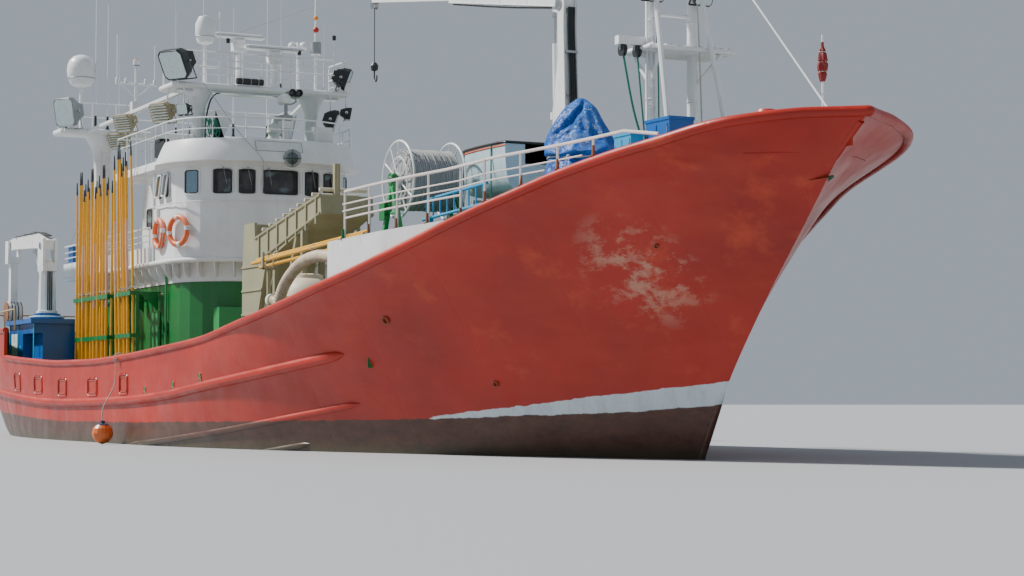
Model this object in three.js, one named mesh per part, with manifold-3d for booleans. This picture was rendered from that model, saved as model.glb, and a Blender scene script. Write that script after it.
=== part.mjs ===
// A Cantabrian tuna boat, 34 m long, built for pole-and-line and purse seine fishing, afloat.
// Millimetres. +X points to the bow, +Y to port, +Z up. The origin is amidships on the waterline.

import * as THREE from "three";
import { mergeVertices } from "three/addons/utils/BufferGeometryUtils.js";
import Module from "manifold-3d";

const wasm = await Module();
wasm.setup();

// Driving sizes

const GAP = 0.3; // between pieces that touch
const HULL = { bow: 17040, stern: -17000, half: 4150, draft: 3200, plate: 70 };
const STEP = { x: -12800, top: 2580 }; // the stern bulwark is higher aft of here
const FORECASTLE = { aft: 7500, wedgeEnd: 11100, inset: 120 };
const HOUSE = { half: 1850, nose: -4900, corner: -6500, aft: -12400, wall: 80 };
const BOAT_DECK = { half: 2120, nose: -4640, corner: -6300, aft: -14500, low: 3880, top: 3980 };
const WHEELHOUSE = { half: 2050, nose: -4610, corner: -6250, aft: -7300, wall: 80, top: 5980 };
const CABIN = { half: 1300, aft: -10500, wall: 80 };
const FLYBRIDGE = {
  half: 2150, nose: -4430, corner: -6200, aft: -9930, low: 5980, top: 6150, parapet: 6560, brim: 6060, flare: 200,
};
const RAIL_RADIUS = 21;

// Height of the rim, of the main deck and of the forecastle deck along the boat: x, z

const SHEER = [
  [-17000, 2200], [-12700, 1906], [-9750, 1771], [-7200, 1686], [-5000, 1676], [-2500, 1734],
  [0, 1844], [2200, 1967], [3800, 2155], [6200, 2483], [8200, 2841], [9700, 3201], [11000, 3580],
  [12000, 3840], [13000, 4084], [14000, 4253], [15000, 4392], [16000, 4577], [16600, 4657], [17040, 4660],
];
const MAIN_DECK = [
  [-18000, 1250], [-12400, 990], [-7000, 820], [-2400, 870], [0, 950], [3700, 1190], [6900, 1420], [9300, 1590],
];
const FORE_DECK = [[7000, 3400], [7860, 3446], [9500, 3536], [10910, 3600], [14000, 3720], [18000, 3980]];
const STEM = [
  [0, 12860], [820, 13350], [1370, 13600], [2040, 14130], [2530, 14650], [4020, 16150], [4660, 17040],
];

// Colours, roughness and metalness from the object

const paint = (color, roughness = 0.5) => new THREE.MeshStandardMaterial({ color, roughness, metalness: 0 });
const HULL_RED = paint(0xd8401f, 0.45);
const WHITE = paint(0xe9ecee, 0.4);
const GREEN = paint(0x0d6b2c, 0.4);
const BLUE = paint(0x1d6fb5, 0.45);
const PALE_BLUE = paint(0xa9c6d2, 0.6);
const OLIVE = paint(0x8b8a6c, 0.7);
const TAN = paint(0xb9a98f, 0.8);
const ORANGE = paint(0xf0662a, 0.5);
const YELLOW = paint(0xe0a021, 0.35);
const TARP = paint(0x1579cc, 0.5);
const ROPE_GREY = paint(0x9a9c9a, 0.9);
const DARK = paint(0x20262a, 0.4);
const GLASS = paint(0x3b4b50, 0.1);
const BRONZE = new THREE.MeshStandardMaterial({ color: 0xa07a3c, roughness: 0.35, metalness: 1 });
const STEEL = new THREE.MeshStandardMaterial({ color: 0x8c8f91, roughness: 0.5, metalness: 0.9 });

// Solids: closed geometries made into manifolds, joined and cut

function solid(geometry) {
  const bare = geometry.index ? geometry.toNonIndexed() : geometry.clone();
  bare.deleteAttribute("normal");
  bare.deleteAttribute("uv");
  const merged = mergeVertices(bare, 1e-2);
  const position = merged.attributes.position.array;
  const corners = [];
  for (let i = 0; i < merged.index.count; i += 3) {
    const [a, b, c] = merged.index.array.slice(i, i + 3);
    if (a !== b && b !== c && c !== a) corners.push(a, b, c);
  }
  const build = (triVerts) =>
    new wasm.Manifold(new wasm.Mesh({ numProp: 3, vertProperties: new Float32Array(position), triVerts }));
  const made = build(new Uint32Array(corners));
  if (made.volume() > 0) return made;
  const turned = new Uint32Array(corners);
  for (let i = 0; i < turned.length; i += 3) [turned[i + 1], turned[i + 2]] = [turned[i + 2], turned[i + 1]];
  return build(turned);
}

function geometryOf(manifold) {
  const mesh = manifold.getMesh();
  const count = mesh.vertProperties.length / mesh.numProp;
  const position = new Float32Array(count * 3);
  for (let i = 0; i < count; i++) {
    position.set(mesh.vertProperties.subarray(i * mesh.numProp, i * mesh.numProp + 3), i * 3);
  }
  const geometry = new THREE.BufferGeometry();
  geometry.setAttribute("position", new THREE.BufferAttribute(position, 3));
  geometry.setIndex(new THREE.BufferAttribute(new Uint32Array(mesh.triVerts), 1));
  geometry.computeVertexNormals();
  return geometry;
}

const join = (...solids) => solids.flat(2).reduce((whole, next) => whole.add(next));
const cut = (body, ...tools) => tools.flat(2).reduce((left, tool) => left.subtract(tool), body);

function box([x0, x1], [y0, y1], [z0, z1]) {
  const geometry = new THREE.BoxGeometry(x1 - x0, y1 - y0, z1 - z0);
  geometry.translate((x0 + x1) / 2, (y0 + y1) / 2, (z0 + z1) / 2);
  return solid(geometry);
}

const mirrorBoxes = (xs, [y0, y1], zs) => [box(xs, [y0, y1], zs), box(xs, [-y1, -y0], zs)];

// A round bar from one point to another, which may taper.
function rod(from, to, radius, sides = 8, endRadius = radius) {
  const a = new THREE.Vector3(...from);
  const b = new THREE.Vector3(...to);
  const geometry = new THREE.CylinderGeometry(endRadius, radius, a.distanceTo(b), sides);
  const turn = new THREE.Quaternion().setFromUnitVectors(new THREE.Vector3(0, 1, 0), b.clone().sub(a).normalize());
  geometry.applyQuaternion(turn);
  const middle = a.add(b).multiplyScalar(0.5);
  geometry.translate(middle.x, middle.y, middle.z);
  return solid(geometry);
}

// A square beam between two points; side is its width and height.
function beam(from, to, width, height = width) {
  const a = new THREE.Vector3(...from);
  const b = new THREE.Vector3(...to);
  const geometry = new THREE.BoxGeometry(a.distanceTo(b), width, height);
  const along = b.clone().sub(a).normalize();
  const across = new THREE.Vector3(0, 0, 1).cross(along);
  if (across.length() < 1e-3) across.set(0, 1, 0);
  across.normalize();
  const frame = new THREE.Matrix4().makeBasis(along, across, along.clone().cross(across));
  geometry.applyMatrix4(frame);
  const middle = a.add(b).multiplyScalar(0.5);
  geometry.translate(middle.x, middle.y, middle.z);
  return solid(geometry);
}

// Straight bars through a list of points, each a little longer than its stretch.
function bars(points, radius, sides = 5) {
  const made = [];
  for (let i = 0; i + 1 < points.length; i++) {
    const a = new THREE.Vector3(...points[i]);
    const b = new THREE.Vector3(...points[i + 1]);
    const over = b.clone().sub(a).setLength(i + 2 < points.length ? radius * 0.7 : 0);
    made.push(rod(points[i], b.add(over).toArray(), radius, sides));
  }
  return made;
}

// A plan outline extruded upwards, and a side outline (x, z) extruded across.
function upright(outline, z0, z1) {
  const shape = new THREE.Shape(outline.map(([x, y]) => new THREE.Vector2(x, y)));
  const geometry = new THREE.ExtrudeGeometry(shape, { depth: z1 - z0, bevelEnabled: false });
  geometry.translate(0, 0, z0);
  return solid(geometry);
}

function across(outline, y0, y1) {
  const shape = new THREE.Shape(outline.map(([x, z]) => new THREE.Vector2(x, z)));
  const geometry = new THREE.ExtrudeGeometry(shape, { depth: y1 - y0, bevelEnabled: false });
  geometry.rotateX(Math.PI / 2);
  geometry.translate(0, y1, 0);
  return solid(geometry);
}

// A round tube along a smooth curve through points.
function tube(points, radius, sides = 8, steps = 24) {
  const curve = new THREE.CatmullRomCurve3(points.map((p) => new THREE.Vector3(...p)), false, "centripetal");
  const ring = [];
  for (let i = 0; i < sides; i++) {
    const turn = (2 * Math.PI * i) / sides;
    ring.push(new THREE.Vector2(radius * Math.cos(turn), radius * Math.sin(turn)));
  }
  return solid(new THREE.ExtrudeGeometry(new THREE.Shape(ring), { steps, extrudePath: curve, bevelEnabled: false }));
}

// A turned solid about the vertical through a point; profile is radius, height.
function turned([x, y, z], profile, segments = 16) {
  const geometry = new THREE.LatheGeometry(profile.map(([r, h]) => new THREE.Vector2(r, h)), segments);
  geometry.rotateX(Math.PI / 2);
  geometry.translate(x, y, z);
  return solid(geometry);
}

// Closed skin through rings of equal length; each ring runs down one side and up the other.
function skin(rings) {
  const n = rings[0].length;
  const position = rings.flat(2);
  const at = (r, i) => r * n + ((i + n) % n);
  const corners = [];
  for (let r = 0; r + 1 < rings.length; r++) {
    for (let i = 0; i < n; i++) {
      corners.push(at(r, i), at(r, i + 1), at(r + 1, i), at(r, i + 1), at(r + 1, i + 1), at(r + 1, i));
    }
  }
  for (const [r, flip] of [[0, false], [rings.length - 1, true]]) {
    for (let i = 0; i + 1 < n / 2; i++) {
      const quad = [at(r, i), at(r, n - 1 - i), at(r, n - 2 - i), at(r, i + 1)];
      const [a, b, c, d] = flip ? quad.reverse() : quad;
      corners.push(a, b, c, a, c, d);
    }
  }
  const geometry = new THREE.BufferGeometry();
  geometry.setAttribute("position", new THREE.Float32BufferAttribute(position, 3));
  geometry.setIndex(corners);
  return solid(geometry);
}

function along(table, x) {
  if (x <= table[0][0]) return table[0][1];
  for (let i = 0; i + 1 < table.length; i++) {
    const [x0, z0] = table[i];
    const [x1, z1] = table[i + 1];
    if (x <= x1) return z0 + ((z1 - z0) * (x - x0)) / (x1 - x0);
  }
  return table[table.length - 1][1];
}

// Hull form: level lines from the stern to the stem. Below the waterline z is a height,
// above it a share of the rim's height. Breadth grows from the stern over the run. Forward it
// closes to the stem over the entrance as half * (1 - s ** power), blended by its rim share
// with the rim's own rounded bow.
const RIM_BOW = [
  // distance abaft the stem, half breadth
  [0, 0], [240, 300], [650, 880], [1160, 1500], [1620, 1790], [2170, 1980], [2840, 2170], [4040, 2470], [6040, 3090],
  [8040, 3650], [10040, 3980], [13040, 4120], [17040, 4150],
];
const LEVELS = [
  // z, share, stem x, stern x, half at stern, half, entrance from, power, rim share, run to, run power
  [-3200, 0, 10300, -12700, 130, 170, 6000, 2, 0, -11000, 2],
  [-2950, 0, 10900, -12750, 140, 1500, 1000, 1.7, 0, -6500, 1.7],
  [-2300, 0, 11600, -12800, 160, 3100, 500, 1.75, 0, -6500, 1.8],
  [-1500, 0, 12200, -12850, 260, 3850, 0, 1.8, 0, -6200, 2],
  [-900, 0, 12500, -13300, 800, 4030, -500, 1.8, 0, -6000, 2.2],
  [-400, 0, 12700, -15500, 2250, 4090, -800, 1.8, 0, -6000, 2.3],
  [0, 0, 12860, -16450, 2950, 4110, -1000, 1.8, 0, -6000, 2.3],
  [0, 0.25, 0, -16600, 3150, 4125, -400, 1.8, 0.04, -6500, 2.3],
  [0, 0.5, 0, -16750, 3300, 4140, 500, 1.8, 0.07, -7000, 2.3],
  [0, 0.75, 0, -16880, 3400, 4150, 1500, 1.8, 0.18, -7500, 2.3],
  [0, 0.9, 0, -16950, 3450, 4150, 2200, 1.8, 0.38, -7800, 2.3],
  [0, 1, 0, -17000, 3480, 4150, 3000, 1.8, 1, -8000, 2.3],
];

const rimHeight = (x) => along(SHEER, x);

function levelLine(level, inset = 0) {
  const [z, share, stemX, sternX, halfStern, half, from, power, rimShare, runTo, runPower] = level;
  const stem = (share ? along(STEM, share * rimHeight(HULL.bow)) : stemX) - inset * 1.6;
  const stern = sternX + inset;
  return {
    stem,
    stern,
    height: (x) => (share ? share * rimHeight(x) : z),
    breadth: (x) => {
      if (x >= stem) return 0;
      if (x > runTo) {
        const low = half * (1 - (Math.max(0, x - from) / (stem - from)) ** power);
        return ((half - inset) / half) * (low + (along(RIM_BOW, stem - x) - low) * rimShare);
      }
      const s = Math.min(1, (runTo - x) / (runTo - stern));
      return halfStern - inset + (half - halfStern) * (1 - s ** runPower);
    },
  };
}

// Stations crowd towards the bow, where the lines turn fastest.
const STATIONS = [
  0, 0.03, 0.08, 0.14, 0.2, 0.27, 0.34, 0.42, 0.5, 0.57, 0.63, 0.69, 0.74, 0.79, 0.83, 0.88, 0.916, 0.936, 0.952,
  0.966, 0.981, 0.993, 1,
];

function hullForm(inset = 0, rise = 0) {
  const lines = LEVELS.map((level) => levelLine(level, inset));
  const top = lines[lines.length - 1];
  if (rise) lines.push({ ...top, height: (x) => top.height(x) + rise });
  const rings = STATIONS.map((u) => {
    const port = lines.map((line) => {
      const x = line.stern + (line.stem - line.stern) * u;
      return [x, line.breadth(x), line.height(x)];
    });
    const starboard = port.map(([x, y, z]) => [x, -y, z]);
    return [...port.reverse(), ...starboard];
  });
  return skin(rings);
}

// Half breadth of the hull at a place along it and a height.
function sideAt(x, z) {
  const rows = LEVELS.map((level) => levelLine(level)).map((line) => [line.height(x), line.breadth(x)]);
  return along(rows, z);
}

const rimLine = levelLine(LEVELS[LEVELS.length - 1]);

// The region above a line of deck heights, between two places along the boat.
function above(table, x0, x1, lift = 0, top = 9000) {
  const inner = table.filter(([x]) => x > x0 && x < x1).map(([x, z]) => [x, z + lift]);
  const low = [[x0, along(table, x0) + lift], ...inner, [x1, along(table, x1) + lift]];
  return across([...low, [x1, top], [x0, top]], -6000, 6000);
}

function below(table, x0, x1, drop = 0, bottom = -6000) {
  const inner = table.filter(([x]) => x > x0 && x < x1).map(([x, z]) => [x, z - drop]);
  const high = [[x0, along(table, x0) - drop], ...inner, [x1, along(table, x1) - drop]];
  return across([...high, [x1, bottom], [x0, bottom]], -6000, 6000);
}

const hullSolid = hullForm();
const hullInside = hullForm(HULL.plate, 400); // rises past the rim, so that what it cuts is open

// A half round strake along both sides: centre line x, z and radius.
function strake(line, radius, steps) {
  const sides = [];
  for (const side of [-1, 1]) {
    const points = line.map(([x, z]) => [x, side * (sideAt(x, z) + radius * 0.1), z]);
    sides.push(tube(points, radius, 5, steps));
  }
  return sides;
}

const UPPER_STRAKE = [
  [-16200, 1160], [-12400, 990], [-7000, 825], [-2500, 870], [0, 955], [3130, 1210], [5400, 1440], [7000, 1630],
];
const STRAKE_RADIUS = 95;
const LOWER_STRAKE = [[-2100, -10], [-200, 100], [2640, 330], [4840, 570], [6870, 820]];
const BILGE_STRAKE = [[3710, -50], [5220, 130]];

// What the plating above the decks leaves free for the strake.
const strakeEndRoom = mirrorBoxes([6940, 7020], [sideAt(7000, 1630) - 130, sideAt(7000, 1630) + 130], [1515, 1745]);
const strakeRoom = join(strake(UPPER_STRAKE, STRAKE_RADIUS + 14, 14), strakeEndRoom);

const PROPELLER = { x: -13620, z: -2130, radius: 900 };
const RUDDER = { x: -14650, top: -760, bottom: -3150, fore: 420, aft: 1050 };

// Hatches on the fore part of the main deck: live bait tanks with hinged lids.

const HATCHES = [
  // name, x from, x to
  ["fore", 400, 1900],
  ["aft", -2100, -600],
];
const HATCH = { half: 700, coaming: 450, plate: 60 };

function hatchCoaming([, x0, x1]) {
  const z = [Math.min(along(MAIN_DECK, x0), along(MAIN_DECK, x1)) - 200, along(MAIN_DECK, x1) + HATCH.coaming];
  const { half, plate } = HATCH;
  const floor = along(MAIN_DECK, x1) + 40;
  return cut(box([x0, x1], [-half, half], z),
    box([x0 + plate, x1 - plate], [-half + plate, half - plate], [floor, z[1] + 1]));
}

function hull() {
  const mainDeckSpace = above(MAIN_DECK, -18000, FORECASTLE.aft);
  const foreDeckSpace = above(FORE_DECK, FORECASTLE.aft, 18000);
  const decked = cut(hullSolid, mainDeckSpace, foreDeckSpace);
  const skeg = across([[-10500, -3200], [-10500, -1300], [-12950, -1500], [-12950, -3200]], -130, 130);
  const sternTube = rod([-12400, 0, PROPELLER.z], [-13370, 0, PROPELLER.z], 190, 12);
  const sole = across([[-12800, -3200], [-12800, -3330], [-15050, -3330], [-15050, -3200]], -110, 110);
  const keel = across([[10200, -3150], [9800, -3330], [-12900, -3330], [-12900, -3150]], -110, 110);
  const trunk = rod([RUDDER.x, 0, -700], [RUDDER.x, 0, 300], 150, 12);
  const rims = [-1, 1].map((side) => rimTube(FORECASTLE.aft + 20, FORECASTLE.wedgeEnd + 20, 7, side));
  return join(decked, skeg, sternTube, sole, keel, trunk, rims, strake(UPPER_STRAKE, STRAKE_RADIUS, 14),
    strake(LOWER_STRAKE, 60, 6), strake(BILGE_STRAKE, 55, 3), HATCHES.map(hatchCoaming), bollards());
}

// Mushroom-headed posts on the bow, and the two pairs on the quarter.

const BOLLARDS = [
  // x, distance off the centreline, radius, height of the head
  [14800, 400, 95, 4850], [15200, 400, 95, 4880], [-15650, 2600, 110, 1750], [-15150, 2650, 110, 1750],
];

function bollards() {
  const made = [];
  for (const [x, y, radius, top] of BOLLARDS) {
    const foot = x > 0 ? along(FORE_DECK, x) : along(MAIN_DECK, x);
    const high = top - foot;
    for (const side of [-1, 1]) {
      made.push(turned([x, side * y, foot], [[0, -60], [radius, -60], [radius, high - 110],
        [radius + 55, high - 60], [radius + 55, high - 20], [radius, high], [0, high]], 10));
    }
  }
  return made;
}

// Bulwarks: the hull's own plating above the decks, under a half round rim.

function rimTube(x0, x1, steps, side) {
  const points = [];
  for (let i = 0; i <= steps; i++) {
    const x = x0 + ((x1 - x0) * i) / steps;
    points.push([x, side * (rimLine.breadth(x) - 20), rimHeight(x)]);
  }
  return tube(points, 75, 5, steps);
}

function bulwark(side) {
  const plating = hullSolid
    .subtract(hullInside)
    .intersect(above(MAIN_DECK, STEP.x + GAP, FORECASTLE.aft - GAP, GAP))
    .intersect(box([-18000, 18000], side > 0 ? [1, 6000] : [-6000, -1], [-100, 9000]));
  const posts = [];
  for (let x = -11400; x < FORECASTLE.aft - 300; x += 2400) {
    const y = side * (sideAt(x, 1300) - 130);
    posts.push(box([x - 30, x + 30], [y - 90, y + 90], [along(MAIN_DECK, x) + 60, rimHeight(x) - 20]));
  }
  const legs = join(...posts).intersect(hullSolid).intersect(above(MAIN_DECK, STEP.x + GAP, FORECASTLE.aft - GAP, GAP));
  return join(cut(join(plating, legs), strakeRoom), rimTube(STEP.x + 20, FORECASTLE.aft - 20, 14, side));
}

const BREASTHOOK = { aft: 15550, low: 4190, top: 4240 };

function bowBulwark() {
  const plating = hullSolid.subtract(hullInside);
  const points = [];
  for (const side of [-1, 1]) {
    const arm = [];
    for (let i = 0; i <= 12; i++) {
      const share = 1 - (1 - i / 12) ** 2;
      const x = FORECASTLE.wedgeEnd + 60 + (HULL.bow - 40 - FORECASTLE.wedgeEnd - 60) * share;
      arm.push([x, side * (rimLine.breadth(x) - 20), rimHeight(x)]);
    }
    points.push(...(side < 0 ? arm : arm.reverse()));
  }
  const cap = tube(points, 75, 5, 34);
  const stayEye = box([16440, HULL.bow - 380], [-15, 15], [4240, 4400]);
  const breasthook = box([BREASTHOOK.aft, HULL.bow], [-2000, 2000], [BREASTHOOK.low, BREASTHOOK.top]).intersect(hullSolid);
  return join(plating, cap, stayEye, breasthook).intersect(above(FORE_DECK, FORECASTLE.wedgeEnd + 30, 18000, GAP + 1));
}

function outlineOf(line, x0, x1, inset, steps = 14) {
  const port = [];
  for (let i = 0; i <= steps; i++) {
    const x = x0 + ((x1 - x0) * i) / steps;
    port.push([x, Math.max(1, line.breadth(x) - inset)]);
  }
  return [...port, ...port.map(([x, y]) => [x, -y]).reverse()];
}

function sternBulwark() {
  const outer = upright(outlineOf(rimLine, HULL.stern, STEP.x, 0, 6), 800, STEP.top);
  const inner = upright(outlineOf(rimLine, HULL.stern + 80, STEP.x + 500, 80, 6), 500, STEP.top + 500);
  const wall = cut(outer, inner, strakeRoom).intersect(above(MAIN_DECK, -18000, STEP.x, GAP));
  const edge = outlineOf(rimLine, HULL.stern + 30, STEP.x - 40, 20, 6).slice(0, 7);
  const arms = [-1, 1].map((side) => tube(edge.map(([x, y]) => [x, side * y, STEP.top]), 75, 5, 6));
  const y = rimLine.breadth(HULL.stern) + 30;
  return join(wall, arms, rod([HULL.stern + 20, -y, STEP.top], [HULL.stern + 20, y, STEP.top], 78, 6));
}

// The raised forecastle above the rim: a decked wedge with white sides.
function forecastleHouse() {
  const plan = upright(outlineOf(rimLine, FORECASTLE.aft, FORECASTLE.wedgeEnd, FORECASTLE.inset), 2000, 5000);
  const upper = below(FORE_DECK, FORECASTLE.aft, FORECASTLE.wedgeEnd);
  const lower = above(SHEER, FORECASTLE.aft - 10, FORECASTLE.wedgeEnd + 10, -25);
  const body = cut(plan.intersect(upper).intersect(lower), hullSolid.translate([0, 0, GAP]));
  return join(body.intersect(box([FORECASTLE.aft, 10950], [-6000, 6000], [0, 9000])), skiffChocks());
}

// Propeller and rudder

function propeller() {
  const { x, z, radius } = PROPELLER;
  const hub = turned([0, 0, 0], [[0, -230], [190, -230], [210, 0], [170, 200], [70, 330], [0, 350]], 16);
  const blades = [];
  for (let i = 0; i < 4; i++) {
    const outline = new THREE.Shape();
    outline.moveTo(120, -90);
    outline.quadraticCurveTo(radius * 0.55, -430, radius * 0.93, -260);
    outline.quadraticCurveTo(radius * 1.07, 0, radius * 0.93, 250);
    outline.quadraticCurveTo(radius * 0.55, 380, 120, 90);
    const blade = new THREE.ExtrudeGeometry(outline, { depth: 36, bevelEnabled: false, curveSegments: 5 });
    blade.translate(0, 0, -18);
    blade.rotateX(0.6);
    blade.rotateZ((i * Math.PI) / 2);
    blades.push(solid(blade));
  }
  const made = geometryOf(join(hub, blades));
  made.rotateY(-Math.PI / 2);
  made.translate(x, 0, z);
  return solid(made);
}

function rudder() {
  const { x, top, bottom, fore, aft } = RUDDER;
  const section = [];
  for (let i = 0; i <= 6; i++) {
    const s = i / 6;
    section.push([x + fore - s * (fore + aft), 120 * Math.sqrt(s + 0.01) * (1 - s) * 1.7 + 12]);
  }
  const outline = [...section, ...section.map(([a, b]) => [a, -b]).reverse()];
  const blade = upright(outline, bottom, top - 120);
  const stock = rod([x, 0, bottom - 42], [x, 0, -706], 95, 12);
  return join(blade, stock);
}

// Plan outline of a house with a rounded front.
function housePlan({ half, nose, corner, aft }, inset = 0, steps = 14) {
  const roundness = 2 / 2.3;
  const power = (v) => Math.sign(v) * Math.abs(v) ** roundness;
  const points = [[aft + inset, -half + inset]];
  for (let i = 0; i <= steps; i++) {
    const turn = -Math.PI / 2 + (Math.PI * i) / steps;
    points.push([corner + (nose - inset - corner) * power(Math.cos(turn)), (half - inset) * power(Math.sin(turn))]);
  }
  points.push([aft + inset, half - inset]);
  return points;
}

const DOOR = { width: 620, height: 1750, thick: 50 };

// Green house on the main deck: walls only, its top is the boat deck.
function deckhouse() {
  const outer = upright(housePlan(HOUSE), 600, BOAT_DECK.low - GAP);
  const inner = upright(housePlan(HOUSE, HOUSE.wall), 500, BOAT_DECK.low + 100);
  const doorHole = box([HOUSE.aft - 200, HOUSE.aft + 200], [-1250, -1250 + DOOR.width], [1250, 1250 + DOOR.height]);
  return cut(outer, inner, doorHole).intersect(above(MAIN_DECK, -18000, 2000, GAP));
}

function boatDeck() {
  const slab = upright(housePlan(BOAT_DECK), BOAT_DECK.low, BOAT_DECK.top);
  const brackets = [];
  for (let x = -12100; x <= -6600; x += 550) {
    const web = [[HOUSE.half + 10, BOAT_DECK.low + 20], [BOAT_DECK.half - 10, BOAT_DECK.low + 20], [HOUSE.half + 10, 3560]];
    for (const side of [1, -1]) {
      const shape = new THREE.Shape(web.map(([y, z]) => new THREE.Vector2(side * y, z)));
      const geometry = new THREE.ExtrudeGeometry(shape, { depth: 30, bevelEnabled: false });
      geometry.rotateX(Math.PI / 2);
      geometry.rotateZ(Math.PI / 2);
      geometry.translate(x, 0, 0);
      brackets.push(solid(geometry));
    }
  }
  const pillars = mirrorBoxes([-14300, -14200], [1750, 1850], [along(MAIN_DECK, -14250) + 40, BOAT_DECK.low + 50]);
  return join(slab, brackets, pillars, helmConsole());
}

// Low plating round the after boat deck with a rail above it.
function boatDeckBulwark() {
  const { half, aft, top } = BOAT_DECK;
  const z0 = top + GAP;
  const run = [WHEELHOUSE.aft - 30, aft];
  const sides = mirrorBoxes([run[1], run[0]], [half - 60, half], [z0, 4320]);
  const back = box([aft, aft + 60], [-half, half], [z0, 4320]);
  const y = half - 30;
  const rail = [[run[0] - 40, -y, 4760], [aft + 30, -y, 4760], [aft + 30, y, 4760], [run[0] - 40, y, 4760]];
  const posts = [];
  for (let x = run[0] - 60; x > aft; x -= 1190) {
    for (const side of [1, -1]) posts.push(rod([x, side * y, 4300], [x, side * y, 4760], RAIL_RADIUS, 5));
  }
  posts.push(rod([aft + 30, 0, 4300], [aft + 30, 0, 4760], RAIL_RADIUS, 5));
  return join(sides, back, bars(rail, RAIL_RADIUS), posts);
}

// Wheelhouse: one wall with its windows cut, a glass band inside it.

const WINDOW_Z = [5370, 5900];
const FRONT_WINDOWS = [
  // y from, y to
  [-1430, -1060], [-930, -570], [-410, 410], [570, 930], [1060, 1430],
];
const SIDE_WINDOWS = [
  // x from, x to
  [-6420, -6120], [-6880, -6580],
];

function windowTools() {
  const front = FRONT_WINDOWS.map(([y0, y1]) => box([-5600, -4300], [y0, y1], WINDOW_Z));
  const sides = SIDE_WINDOWS.flatMap(([x0, x1]) => mirrorBoxes([x0, x1], [1500, 2300], WINDOW_Z));
  const corners = [1, -1].map((side) => {
    const geometry = new THREE.BoxGeometry(900, 380, WINDOW_Z[1] - WINDOW_Z[0]);
    geometry.rotateZ(side * 0.78);
    geometry.translate(-5330, side * 1800, (WINDOW_Z[0] + WINDOW_Z[1]) / 2);
    return solid(geometry);
  });
  return [...front, ...sides, ...corners];
}

const WHEEL_DOOR = { y0: -1950, y1: -1950 + DOOR.width, z0: 4080, z1: 4080 + DOOR.height };

function wheelhouseWalls() {
  const outer = upright(housePlan(WHEELHOUSE), BOAT_DECK.top + GAP, WHEELHOUSE.top - GAP);
  const inner = upright(housePlan(WHEELHOUSE, WHEELHOUSE.wall), BOAT_DECK.top - 50, WHEELHOUSE.top + 50);
  const { y0, y1, z0, z1 } = WHEEL_DOOR;
  const doors = mirrorBoxes([WHEELHOUSE.aft - 100, WHEELHOUSE.aft + 200], [-y1, -y0], [z0, z1]);
  return cut(outer, inner, windowTools(), doors);
}

function wheelhouseGlass() {
  const inset = WHEELHOUSE.wall + 1;
  const plan = { ...WHEELHOUSE, aft: -7050 };
  const outer = upright(housePlan(plan, inset), WINDOW_Z[0] - 40, WINDOW_Z[1] + 40);
  const inner = upright(housePlan(plan, inset + 14), WINDOW_Z[0] - 90, WINDOW_Z[1] + 90);
  return cut(outer, inner, box([-7200, -6990], [-3000, 3000], [5000, 6200]));
}

function helmConsole() {
  const desk = box([-5600, -5150], [-1100, 1100], [BOAT_DECK.top - 20, 4980]);
  const top = across([[-5750, 4960], [-5100, 5160], [-5100, 5050], [-5700, 4900]], -1150, 1150);
  return join(desk, top);
}

function aftCabin() {
  const { half, aft, wall } = CABIN;
  const z = [BOAT_DECK.top + GAP, FLYBRIDGE.low - GAP];
  const front = WHEELHOUSE.aft - GAP;
  const outer = box([aft, front], [-half, half], z);
  const inner = box([aft + wall, front + 100], [-half + wall, half - wall], [z[0] - 10, z[1] + 10]);
  return cut(outer, inner);
}

function wheelhouseDoor(side) {
  const { y0, y1, z0, z1 } = WHEEL_DOOR;
  const ys = side > 0 ? [-y1, -y0] : [y0, y1];
  const leaf = box([WHEELHOUSE.aft + 6, WHEELHOUSE.aft + 6 + DOOR.thick], [ys[0] + 6, ys[1] - 6], [z0 + 6, z1 - 6]);
  const handleY = side > 0 ? ys[0] + 70 : ys[1] - 70;
  const handle = rod([WHEELHOUSE.aft + 20, handleY, z0 + 900], [WHEELHOUSE.aft - 50, handleY, z0 + 900], 14, 6);
  return join(leaf, handle);
}

function deckhouseDoor() {
  const [y0, y1] = [-1250, -1250 + DOOR.width];
  const leaf = box([HOUSE.aft + 6, HOUSE.aft + 6 + DOOR.thick], [y0 + 6, y1 - 6], [1256, 1244 + DOOR.height]);
  return join(leaf, rod([HOUSE.aft + 20, y1 - 70, 2150], [HOUSE.aft - 50, y1 - 70, 2150], 14, 6));
}

function flybridgeDeck() {
  const deck = upright(housePlan(FLYBRIDGE), FLYBRIDGE.low, FLYBRIDGE.top);
  const locker = box([-5600, -5260], [-1370, -930], [FLYBRIDGE.top - 20, 7230]);
  const [x, y] = [-5150, 310];
  const pedestal = rod([x, y, FLYBRIDGE.top - 20], [x, y, 7500], 55, 8);
  const lampBase = box([x - 130, x + 130], [y - 140, y + 130], [6880, 7190]);
  const lamp = rod([x - 180, y - 50, 7540], [x + 180, y - 50, 7540], 110, 10);
  const barrels = [80, 240].map((side) => rod([x - 150, y + side, 7680], [x + 210, y + side, 7680], 82, 8));
  const yoke = box([x - 100, x + 100], [y - 60, y + 300], [7570, 7630]);
  return join(deck, locker, pedestal, lampBase, lamp, barrels, yoke);
}

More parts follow.
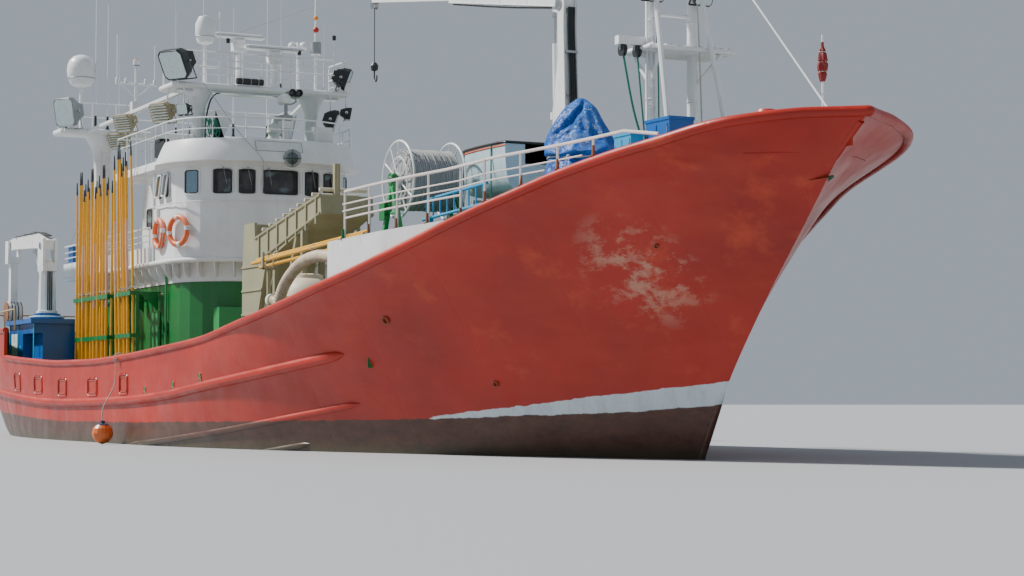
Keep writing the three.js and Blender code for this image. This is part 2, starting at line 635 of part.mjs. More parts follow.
// Front parapet of the flybridge, flared to a brim over the windows, with the rail that runs round the whole deck.
function flybridgeParapet() {
  const plan = { ...FLYBRIDGE, aft: -6700 };
  const brim = housePlan(plan, -FLYBRIDGE.flare, 15).map(([x, y]) => [x, y, FLYBRIDGE.brim]);
  const top = housePlan(plan, 20, 15).map(([x, y]) => [x, y, FLYBRIDGE.parapet]);
  const edge = upright(housePlan({ ...plan, aft: -7200 }, -GAP), FLYBRIDGE.low - 50, FLYBRIDGE.top + GAP);
  const outer = cut(skin([brim, top]), edge);
  const inner = upright(housePlan({ ...plan, aft: -6900 }, 60), FLYBRIDGE.top - 50, FLYBRIDGE.parapet + 50);
  const wall = cut(outer, inner, box([-7200, -6660], [-1900, 1900], [6000, 7000]));
  const path = housePlan({ ...FLYBRIDGE, aft: -9930 }, 40, 8).map(([x, y]) => [x, y, 7060]);
  const loop = [...path, path[0]];
  const posts = path.slice(1, -1).map(([x, y]) => rod([x, y, 6440], [x, y, 7060], RAIL_RADIUS, 5));
  const side = FLYBRIDGE.half - 40;
  for (let x = -7400; x > -9950; x -= 820) {
    for (const turn of [1, -1]) {
      posts.push(rod([x, turn * side, FLYBRIDGE.top + GAP], [x, turn * side, 7060], RAIL_RADIUS, 5));
    }
  }
  const aftX = FLYBRIDGE.aft + 40;
  for (const y of [-side, -700, 700, side]) {
    posts.push(rod([aftX, y, FLYBRIDGE.top + GAP], [aftX, y, 7060], RAIL_RADIUS, 5));
  }
  return join(wall, bars(loop, RAIL_RADIUS), posts);
}

// Radars on the fore gantry: a pedestal, and a bar that turns on it.

const RADARS = [
  // name, x, y, height of the bar's centre, half length
  ["starboard", -6600, -270, 9120, 600],
  ["port", -6050, 370, 8800, 710],
];

function radarPedestal([, x, y, z]) {
  const high = z - FORE_GANTRY.top - 85;
  return turned([x, y, FORE_GANTRY.top - 20], [[0, 0], [160, 0], [90, 140], [85, high - 170], [140, high - 120],
    [140, high + 20], [0, high + 20]], 10);
}

// Gantries over the flybridge, with their lamps and aerials.

const FORE_GANTRY = { x: -6250, post: 1340, top: 7900, half: 2020 };
const AFT_GANTRY = { x: -12100, post: 1825, top: 7480, half: 2900 };

function lamp([x, y, z], size, yaw, tilt) {
  const geometry = new THREE.BoxGeometry(size * 0.7, size, size * 0.8);
  geometry.rotateY(tilt);
  geometry.rotateZ(yaw);
  geometry.translate(x, y, z);
  return solid(geometry);
}

function foreGantry() {
  const { x, post, top, half } = FORE_GANTRY;
  const deck = box([x - 560, x + 420], [-half, half], [top - 130, top]);
  const posts = [1, -1].map((side) =>
    rod([x, side * post, FLYBRIDGE.top + GAP], [x, side * post, top - 60], 140, 12));
  const haunches = [1, -1].map((side) =>
    rod([x, side * post, top - 520], [x, side * post, top - 100], 140, 12, 330));
  const rails = [];
  for (const z of [8270, 8600]) {
    rails.push(bars([[x - 530, -half + 30, z], [x + 390, -half + 30, z], [x + 390, half - 30, z],
      [x - 530, half - 30, z]], 18));
  }
  for (const y of [-half + 30, -700, 700, half - 30]) {
    rails.push(rod([x + 390, y, top - 30], [x + 390, y, 8600], 18, 6));
  }
  for (const side of [1, -1]) {
    rails.push(rod([x - 530, side * (half - 30), top - 30], [x - 530, side * (half - 30), 8600], 18, 6));
  }
  const lamps = [
    lamp([x + 300, -half + 40, top + 330], 420, -0.5, 0.3),
    rod([x + 300, -half + 60, top - 20], [x + 300, -half + 60, top + 300], 30, 6),
    lamp([x + 330, half - 40, top + 120], 330, 0.3, 0.3),
    rod([x + 330, half - 60, top - 20], [x + 330, half - 60, top + 100], 30, 6),
  ];
  const masts = [
    rod([x, -1200, top - 20], [x, -1200, 8900], 45, 8, 35),
    turned([x, -1200, 8850], [[0, 0], [150, 30], [215, 160], [215, 420], [150, 560], [0, 620]], 12),
    rod([x, 1450, top - 20], [x, 1450, 10100], 45, 8, 30),
    turned([x, 1450, 8780], [[0, 0], [120, 0], [120, 260], [0, 260]], 10),
    rod([x - 300, 1120, top - 20], [x - 300, 1120, 8850], 30, 6),
    turned([x - 300, 1120, 8800], [[0, 0], [130, 60], [170, 160], [100, 260], [0, 280]], 10),
  ];
  return join(deck, posts, haunches, rails, lamps, masts, RADARS.map(radarPedestal));
}

function aftGantry() {
  const { x, post, top, half } = AFT_GANTRY;
  const deck = box([x - 350, x + 350], [-half, half], [top - 150, top]);
  const posts = [1, -1].map((side) =>
    rod([x, side * post, BOAT_DECK.top + GAP], [x, side * post, top - 60], 215, 12, 225));
  const lamps = [1, -1].flatMap((side) => [
    lamp([x + 150, side * (half - 120), top + 330], 480, side * 0.4, 0.35),
    rod([x + 150, side * (half - 120), top - 20], [x + 150, side * (half - 120), top + 300], 35, 6),
  ]);
  const dome = [
    rod([x - 100, -2350, top - 20], [x - 100, -2350, 8700], 50, 8),
    turned([x - 100, -2350, 8600], [[0, 0], [230, 40], [330, 200], [350, 420], [280, 620], [130, 720], [0, 740]], 18),
  ];
  const crosstree = [
    rod([x, -1000, top - 20], [x, -1000, 9150], 45, 8, 35),
    rod([x, -1520, 8700], [x, -480, 8700], 28, 6),
    rod([x, -1480, 8680], [x, -1480, 9900], 16, 6),
    rod([x, -520, 8680], [x, -520, 9700], 16, 6),
    turned([x, -1000, 9130], [[0, 0], [80, 0], [80, 160], [0, 200]], 10),
  ];
  const whips = [
    // y, top of the aerial
    [-2050, 11400], [-1750, 10600], [700, 11300], [1500, 10800], [2400, 11500],
  ].map(([y, z]) => rod([x + 120, y, top - 20], [x + 120, y, z], 22, 6, 9));
  return join(deck, posts, lamps, dome, crosstree, whips, gantryStay(-1), gantryStay(1));
}

// Sloping tubes that tie the two gantries together.
function gantryStay(side) {
  const from = [AFT_GANTRY.x + 300, side * 2300, AFT_GANTRY.top - 75];
  const to = [FORE_GANTRY.x - 575, side * 1500, FORE_GANTRY.top - 65];
  return rod(from, to, 60, 6);
}

function radarBar([, x, y, z, half]) {
  const hub = rod([x, y, z - 78], [x, y, z - 40], 90, 12);
  const bar = box([x - 90, x + 90], [y - half, y + half], [z - 60, z + 75]);
  return join(hub, bar);
}

// Fishing poles standing in their racks at the starboard side.

const POLE_RACKS = [
  // name, x from, x to, poles in a row, rows, top height, lean of the top aft
  ["aft", -11850, -9150, 9, 2, 6150, 0],
  ["fore", -8350, -7350, 4, 2, 6500, 380],
];

function poleRack([, x0, x1, count, rows, top, lean]) {
  const y = -2480;
  const z = 3280;
  const made = [
    box([x0 - 80, x1 + 80], [y - 90, y + 130], [z - 60, z + 60]),
    box([x0 - 80, x1 + 80], [y - 150, y + 150], [along(MAIN_DECK, x0) + 90, along(MAIN_DECK, x0) + 220]),
  ];
  for (const x of [x0 - 40, x1 + 40]) {
    made.push(box([x - 40, x + 40], [y + 40, y + 120], [along(MAIN_DECK, x) + GAP + 5, z + 50]));
    made.push(box([x - 30, x + 30], [y + 100, -HOUSE.half - 5], [z - 40, z + 40]));
  }
  for (let i = 0; i < count; i++) {
    for (let row = 0; row < rows; row++) {
      const x = x0 + ((x1 - x0) * (i + 0.5 * row)) / (count - 0.5);
      const high = top + 260 * Math.sin(i * 2.1 + row * 1.3);
      const py = y - 45 + row * 80;
      made.push(rod([x, py, along(MAIN_DECK, x0) + 150], [x - lean, py, high], 38, 4, 18));
    }
  }
  return join(made);
}

// Foremast: two posts, two raked legs, a lower platform and a head beam.

const FOREMAST = { x: 12000, post: 366, top: 8900, foot: 13050, footHalf: 565 };

function foremast() {
  const { x, post, top, foot, footHalf } = FOREMAST;
  const deckZ = (at) => along(FORE_DECK, at) + 10;
  const posts = [1, -1].map((side) => rod([x, side * post, deckZ(x)], [x, side * post, top], 85, 12, 75));
  const legs = [1, -1].map((side) =>
    rod([foot, side * footHalf, deckZ(foot) + 30], [x + 30, side * post, 7700], 42, 8));
  const platform = box([x - 450, x + 330], [-560, 900], [6120, 6190]);
  const arm = box([x - 60, x + 60], [-950, -300], [6200, 6330]);
  const head = box([x - 350, x + 250], [-520, 520], [7060, 7120]);
  const crosshead = box([x - 70, x + 70], [-560, 560], [8650, 8780]);
  return join(posts, legs, platform, arm, head, crosshead);
}

function forestay() {
  return rod([12080, 0, 8700], [16480, 0, 4425], 14, 6);
}

// Cranes. A crane is a fixed base, a turning column, a boom and a jib, with its cylinders.

const FORE_CRANE = { x: 8600, y: 0, base: 4150, shoulder: 4750, knuckle: 7420, tip: [560, 8850] };

function foreCraneBase() {
  const { x, y, base } = FORE_CRANE;
  const deckZ = along(FORE_DECK, x + 430) + 2;
  return turned([x, y, deckZ], [[0, 0], [430, 0], [430, 50], [300, 120], [280, base - deckZ - 60],
    [360, base - deckZ - 60], [360, base - deckZ], [0, base - deckZ]], 16);
}

function foreCraneColumn() {
  const { x, y, base, shoulder } = FORE_CRANE;
  const post = rod([x, y, base + 6], [x, y, shoulder - 230], 270, 14, 230);
  const cheeks = mirrorBoxes([x - 330, x + 230], [140, 210], [base + 120, shoulder + 150]);
  const foot = box([x - 330, x + 230], [-210, 210], [base + 60, base + 260]);
  return join(post, cheeks, foot);
}

function foreCraneBoom() {
  const { x, shoulder, knuckle } = FORE_CRANE;
  const side = [[x - 130, shoulder - 160], [x + 150, shoulder - 160], [x + 215, shoulder + 700], [x + 150, knuckle - 400],
    [x + 170, knuckle + 130], [x - 60, knuckle + 130], [x - 60, knuckle - 900], [x - 230, shoulder + 900],
    [x - 210, shoulder + 200]];
  const body = across(side, -125, 125);
  const slot = across([[x - 400, knuckle - 170], [x + 400, knuckle - 170], [x + 400, knuckle + 400],
    [x - 400, knuckle + 400]], -80, 80);
  return join(cut(body, slot), ramCheeks(RAMS.fore, 140));
}

function foreCraneJib() {
  const { x, knuckle, tip } = FORE_CRANE;
  const [tipX, tipZ] = tip;
  const head = across([[x - 330, knuckle - 60], [x - 60, knuckle - 140], [x + 140, knuckle - 90], [x + 150, knuckle + 110],
    [x - 200, knuckle + 330], [x - 420, knuckle + 280]], -74, 74);
  const root = beam([x - 150, 0, knuckle + 140], [x - 4300, 0, knuckle + 140 + 730], 230, 300);
  const reach = beam([x - 3900, 0, knuckle + 140 + 665], [tipX + 40, 0, tipZ], 150, 200);
  const nose = box([tipX - 60, tipX + 60], [-45, 45], [tipZ - 170, tipZ + 90]);
  return join(head, root, reach, nose);
}

function foreCraneHook() {
  const { tip } = FORE_CRANE;
  const [x, top] = tip;
  const z = 7500;
  return join(
    rod([x, 0, z], [x, 0, top - 172], 9, 6),
    turned([x, 0, z - 60], [[0, -60], [70, -30], [80, 60], [40, 120], [0, 130]], 10),
    tube([[x, 0, z - 100], [x, 0, z - 250], [x + 60, 0, z - 330], [x + 120, 0, z - 290], [x + 120, 0, z - 210]], 16, 6, 12),
  );
}

// A cylinder between two pins in one plane: a bored barrel with an eye, and a rod with an eye.
const RAMS = {
  fore: { y: 0, foot: [8285, 5600], eye: [8245, 7290], barrel: 62, rod: 32, share: 0.72 },
  aft: { y: -2850, foot: [-13680, 3640], eye: [-14500, 4635], barrel: 60, rod: 32, share: 0.74 },
};

function ramPoint({ foot, eye, y }, share, off = 0) {
  return [foot[0] + (eye[0] - foot[0]) * share, y + off, foot[1] + (eye[1] - foot[1]) * share];
}

function ramBarrel(ram) {
  const { barrel, rod: inner, share } = ram;
  const tubeBody = cut(rod(ramPoint(ram, 0.03), ramPoint(ram, share), barrel, 12),
    rod(ramPoint(ram, 0.09), ramPoint(ram, share + 0.02), inner + 6, 12));
  return join(tubeBody, rod(ramPoint(ram, 0, -55), ramPoint(ram, 0, 55), 60, 10));
}

function ramRod(ram) {
  return join(rod(ramPoint(ram, 0.16), ramPoint(ram, 0.98), ram.rod, 10),
    rod(ramPoint(ram, 1, -45), ramPoint(ram, 1, 45), 45, 10));
}

// Two cheeks that hold a cylinder's foot.
const ramCheeks = ({ y, foot: [fx, fz] }, reach) => [-1, 1].map((side) =>
  box([Math.min(fx - 60, fx + reach), Math.max(fx - 60, fx + reach)],
    side > 0 ? [y + 62, y + 92] : [y - 92, y - 62], [fz - 60, fz + 60]));

const AFT_CRANE = { x: -13300, y: -2850, base: 3020, shoulder: 4700, reach: -16700, elbow: 4920 };

function craneHousing() {
  const { x, y } = AFT_CRANE;
  const deckZ = along(MAIN_DECK, x);
  const body = cut(
    box([x - 1150, x + 1150], [y - 620, y + 620], [deckZ - 200, 2760]),
    box([x + 100, x + 1230], [y - 700, y - 400], [deckZ + 180, 2500]),
  ).intersect(above(MAIN_DECK, -18000, 0, GAP));
  const roof = box([x - 1250, x + 1250], [y - 720, y + 720], [2740, 2850]);
  const flange = turned([x, y, 2840], [[0, 0], [420, 0], [420, 90], [330, 130], [330, 175], [0, 175]], 16);
  return join(body, roof, flange);
}

function aftCraneColumn() {
  const { x, y, base, shoulder } = AFT_CRANE;
  const post = rod([x, y, base + 6], [x, y, shoulder - 350], 230, 12, 200);
  const cheeks = [1, -1].map((side) => box([x - 250, x + 250], [y + side * 150 - 35, y + side * 150 + 35],
    [shoulder - 500, shoulder + 170]));
  const head = box([x - 250, x + 250], [y - 180, y + 180], [shoulder - 640, shoulder - 420]);
  return join(post, cheeks, head, ramCheeks(RAMS.aft, 240));
}

function aftCraneBoom() {
  const { x, y, shoulder, reach, elbow } = AFT_CRANE;
  const side = [[x + 180, shoulder - 110], [x + 230, shoulder + 130], [x - 500, shoulder + 330], [reach + 300, elbow + 150],
    [reach - 80, elbow + 110], [reach - 80, elbow - 130], [reach + 500, elbow - 130], [x - 600, shoulder - 10]];
  return across(side, y - 110, y + 110);
}

function aftCraneJib() {
  const { y, reach, elbow } = AFT_CRANE;
  const cheeks = [1, -1].map((side) => box([reach - 170, reach + 130], [y + side * 150 - 30, y + side * 150 + 30],
    [elbow - 420, elbow + 110]));
  const yoke = box([reach - 170, reach + 130], [y - 180, y + 180], [elbow - 480, elbow - 300]);
  const arm = box([reach - 130, reach + 90], [y - 90, y + 90], [3300, elbow - 400]);
  const block = rod([reach - 20, y - 190, 3150], [reach - 20, y + 190, 3150], 300, 14);
  return join(cheeks, yoke, arm, block);
}

// Rope reel on the forecastle: a stand and a turning drum.

const REEL = { x: 8450, z: 4390, y0: -2950, y1: -2050, radius: 640 };

function reelStand() {
  const { x, z, y0, y1 } = REEL;
  const deckZ = along(FORE_DECK, x + 400) + GAP + 2;
  const made = [];
  for (const y of [y0 - 100, y1 + 100]) {
    made.push(beam([x - 330, y, deckZ + 20], [x, y, z - 60], 70), beam([x + 330, y, deckZ + 20], [x, y, z - 60], 70));
    made.push(box([x - 80, x + 80], [y - 35, y + 35], [z - 160, z + 90]));
    made.push(box([x - 400, x + 400], [y - 45, y + 45], [deckZ, deckZ + 70]));
  }
  made.push(box([x - 400, x - 330], [y0 - 100, y1 + 100], [deckZ, deckZ + 70]));
  return cut(join(made), rod([x, y0 - 300, z], [x, y1 + 300, z], 46, 12));
}

function reelDrum() {
  const { x, z, y0, y1, radius } = REEL;
  const made = [rod([x, y0 - 180, z], [x, y1 + 180, z], 40, 12), rod([x, y0 + 45, z], [x, y1 - 45, z], 500, 16)];
  for (const y of [y0, y1]) {
    const ring = new THREE.TorusGeometry(radius - 20, 20, 5, 20);
    ring.rotateX(Math.PI / 2);
    ring.translate(x, y, z);
    made.push(solid(ring));
    for (let i = 0; i < 3; i++) {
      const turn = (Math.PI * i) / 3;
      const [dx, dz] = [Math.cos(turn) * (radius - 20), Math.sin(turn) * (radius - 20)];
      made.push(rod([x - dx, y, z - dz], [x + dx, y, z + dz], 15, 4));
    }
    made.push(rod([x, y - 40, z], [x, y + 40, z], 110, 12));
  }
  return join(made);
}

// Work boat stowed on the forecastle.

const SKIFF = { x0: 7850, x1: 9900, y0: -1820, y1: -620, bottom: 4130, top: 4930 };

function skiff() {
  const { x0, x1, y0, y1, bottom, top } = SKIFF;
  const rings = (inset, floor) => {
    const made = [];
    for (const [s, narrow, lift] of [[0, 0.55, 120], [0.3, 0.95, 10], [0.7, 1, 0], [1, 0.94, 0]]) {
      const x = x0 + inset + (x1 - x0 - 2 * inset) * s;
      const half = ((y1 - y0) / 2 - inset) * narrow;
      const mid = (y0 + y1) / 2;
      const low = bottom + floor + lift;
      const high = top + (floor ? 60 : 0);
      const down = [[x, mid + half, high], [x, mid + half * 0.96, low + 350], [x, mid + half * 0.7, low + 60], [x, mid + 20, low]];
      const up = down.map(([a, b, c]) => [a, 2 * mid - b, c]).reverse();
      made.push([...down, ...up]);
    }
    return skin(made);
  };
  return cut(rings(0, 0), rings(50, 60));
}

function skiffChocks() {
  const { x0, x1, y0, y1, bottom } = SKIFF;
  const deckZ = along(FORE_DECK, x0 + 500) - 30;
  const mid = (y0 + y1) / 2;
  return [x0 + 500, x1 - 400].map((x) => box([x - 50, x + 50], [mid - 380, mid + 380], [deckZ, bottom - 8]));
}

// Covered winch on the forecastle, blue boxes by the foremast.

function tarpCover() {
  const [x, y] = [11750, -1450];
  const deckZ = along(FORE_DECK, x) + GAP + 12;
  const rows = [
    // height share, half length, half width, shift forward
    [0, 800, 640, 0], [0.3, 780, 600, 0], [0.55, 640, 480, -40], [0.8, 380, 300, 0], [1, 170, 140, 40],
  ];
  const rings = rows.map(([share, a, b, shift]) => {
    const ring = [];
    for (let i = 0; i < 12; i++) {
      const turn = (Math.PI * (i + 0.5)) / 6;
      ring.push([x + shift + a * Math.cos(turn), y + b * Math.sin(turn), deckZ + share * 1780]);
    }
    return ring;
  });
  return skin(rings).intersect(above(FORE_DECK, FORECASTLE.aft, 18000, GAP + 2));
}

const CABINETS = [
  // name, x from, x to, y from, y to, top, colour
  ["tall_cabinet", 13030, 13730, -1080, -650, 4920, BLUE],
  ["low_cabinet", 12590, 13100, -1350, -1110, 4750, PALE_BLUE],
];

const cabinet = ([, x0, x1, y0, y1, top]) => box([x0, x1], [y0, y1], [along(FORE_DECK, x1) + 12, top]);

// Rail round the forecastle.

function foreRail(side) {
  const onRim = (x) => x > FORECASTLE.wedgeEnd;
  const offCentre = (x) => side * (rimLine.breadth(x) - (onRim(x) ? 20 : 190));
  const line = [];
  for (let i = 0; i <= 9; i++) {
    const x = 7900 + (14400 - 7900) * (i / 9);
    line.push([x, offCentre(x), 4220 + (x - 7950) * 0.055]);
  }
  const lower = line.slice(0, 5).map(([x, y, z]) => [x, y, z - 430]);
  const end = [14900, offCentre(14900), 4480];
  const foot = ([x]) => (onRim(x) ? rimHeight(x) + 78 : along(FORE_DECK, x) + GAP + 4);
  const posts = line.slice(0, 9).map((p) => rod([p[0], p[1], foot(p)], p, RAIL_RADIUS, 5));
  return join(tube([...line, end], RAIL_RADIUS + 3, 6, 11), tube(lower, RAIL_RADIUS - 4, 6, 5), posts);
}

// Fish pump box and sorting chute abaft the forecastle, with its hose and tank.

function sortingChute() {
  const y = [-2750, -1750];
  const chute = across([[600, 3350], [700, 4230], [1250, 4230], [1300, 3900], [4600, 4480], [4650, 4150], [1900, 3450]], ...y);
  const trough = across([[900, 4120], [1180, 4120], [1240, 3760], [4500, 4340], [4560, 4600], [900, 4600]], y[0] + 60, y[1] - 60);
  const legs = [];
  for (const [x, top] of [[900, 3600], [2300, 3700], [3700, 4150]]) {
    for (const py of [y[0] + 50, y[1] - 50]) {
      legs.push(box([x - 50, x + 50], [py - 50, py + 50], [along(MAIN_DECK, x) + GAP + 20, top]));
    }
  }
  const brace = [beam([2350, y[0] + 50, 1700], [3400, y[0] + 50, 3850], 80), beam([2350, y[1] - 50, 1700], [3400, y[1] - 50, 3850], 80)];
  const hopper = across([[600, 2450], [1450, 2450], [1900, 3460], [600, 3460]], ...y);
  const post = box([4440, 4540], [y[0] + 300, y[0] + 400], [4300, 5050]);
  return join(cut(chute, trough), legs, brace, hopper, post);
}

function pumpTank() {
  const tank = turned([4450, -2890, along(MAIN_DECK, 4450) - 80], [[0, 0], [520, 0], [520, 1450], [430, 1720], [200, 1880],
    [0, 1900]], 16);
  return tank.intersect(above(MAIN_DECK, 0, FORECASTLE.aft, GAP + 2));
}

function suctionHose() {
  return tube([[7470, -3340, 3230], [6700, -3340, 3250], [5900, -3350, 3300], [5250, -3400, 3180],
    [4800, -3490, 2850], [4600, -3560, 2350], [4560, -3570, 1750], [4560, -3570, 1330]], 105, 8, 20);
}

function deckPoles() {
  const made = [];
  for (const [dy, dz] of [[0, 0], [-90, -60], [60, -130]]) {
    made.push(rod([2250, -3050 + dy, 3450 + dz], [7480, -3050 + dy, 3640 + dz], 32, 6));
  }
  for (const x of [2900, 6500]) {
    const z = along(MAIN_DECK, x) + GAP + 20;
    made.push(box([x - 30, x + 30], [-3200, -2930], [3250, 3560]), box([x - 30, x + 30], [-3100, -3040], [z, 3300]));
  }
  return join(made);
}

const LIFEBUOYS = [
  // name, x, y, turn to lie along the wall
  ["aft", -6640, -WHEELHOUSE.half - 67, 0],
  ["fore", -5585, -2012, 0.375],
];

function lifebuoy([, x, y, turn]) {
  const ring = new THREE.TorusGeometry(300, 65, 6, 16);
  ring.rotateX(Math.PI / 2);
  ring.rotateZ(turn);
  ring.translate(x, y, 4575);
  return solid(ring);
}

// Ball fender hung from the rim.

const FENDER = { x: -2750, z: 215, radius: 215 };

function fenderBall() {
  const y = -(sideAt(FENDER.x, 900) + FENDER.radius + 130);
  return turned([FENDER.x, y, FENDER.z], [[0, -215], [120, -180], [190, -100], [215, 0], [190, 100], [130, 170], [50, 205],
    [45, 250], [0, 250]], 16);
}

function fenderRope() {
  const y = -(sideAt(FENDER.x, 900) + FENDER.radius + 130);
  const x = FENDER.x;
  const rimY = -(rimLine.breadth(x) + 58);
  return tube([[x, y, FENDER.z + 250 + GAP], [x, y, 700], [x, rimY - 40, 1200], [x, rimY - 20, rimHeight(x) - 60]], 11, 8, 20);
}

function jackstaff() {
  return join(
    rod([15800, 120, BREASTHOOK.top + GAP + 1], [15800, 120, 5850], 22, 6, 14),
    turned([15800, 120, 5200], [[0, 0], [60, 60], [75, 300], [55, 520], [0, 560]], 10),
  );
}

function hatchLid([, x0, x1]) {
  const z = along(MAIN_DECK, x1) + HATCH.coaming;
  return box([x0 - 40, x1 + 40], [-HATCH.half - 40, HATCH.half + 40], [z + 6, z + 66]);
}

const group = new THREE.Group();

function add(name, body, material) {
  const mesh = new THREE.Mesh(geometryOf(body), material);
  mesh.name = name;
  group.add(mesh);
}

add("hull", hull(), HULL_RED);
add("bulwark_starboard", bulwark(-1), HULL_RED);
add("bulwark_port", bulwark(1), HULL_RED);
add("bulwark_bow", bowBulwark(), HULL_RED);
add("bulwark_stern", sternBulwark(), HULL_RED);
add("forecastle_house", forecastleHouse(), WHITE);
add("propeller", propeller(), BRONZE);
add("rudder", rudder(), HULL_RED);
add("deckhouse", deckhouse(), GREEN);
add("deckhouse_door", deckhouseDoor(), GREEN);
add("boat_deck", boatDeck(), WHITE);
add("boat_deck_bulwark", boatDeckBulwark(), WHITE);
add("wheelhouse_walls", wheelhouseWalls(), WHITE);
add("wheelhouse_glass", wheelhouseGlass(), GLASS);
add("wheelhouse_door_starboard", wheelhouseDoor(-1), WHITE);
add("wheelhouse_door_port", wheelhouseDoor(1), WHITE);
add("aft_cabin", aftCabin(), WHITE);
add("flybridge_deck", flybridgeDeck(), WHITE);
add("flybridge_parapet", flybridgeParapet(), WHITE);
add("fore_gantry", foreGantry(), WHITE);
add("aft_gantry", aftGantry(), WHITE);
for (const radar of RADARS) add(`radar_bar_${radar[0]}`, radarBar(radar), WHITE);
for (const rack of POLE_RACKS) add(`fishing_poles_${rack[0]}`, poleRack(rack), YELLOW);
add("foremast", foremast(), WHITE);
add("forestay", forestay(), STEEL);
add("fore_crane_base", foreCraneBase(), WHITE);
add("fore_crane_column", foreCraneColumn(), WHITE);
add("fore_crane_boom", foreCraneBoom(), WHITE);
add("fore_crane_jib", foreCraneJib(), WHITE);
add("fore_crane_hook", foreCraneHook(), DARK);
add("fore_crane_barrel", ramBarrel(RAMS.fore), WHITE);
add("fore_crane_rod", ramRod(RAMS.fore), STEEL);
add("aft_crane_housing", craneHousing(), BLUE);
add("aft_crane_column", aftCraneColumn(), WHITE);
add("aft_crane_boom", aftCraneBoom(), WHITE);
add("aft_crane_jib", aftCraneJib(), WHITE);
add("aft_crane_barrel", ramBarrel(RAMS.aft), STEEL);
add("aft_crane_rod", ramRod(RAMS.aft), STEEL);
add("rope_reel_stand", reelStand(), GREEN);
add("rope_reel_drum", reelDrum(), ROPE_GREY);
add("skiff", skiff(), PALE_BLUE);
add("tarp_cover", tarpCover(), TARP);
for (const row of CABINETS) add(row[0], cabinet(row), row[6]);
add("fore_rail_starboard", foreRail(-1), WHITE);
add("fore_rail_port", foreRail(1), WHITE);
add("sorting_chute", sortingChute(), OLIVE);
add("pump_tank", pumpTank(), TAN);
add("suction_hose", suctionHose(), TAN);
add("deck_poles", deckPoles(), YELLOW);
for (const row of LIFEBUOYS) add(`lifebuoy_${row[0]}`, lifebuoy(row), ORANGE);
add("fender_ball", fenderBall(), ORANGE);
add("fender_rope", fenderRope(), WHITE);
add("jackstaff", jackstaff(), DARK);
for (const row of HATCHES) add(`hatch_lid_${row[0]}`, hatchLid(row), GREEN);

export default group;
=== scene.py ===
"""Looks for a 34 m fishing boat afloat: a purse seiner that also fishes with poles and live bait.

Metres, +X to the bow, +Y to port, +Z up, the origin amidships on the waterline.
"""

import math

import bmesh
import bpy
from mathutils import Matrix, Vector, noise


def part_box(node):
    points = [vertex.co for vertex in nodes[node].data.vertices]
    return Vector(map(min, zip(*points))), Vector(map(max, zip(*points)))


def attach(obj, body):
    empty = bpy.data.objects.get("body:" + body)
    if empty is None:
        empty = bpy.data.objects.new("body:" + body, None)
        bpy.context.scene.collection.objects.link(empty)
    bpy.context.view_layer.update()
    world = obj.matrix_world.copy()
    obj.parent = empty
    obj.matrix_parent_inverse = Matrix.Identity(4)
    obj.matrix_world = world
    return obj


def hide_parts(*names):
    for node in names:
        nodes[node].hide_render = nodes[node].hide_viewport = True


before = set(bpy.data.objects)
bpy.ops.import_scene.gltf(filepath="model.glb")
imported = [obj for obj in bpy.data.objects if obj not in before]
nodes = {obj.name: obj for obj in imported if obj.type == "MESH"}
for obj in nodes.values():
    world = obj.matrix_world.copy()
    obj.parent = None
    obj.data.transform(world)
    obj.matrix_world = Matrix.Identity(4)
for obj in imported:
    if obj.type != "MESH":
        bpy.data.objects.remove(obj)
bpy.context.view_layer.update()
scene = bpy.context.scene

# Camera and light

CAMERA_PLACE = (40.585, -17.096, 0.864)
CAMERA_TURN = (math.radians(92.93), 0.0, math.radians(63.28))
CAMERA_LENS = 77.55
SKY_COLOR = (0.78, 0.88, 1.0, 1)
SKY_STRENGTH = 0.45
KEY_COLOR = (1.0, 0.96, 0.9)
KEY_ENERGY = 7.0
KEY_WIDTH = math.radians(4)
KEY_WAY = (0.5, 0.55, -0.75)
FLOOR_HALF = 400
FLOOR_COLOR = (0.36, 0.38, 0.4, 1)
FLOOR_ROUGHNESS = 0.8


def make_camera():
    """The camera at the photo's place and angle."""
    data = bpy.data.cameras.new("camera")
    data.lens = CAMERA_LENS
    data.sensor_width = 36
    data.clip_end = 500
    camera = bpy.data.objects.new("camera", data)
    camera.location = CAMERA_PLACE
    camera.rotation_euler = CAMERA_TURN
    scene.collection.objects.link(camera)
    scene.camera = camera


def make_light():
    """A soft even sky and one wide sun."""
    world = bpy.data.worlds.new("studio")
    scene.world = world
    world.use_nodes = True
    sky = world.node_tree.nodes["Background"]
    sky.inputs["Color"].default_value = SKY_COLOR
    sky.inputs["Strength"].default_value = SKY_STRENGTH
    key = bpy.data.lights.new("key", "SUN")
    key.energy = KEY_ENERGY
    key.angle = KEY_WIDTH
    key.color = KEY_COLOR
    lamp = bpy.data.objects.new("key", key)
    lamp.rotation_euler = Vector(KEY_WAY).to_track_quat("-Z", "Y").to_euler()
    scene.collection.objects.link(lamp)


def make_floor():
    """A plain pale floor that stands for the water's surface."""
    mesh = bpy.data.meshes.new("floor")
    corners = [(x * FLOOR_HALF, y * FLOOR_HALF, 0) for x, y in ((-1, -1), (1, -1), (1, 1), (-1, 1))]
    mesh.from_pydata(corners, [], [(0, 1, 2, 3)])
    floor = bpy.data.objects.new("floor", mesh)
    scene.collection.objects.link(floor)
    material = bpy.data.materials.new("floor")
    material.use_nodes = True
    shader = material.node_tree.nodes["Principled BSDF"]
    shader.inputs["Base Color"].default_value = FLOOR_COLOR
    shader.inputs["Roughness"].default_value = FLOOR_ROUGHNESS
    mesh.materials.append(material)


make_camera()
make_light()
make_floor()


# Materials. All of them read the object's own coordinates, which are metres in the boat's frame.


